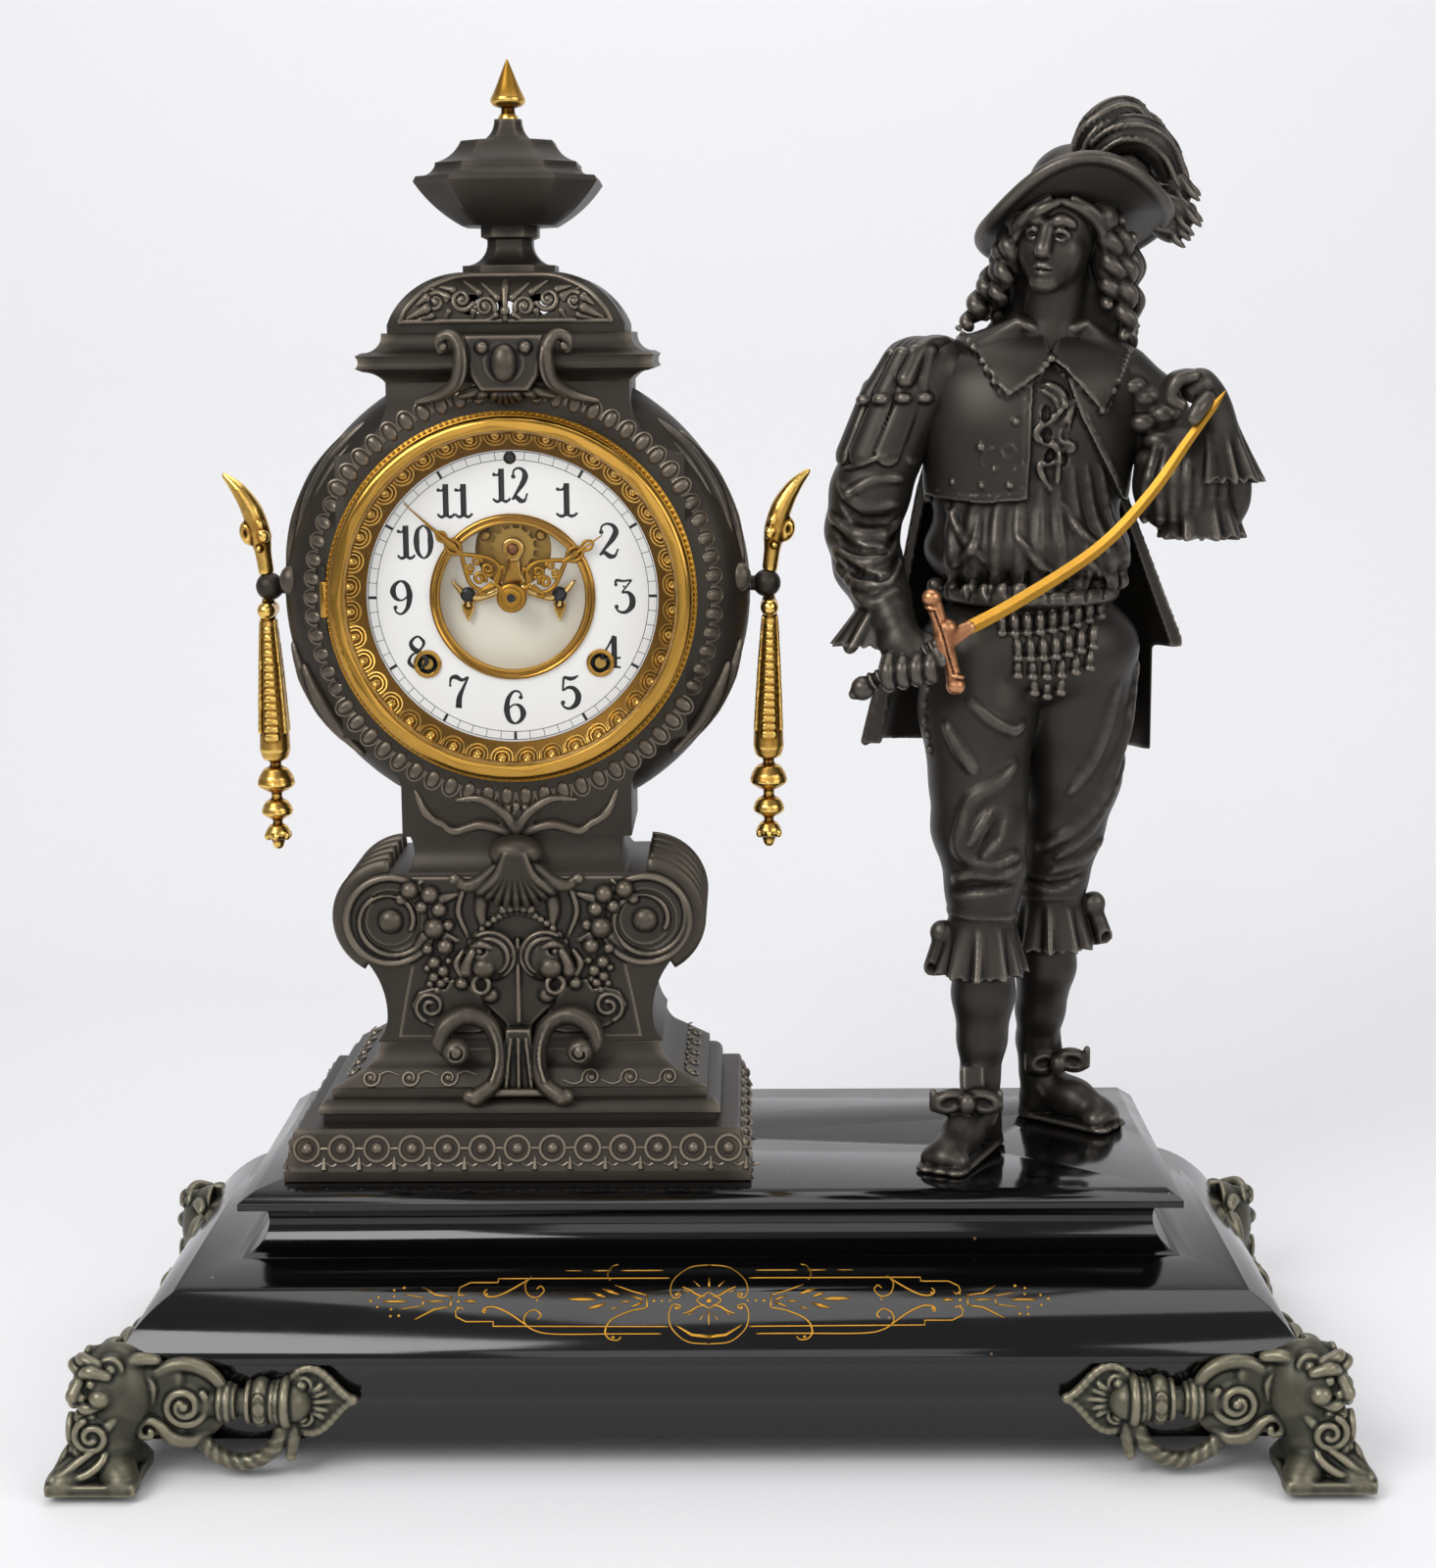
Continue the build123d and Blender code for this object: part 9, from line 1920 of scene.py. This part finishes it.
# strokes of the right half: (points, half widths); the left half mirrors them
rightStrokes = [
    ([(86, -48), (460, -48), (460, -40), (520, -40), (541, -30), (544, -18), (534, -12), (528, -18)], [1]),
    ([(86, 60), (463, 58), (463, 47), (522, 47), (544, 36), (547, 22), (536, 14), (529, 19)], [1]),
    ([(101, -63), (193, -63)], [1]), ([(215, -63), (255, -63)], [1]), ([(280, -63), (315, -63)], [0.7]),
    ([(101, 77), (205, 77), (330, 77), (374, 68), (396, 50), (394, 30), (376, 20), (361, 32), (368, 42)], [1]),
    ([(388, -52), (400, -36), (392, -14), (372, -8), (358, -22), (366, -32), (374, -26)], [1]),
    ([(388, -50), (424, -28), (456, -12), (478, -10), (488, -18), (482, -26)], [1.1, 1.4, 1]),
    ([(394, 54), (430, 28), (460, 14), (480, 14), (488, 22), (482, 28)], [1.1, 1.4, 1]),
    ([(135, -12), (133, 16)], [1]), ([(135, -12), (165, -20), (205, -34)], [1.2, 0.8]), ([(133, 16), (170, 24), (210, 44), (222, 70), (214, 88), (196, 92), (188, 84)], [1.0, 1.2, 0.9]),
    ([(200, -74), (214, -70), (222, -56), (216, -44)], [0.9]),
    ([(143, -2), (168, -10)], [1.8, 1.0]), ([(143, 4), (168, 14)], [1.8, 1.0]), ([(170, 2), (192, 2)], [1.6, 0.8]),
    ([(196, -14), (232, -26)], [1.0, 2.6, 0.8]), ([(196, 14), (214, 20)], [1.0, 2.0, 0.8]), ([(222, 6), (262, 18)], [1.0, 2.8, 0.8]), ([(224, -8), (252, -18)], [1.0, 2.4, 0.8]),
    ([(244, -3), (306, -4)], [1.0, 3.0, 1.0]),
    ([(558, -10), (558, 12)], [1]), ([(558, -10), (592, -14), (620, -30)], [1.0, 1.4, 0.8]), ([(558, 12), (592, 18), (634, 42)], [1.0, 1.6, 0.8]), ([(574, 0), (612, 0)], [1.4, 0.8]),
    ([(618, -8), (618, 10)], [0.8]), ([(618, -8), (662, -16)], [0.9, 0.6]), ([(618, 10), (668, 18)], [0.9, 0.6]), ([(654, 0), (706, 0)], [1.4, 2.0, 1.2]), ([(505, 0), (528, 0)], [2.0, 1.4]),
    ([(0, -73), (44, -68), (76, -46), (84, -22), (76, -6), (62, -10), (66, -18)], [0.9]), ([(0, 102), (46, 96), (78, 66), (86, 34), (78, 10), (62, 12), (66, 20)], [0.9]),
    ([(0, 84), (36, 80), (72, 56)], [2.6, 2.0, 0.8]), ([(8, -8), (24, -12), (40, -22), (58, -30)], [0.8, 1.6, 0.8]), ([(8, 10), (24, 14), (40, 24), (56, 30)], [0.8, 1.6, 0.8]),
    ([(20, -30), (34, -42)], [0.8, 2.4, 0.8]), ([(10, 30), (20, 46)], [0.6, 1.8, 0.6]), ([(34, 26), (46, 34)], [0.6, 1.4, 0.6]), ([(42, -18), (60, -24)], [0.8, 1.8, 0.6]),
    ([(0, -18), (14, -10), (26, 0), (14, 10), (0, 18)], [0.9]),
]
middleStrokes = [([(0, -30), (0, -48)], [0.8, 3.0, 0.8]), ([(0, 24), (0, 56)], [0.8, 2.2, 0.6])]
rightDots = [(84, 0, 3), (102, 0, 3.4), (119, 0, 4), (542, 0, 4), (542, -14, 3), (542, 14, 3), (663, -30, 4), (684, -25, 3.4), (682, -12, 3.4), (716, -10, 3.4), (732, -2, 4), (716, 12, 3.4), (686, 17, 3.6), (668, 32, 3.8), (686, 33, 3.6),
             (70, -14, 4.5), (70, 16, 4.5), (482, -16, 3.6), (482, 20, 3.6), (372, -2, 3), (205, 84, 4)]


def giltShapes():
    shapes = []
    slopeOut = (0, -0.515, 0.857)
    for side in (-1, 1):
        for points, widths in rightStrokes:
            line = np.array(smoothLine(points, max(10, 7 * len(points))) if len(points) > 3 and not any(a[0] == b[0] for a, b in zip(points, points[1:])) else points, float)
            dense = []
            for a, b in zip(line, line[1:]):
                steps = max(1, int(np.hypot(*(b - a)) // 14))
                dense += [a + (b - a) * i / steps for i in range(steps)]
            dense.append(line[-1])
            shapes.append(tubeShape([onDrawing(side * x, y) for x, y in dense], np.asarray(widths) * giltDrawing["line"], 6, flat=0.35, up=slopeOut))
        for x, y, size in rightDots:
            spot = onDrawing(side * x, y, 0.0)
            knob = turnedShape([(0, 0.16), (0.7 * size * 0.17, 0.12), (size * 0.17, 0.0), (size * 0.17, -0.2)], 10, "z", (0, 0, 0))
            turn = np.array(Vector((0, 0, 1)).rotation_difference(Vector(slopeOut)).to_matrix())
            shapes.append((np.asarray(knob[0]) @ turn.T + spot, knob[1]))
    for points, widths in middleStrokes:
        shapes.append(tubeShape([onDrawing(x, y) for x, y in points + [points[-1]]][:len(points)], np.interp(np.linspace(0, 1, len(points)), np.linspace(0, 1, len(widths)), widths) * giltDrawing["line"] * 1.6, 6, flat=0.35, up=slopeOut))
    knob = turnedShape([(0, 0.2), (0.8, 0.12), (1.1, 0.0), (1.1, -0.2)], 12, "z", (0, 0, 0))
    turn = np.array(Vector((0, 0, 1)).rotation_difference(Vector(slopeOut)).to_matrix())
    shapes.append((np.asarray(knob[0]) @ turn.T + onDrawing(0, 0, 0.0), knob[1]))
    return shapes


settle(meshFrom("giltDrawing", *joined(giltShapes())), "giltDrawing", giltPaint, "frame", sharp=0, wearAndPaintedLight=False, closed=False)
print("stage: gilt drawing")


def filigreeHand(length, turn, y, wide):
    # a pierced scroll hand: hub, an open cage of C-scrolls, a leafy neck and a long tip
    lines = [([(5.0, 0), (9.0, 0)], [1.0]),
             ([(8.0, 0.4), (11, wide), (16, wide * 1.1), (21, wide * 0.6), (25, 0.5)], [0.9]), ([(8.0, -0.4), (11, -wide), (16, -wide * 1.1), (21, -wide * 0.6), (25, -0.5)], [0.9]),
             ([(24, 0), (28, 0), (31, 0), (length * 0.72, 0), (length, 0)], [0.9, 1.0, 2.1, 0.7, 0.2])]
    for side in (-1, 1):
        lines.append(([(x, side * abs(v)) for x, v in curl(14.2, wide * 0.45, wide * 0.5, 0.7, 190, 1.4, 1)], [0.75]))
        lines.append(([(x, side * abs(v)) for x, v in curl(19.4, wide * 0.34, wide * 0.36, 0.5, 160, 1.3, -1)], [0.7]))
        lines.append(([(26, side * 0.4), (28.4, side * 2.2), (31, side * 2.4), (33.4, side * 1.0)], [0.6, 0.9, 0.5]))
        lines.append(([(9.5, side * 0.5), (10.6, side * wide * 1.25), (8.2, side * wide * 0.95)], [0.75, 0.75, 0.6]))
        lines.append(([(33, side * 0.6), (36, side * 1.7), (38.6, side * 0.5)], [0.5, 0.7, 0.4]))
    a = math.radians(90 - turn)
    shapes = [turnedShape([(2.3, y - 0.45), (5.4, y - 0.45), (5.8, y), (5.4, y + 0.4), (2.3, y + 0.4)], 40, "y", onDial(0, 0, 0), True)]
    for points, widths in lines:
        line = smoothLine(points, 6 * len(points)) if len(points) < 12 else points
        path = [onDial(u * math.cos(a) - v * math.sin(a), u * math.sin(a) + v * math.cos(a), y) for u, v in line]
        shapes.append(tubeShape(path, widths, 6, flat=0.6))
    return joined(shapes)


settle(meshFrom("minuteHand", *filigreeHand(55.5, 312, -7.8, 5.6)), "minuteHand", giltBrass, "center", ("minute_hand",), sharp=0, wearAndPaintedLight=False, closed=False)
settle(meshFrom("hourHand", *filigreeHand(43.0, 56, -6.0, 5.2)), "hourHand", giltBrass, "hour", ("hour_hand",), sharp=0, wearAndPaintedLight=False, closed=False)


def makeBridge():
    # keyhole-shaped bridge with curled side arms and a leaf below each end
    clay = newClay((-26, 0.2, -14), (26, 4.4, 25), 0.3)
    plate(clay, disc((0, 18.2), 4.4), 1.6, 3.6, 0.5, 0.4)
    plate(clay, [(-2.4, 17), (2.4, 17), (3.2, 9), (6.4, 2), (-6.4, 2), (-3.2, 9)], 1.8, 3.4, 0.5, 0.8)
    for side in (-1, 1):
        trail(clay, [(side * 4, 2.6, 3), (side * 10, 2.6, 0.4), (side * 15, 2.6, -0.6), (side * 20, 2.6, 1.4), (side * 24, 2.6, 5.6)], [2.0, 1.5, 1.7, 1.4, 0.5], 0.4)
        leaf = [(-2.6, -3.0), (-1.2, -2.2), (1.2, -2.2), (2.6, -3.0), (2.2, -6.0), (0, -10.6), (-2.2, -6.0)]
        plate(clay, [(side * 18.0 + x, z) for x, z in leaf], 2.0, 3.2, 0.4, 0.4)
        bar(clay, (side * 18.0, 2.4, -0.5), (side * 18.0, 2.4, -3.5), 1.2, 1.4, 0.4)
    return clay


settle(skinned(makeBridge(), "escapementBridge", (place["caseX"], 0, place["dialZ"])), "escapementBridge", polishedBrass, "frame", ("escapement_bridge",), sharp=0)


def screwHead(u, v, y, radius, height):
    profile = [(0, y - height), (radius * 0.55, y - height * 0.95), (radius * 0.9, y - height * 0.6), (radius, y), (radius, y + 0.4)]
    return turnedShape(profile, 24, "y", onDial(u, v, 0))


settle(meshFrom("bridgeScrews", *joined([screwHead(u, 0.5, 1.6, 3.0, 1.1) for u in (-18.0, 18.0)])), "bridgeScrews", workedSteel, "frame", sharp=0, wearAndPaintedLight=False, closed=False)
settle(meshFrom("bridgeJewel", *screwHead(0, 18.2, 1.7, 2.5, 1.2)), "bridgeJewel", copperGilt, "frame", sharp=0, wearAndPaintedLight=False, closed=False)
settle(meshFrom("plateScrews", *joined([screwHead(u, 23.5, 4.2, 2.2, 1.2) for u in (-11.0, 11.0)])), "plateScrews", movementBrass, "frame", sharp=0, wearAndPaintedLight=False, closed=False)
print("stage: hands and bridge")

# a black ring behind each winding hole, painted shade for the dark depth seen through the holes
holeShadeSpots = [(-34.0, -26.2, 1.2, 4.4), (34.0, -26.2, 1.2, 4.4)]
settle(meshFrom("windingDark", *joined([turnedShape([(2.6, y), (r, y), (r, y + 0.4), (2.6, y + 0.4)], 32, "y", onDial(u, v, 0), True) for u, v, y, r in holeShadeSpots])), "windingDark", dialInk, "frame", sharp=0, wearAndPaintedLight=False, closed=False)
# every CAD piece still showing gets the finish of its real material
steelNodes = {"base_fasteners", "urn_rod", "bezel_pin", "movement_fasteners", "strike_hammer", "regulator_arbor", "pallet_anchor", "center_arbor", "strike_bell"}
spelterNodes = {"case_drum", "case_pedestal", "case_dome", "back_door", "handle_bosses"}
figureNodes = {"figure_legs", "figure_torso", "figure_coat", "figure_head", "figure_hat", "figure_plume", "figure_right_arm", "figure_left_arm", "sword_grip"}
footNodes = {"foot_front_left", "foot_front_right", "foot_rear_left", "foot_rear_right"}
giltNodes = {"handle_left", "handle_right", "sword_blade"}
for node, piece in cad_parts.items():
    finish = movementBrass
    for group, material in ((steelNodes, workedSteel), (spelterNodes, patinatedSpelter), (figureNodes, figureSpelter), (footNodes, weatheredSpelter), (giltNodes, giltBrass)):
        if node in group:
            finish = material
    finish = {"bezel_glass": dialGlass, "dial": dialEnamel, "center_plate": centreEnamel, "sword_guard": copperGilt}.get(node, finish)
    if len(piece.material_slots) == 0:
        piece.data.materials.append(finish)
    for slot in piece.material_slots:
        slot.material = finish
print("stage: finishes on the remaining pieces")
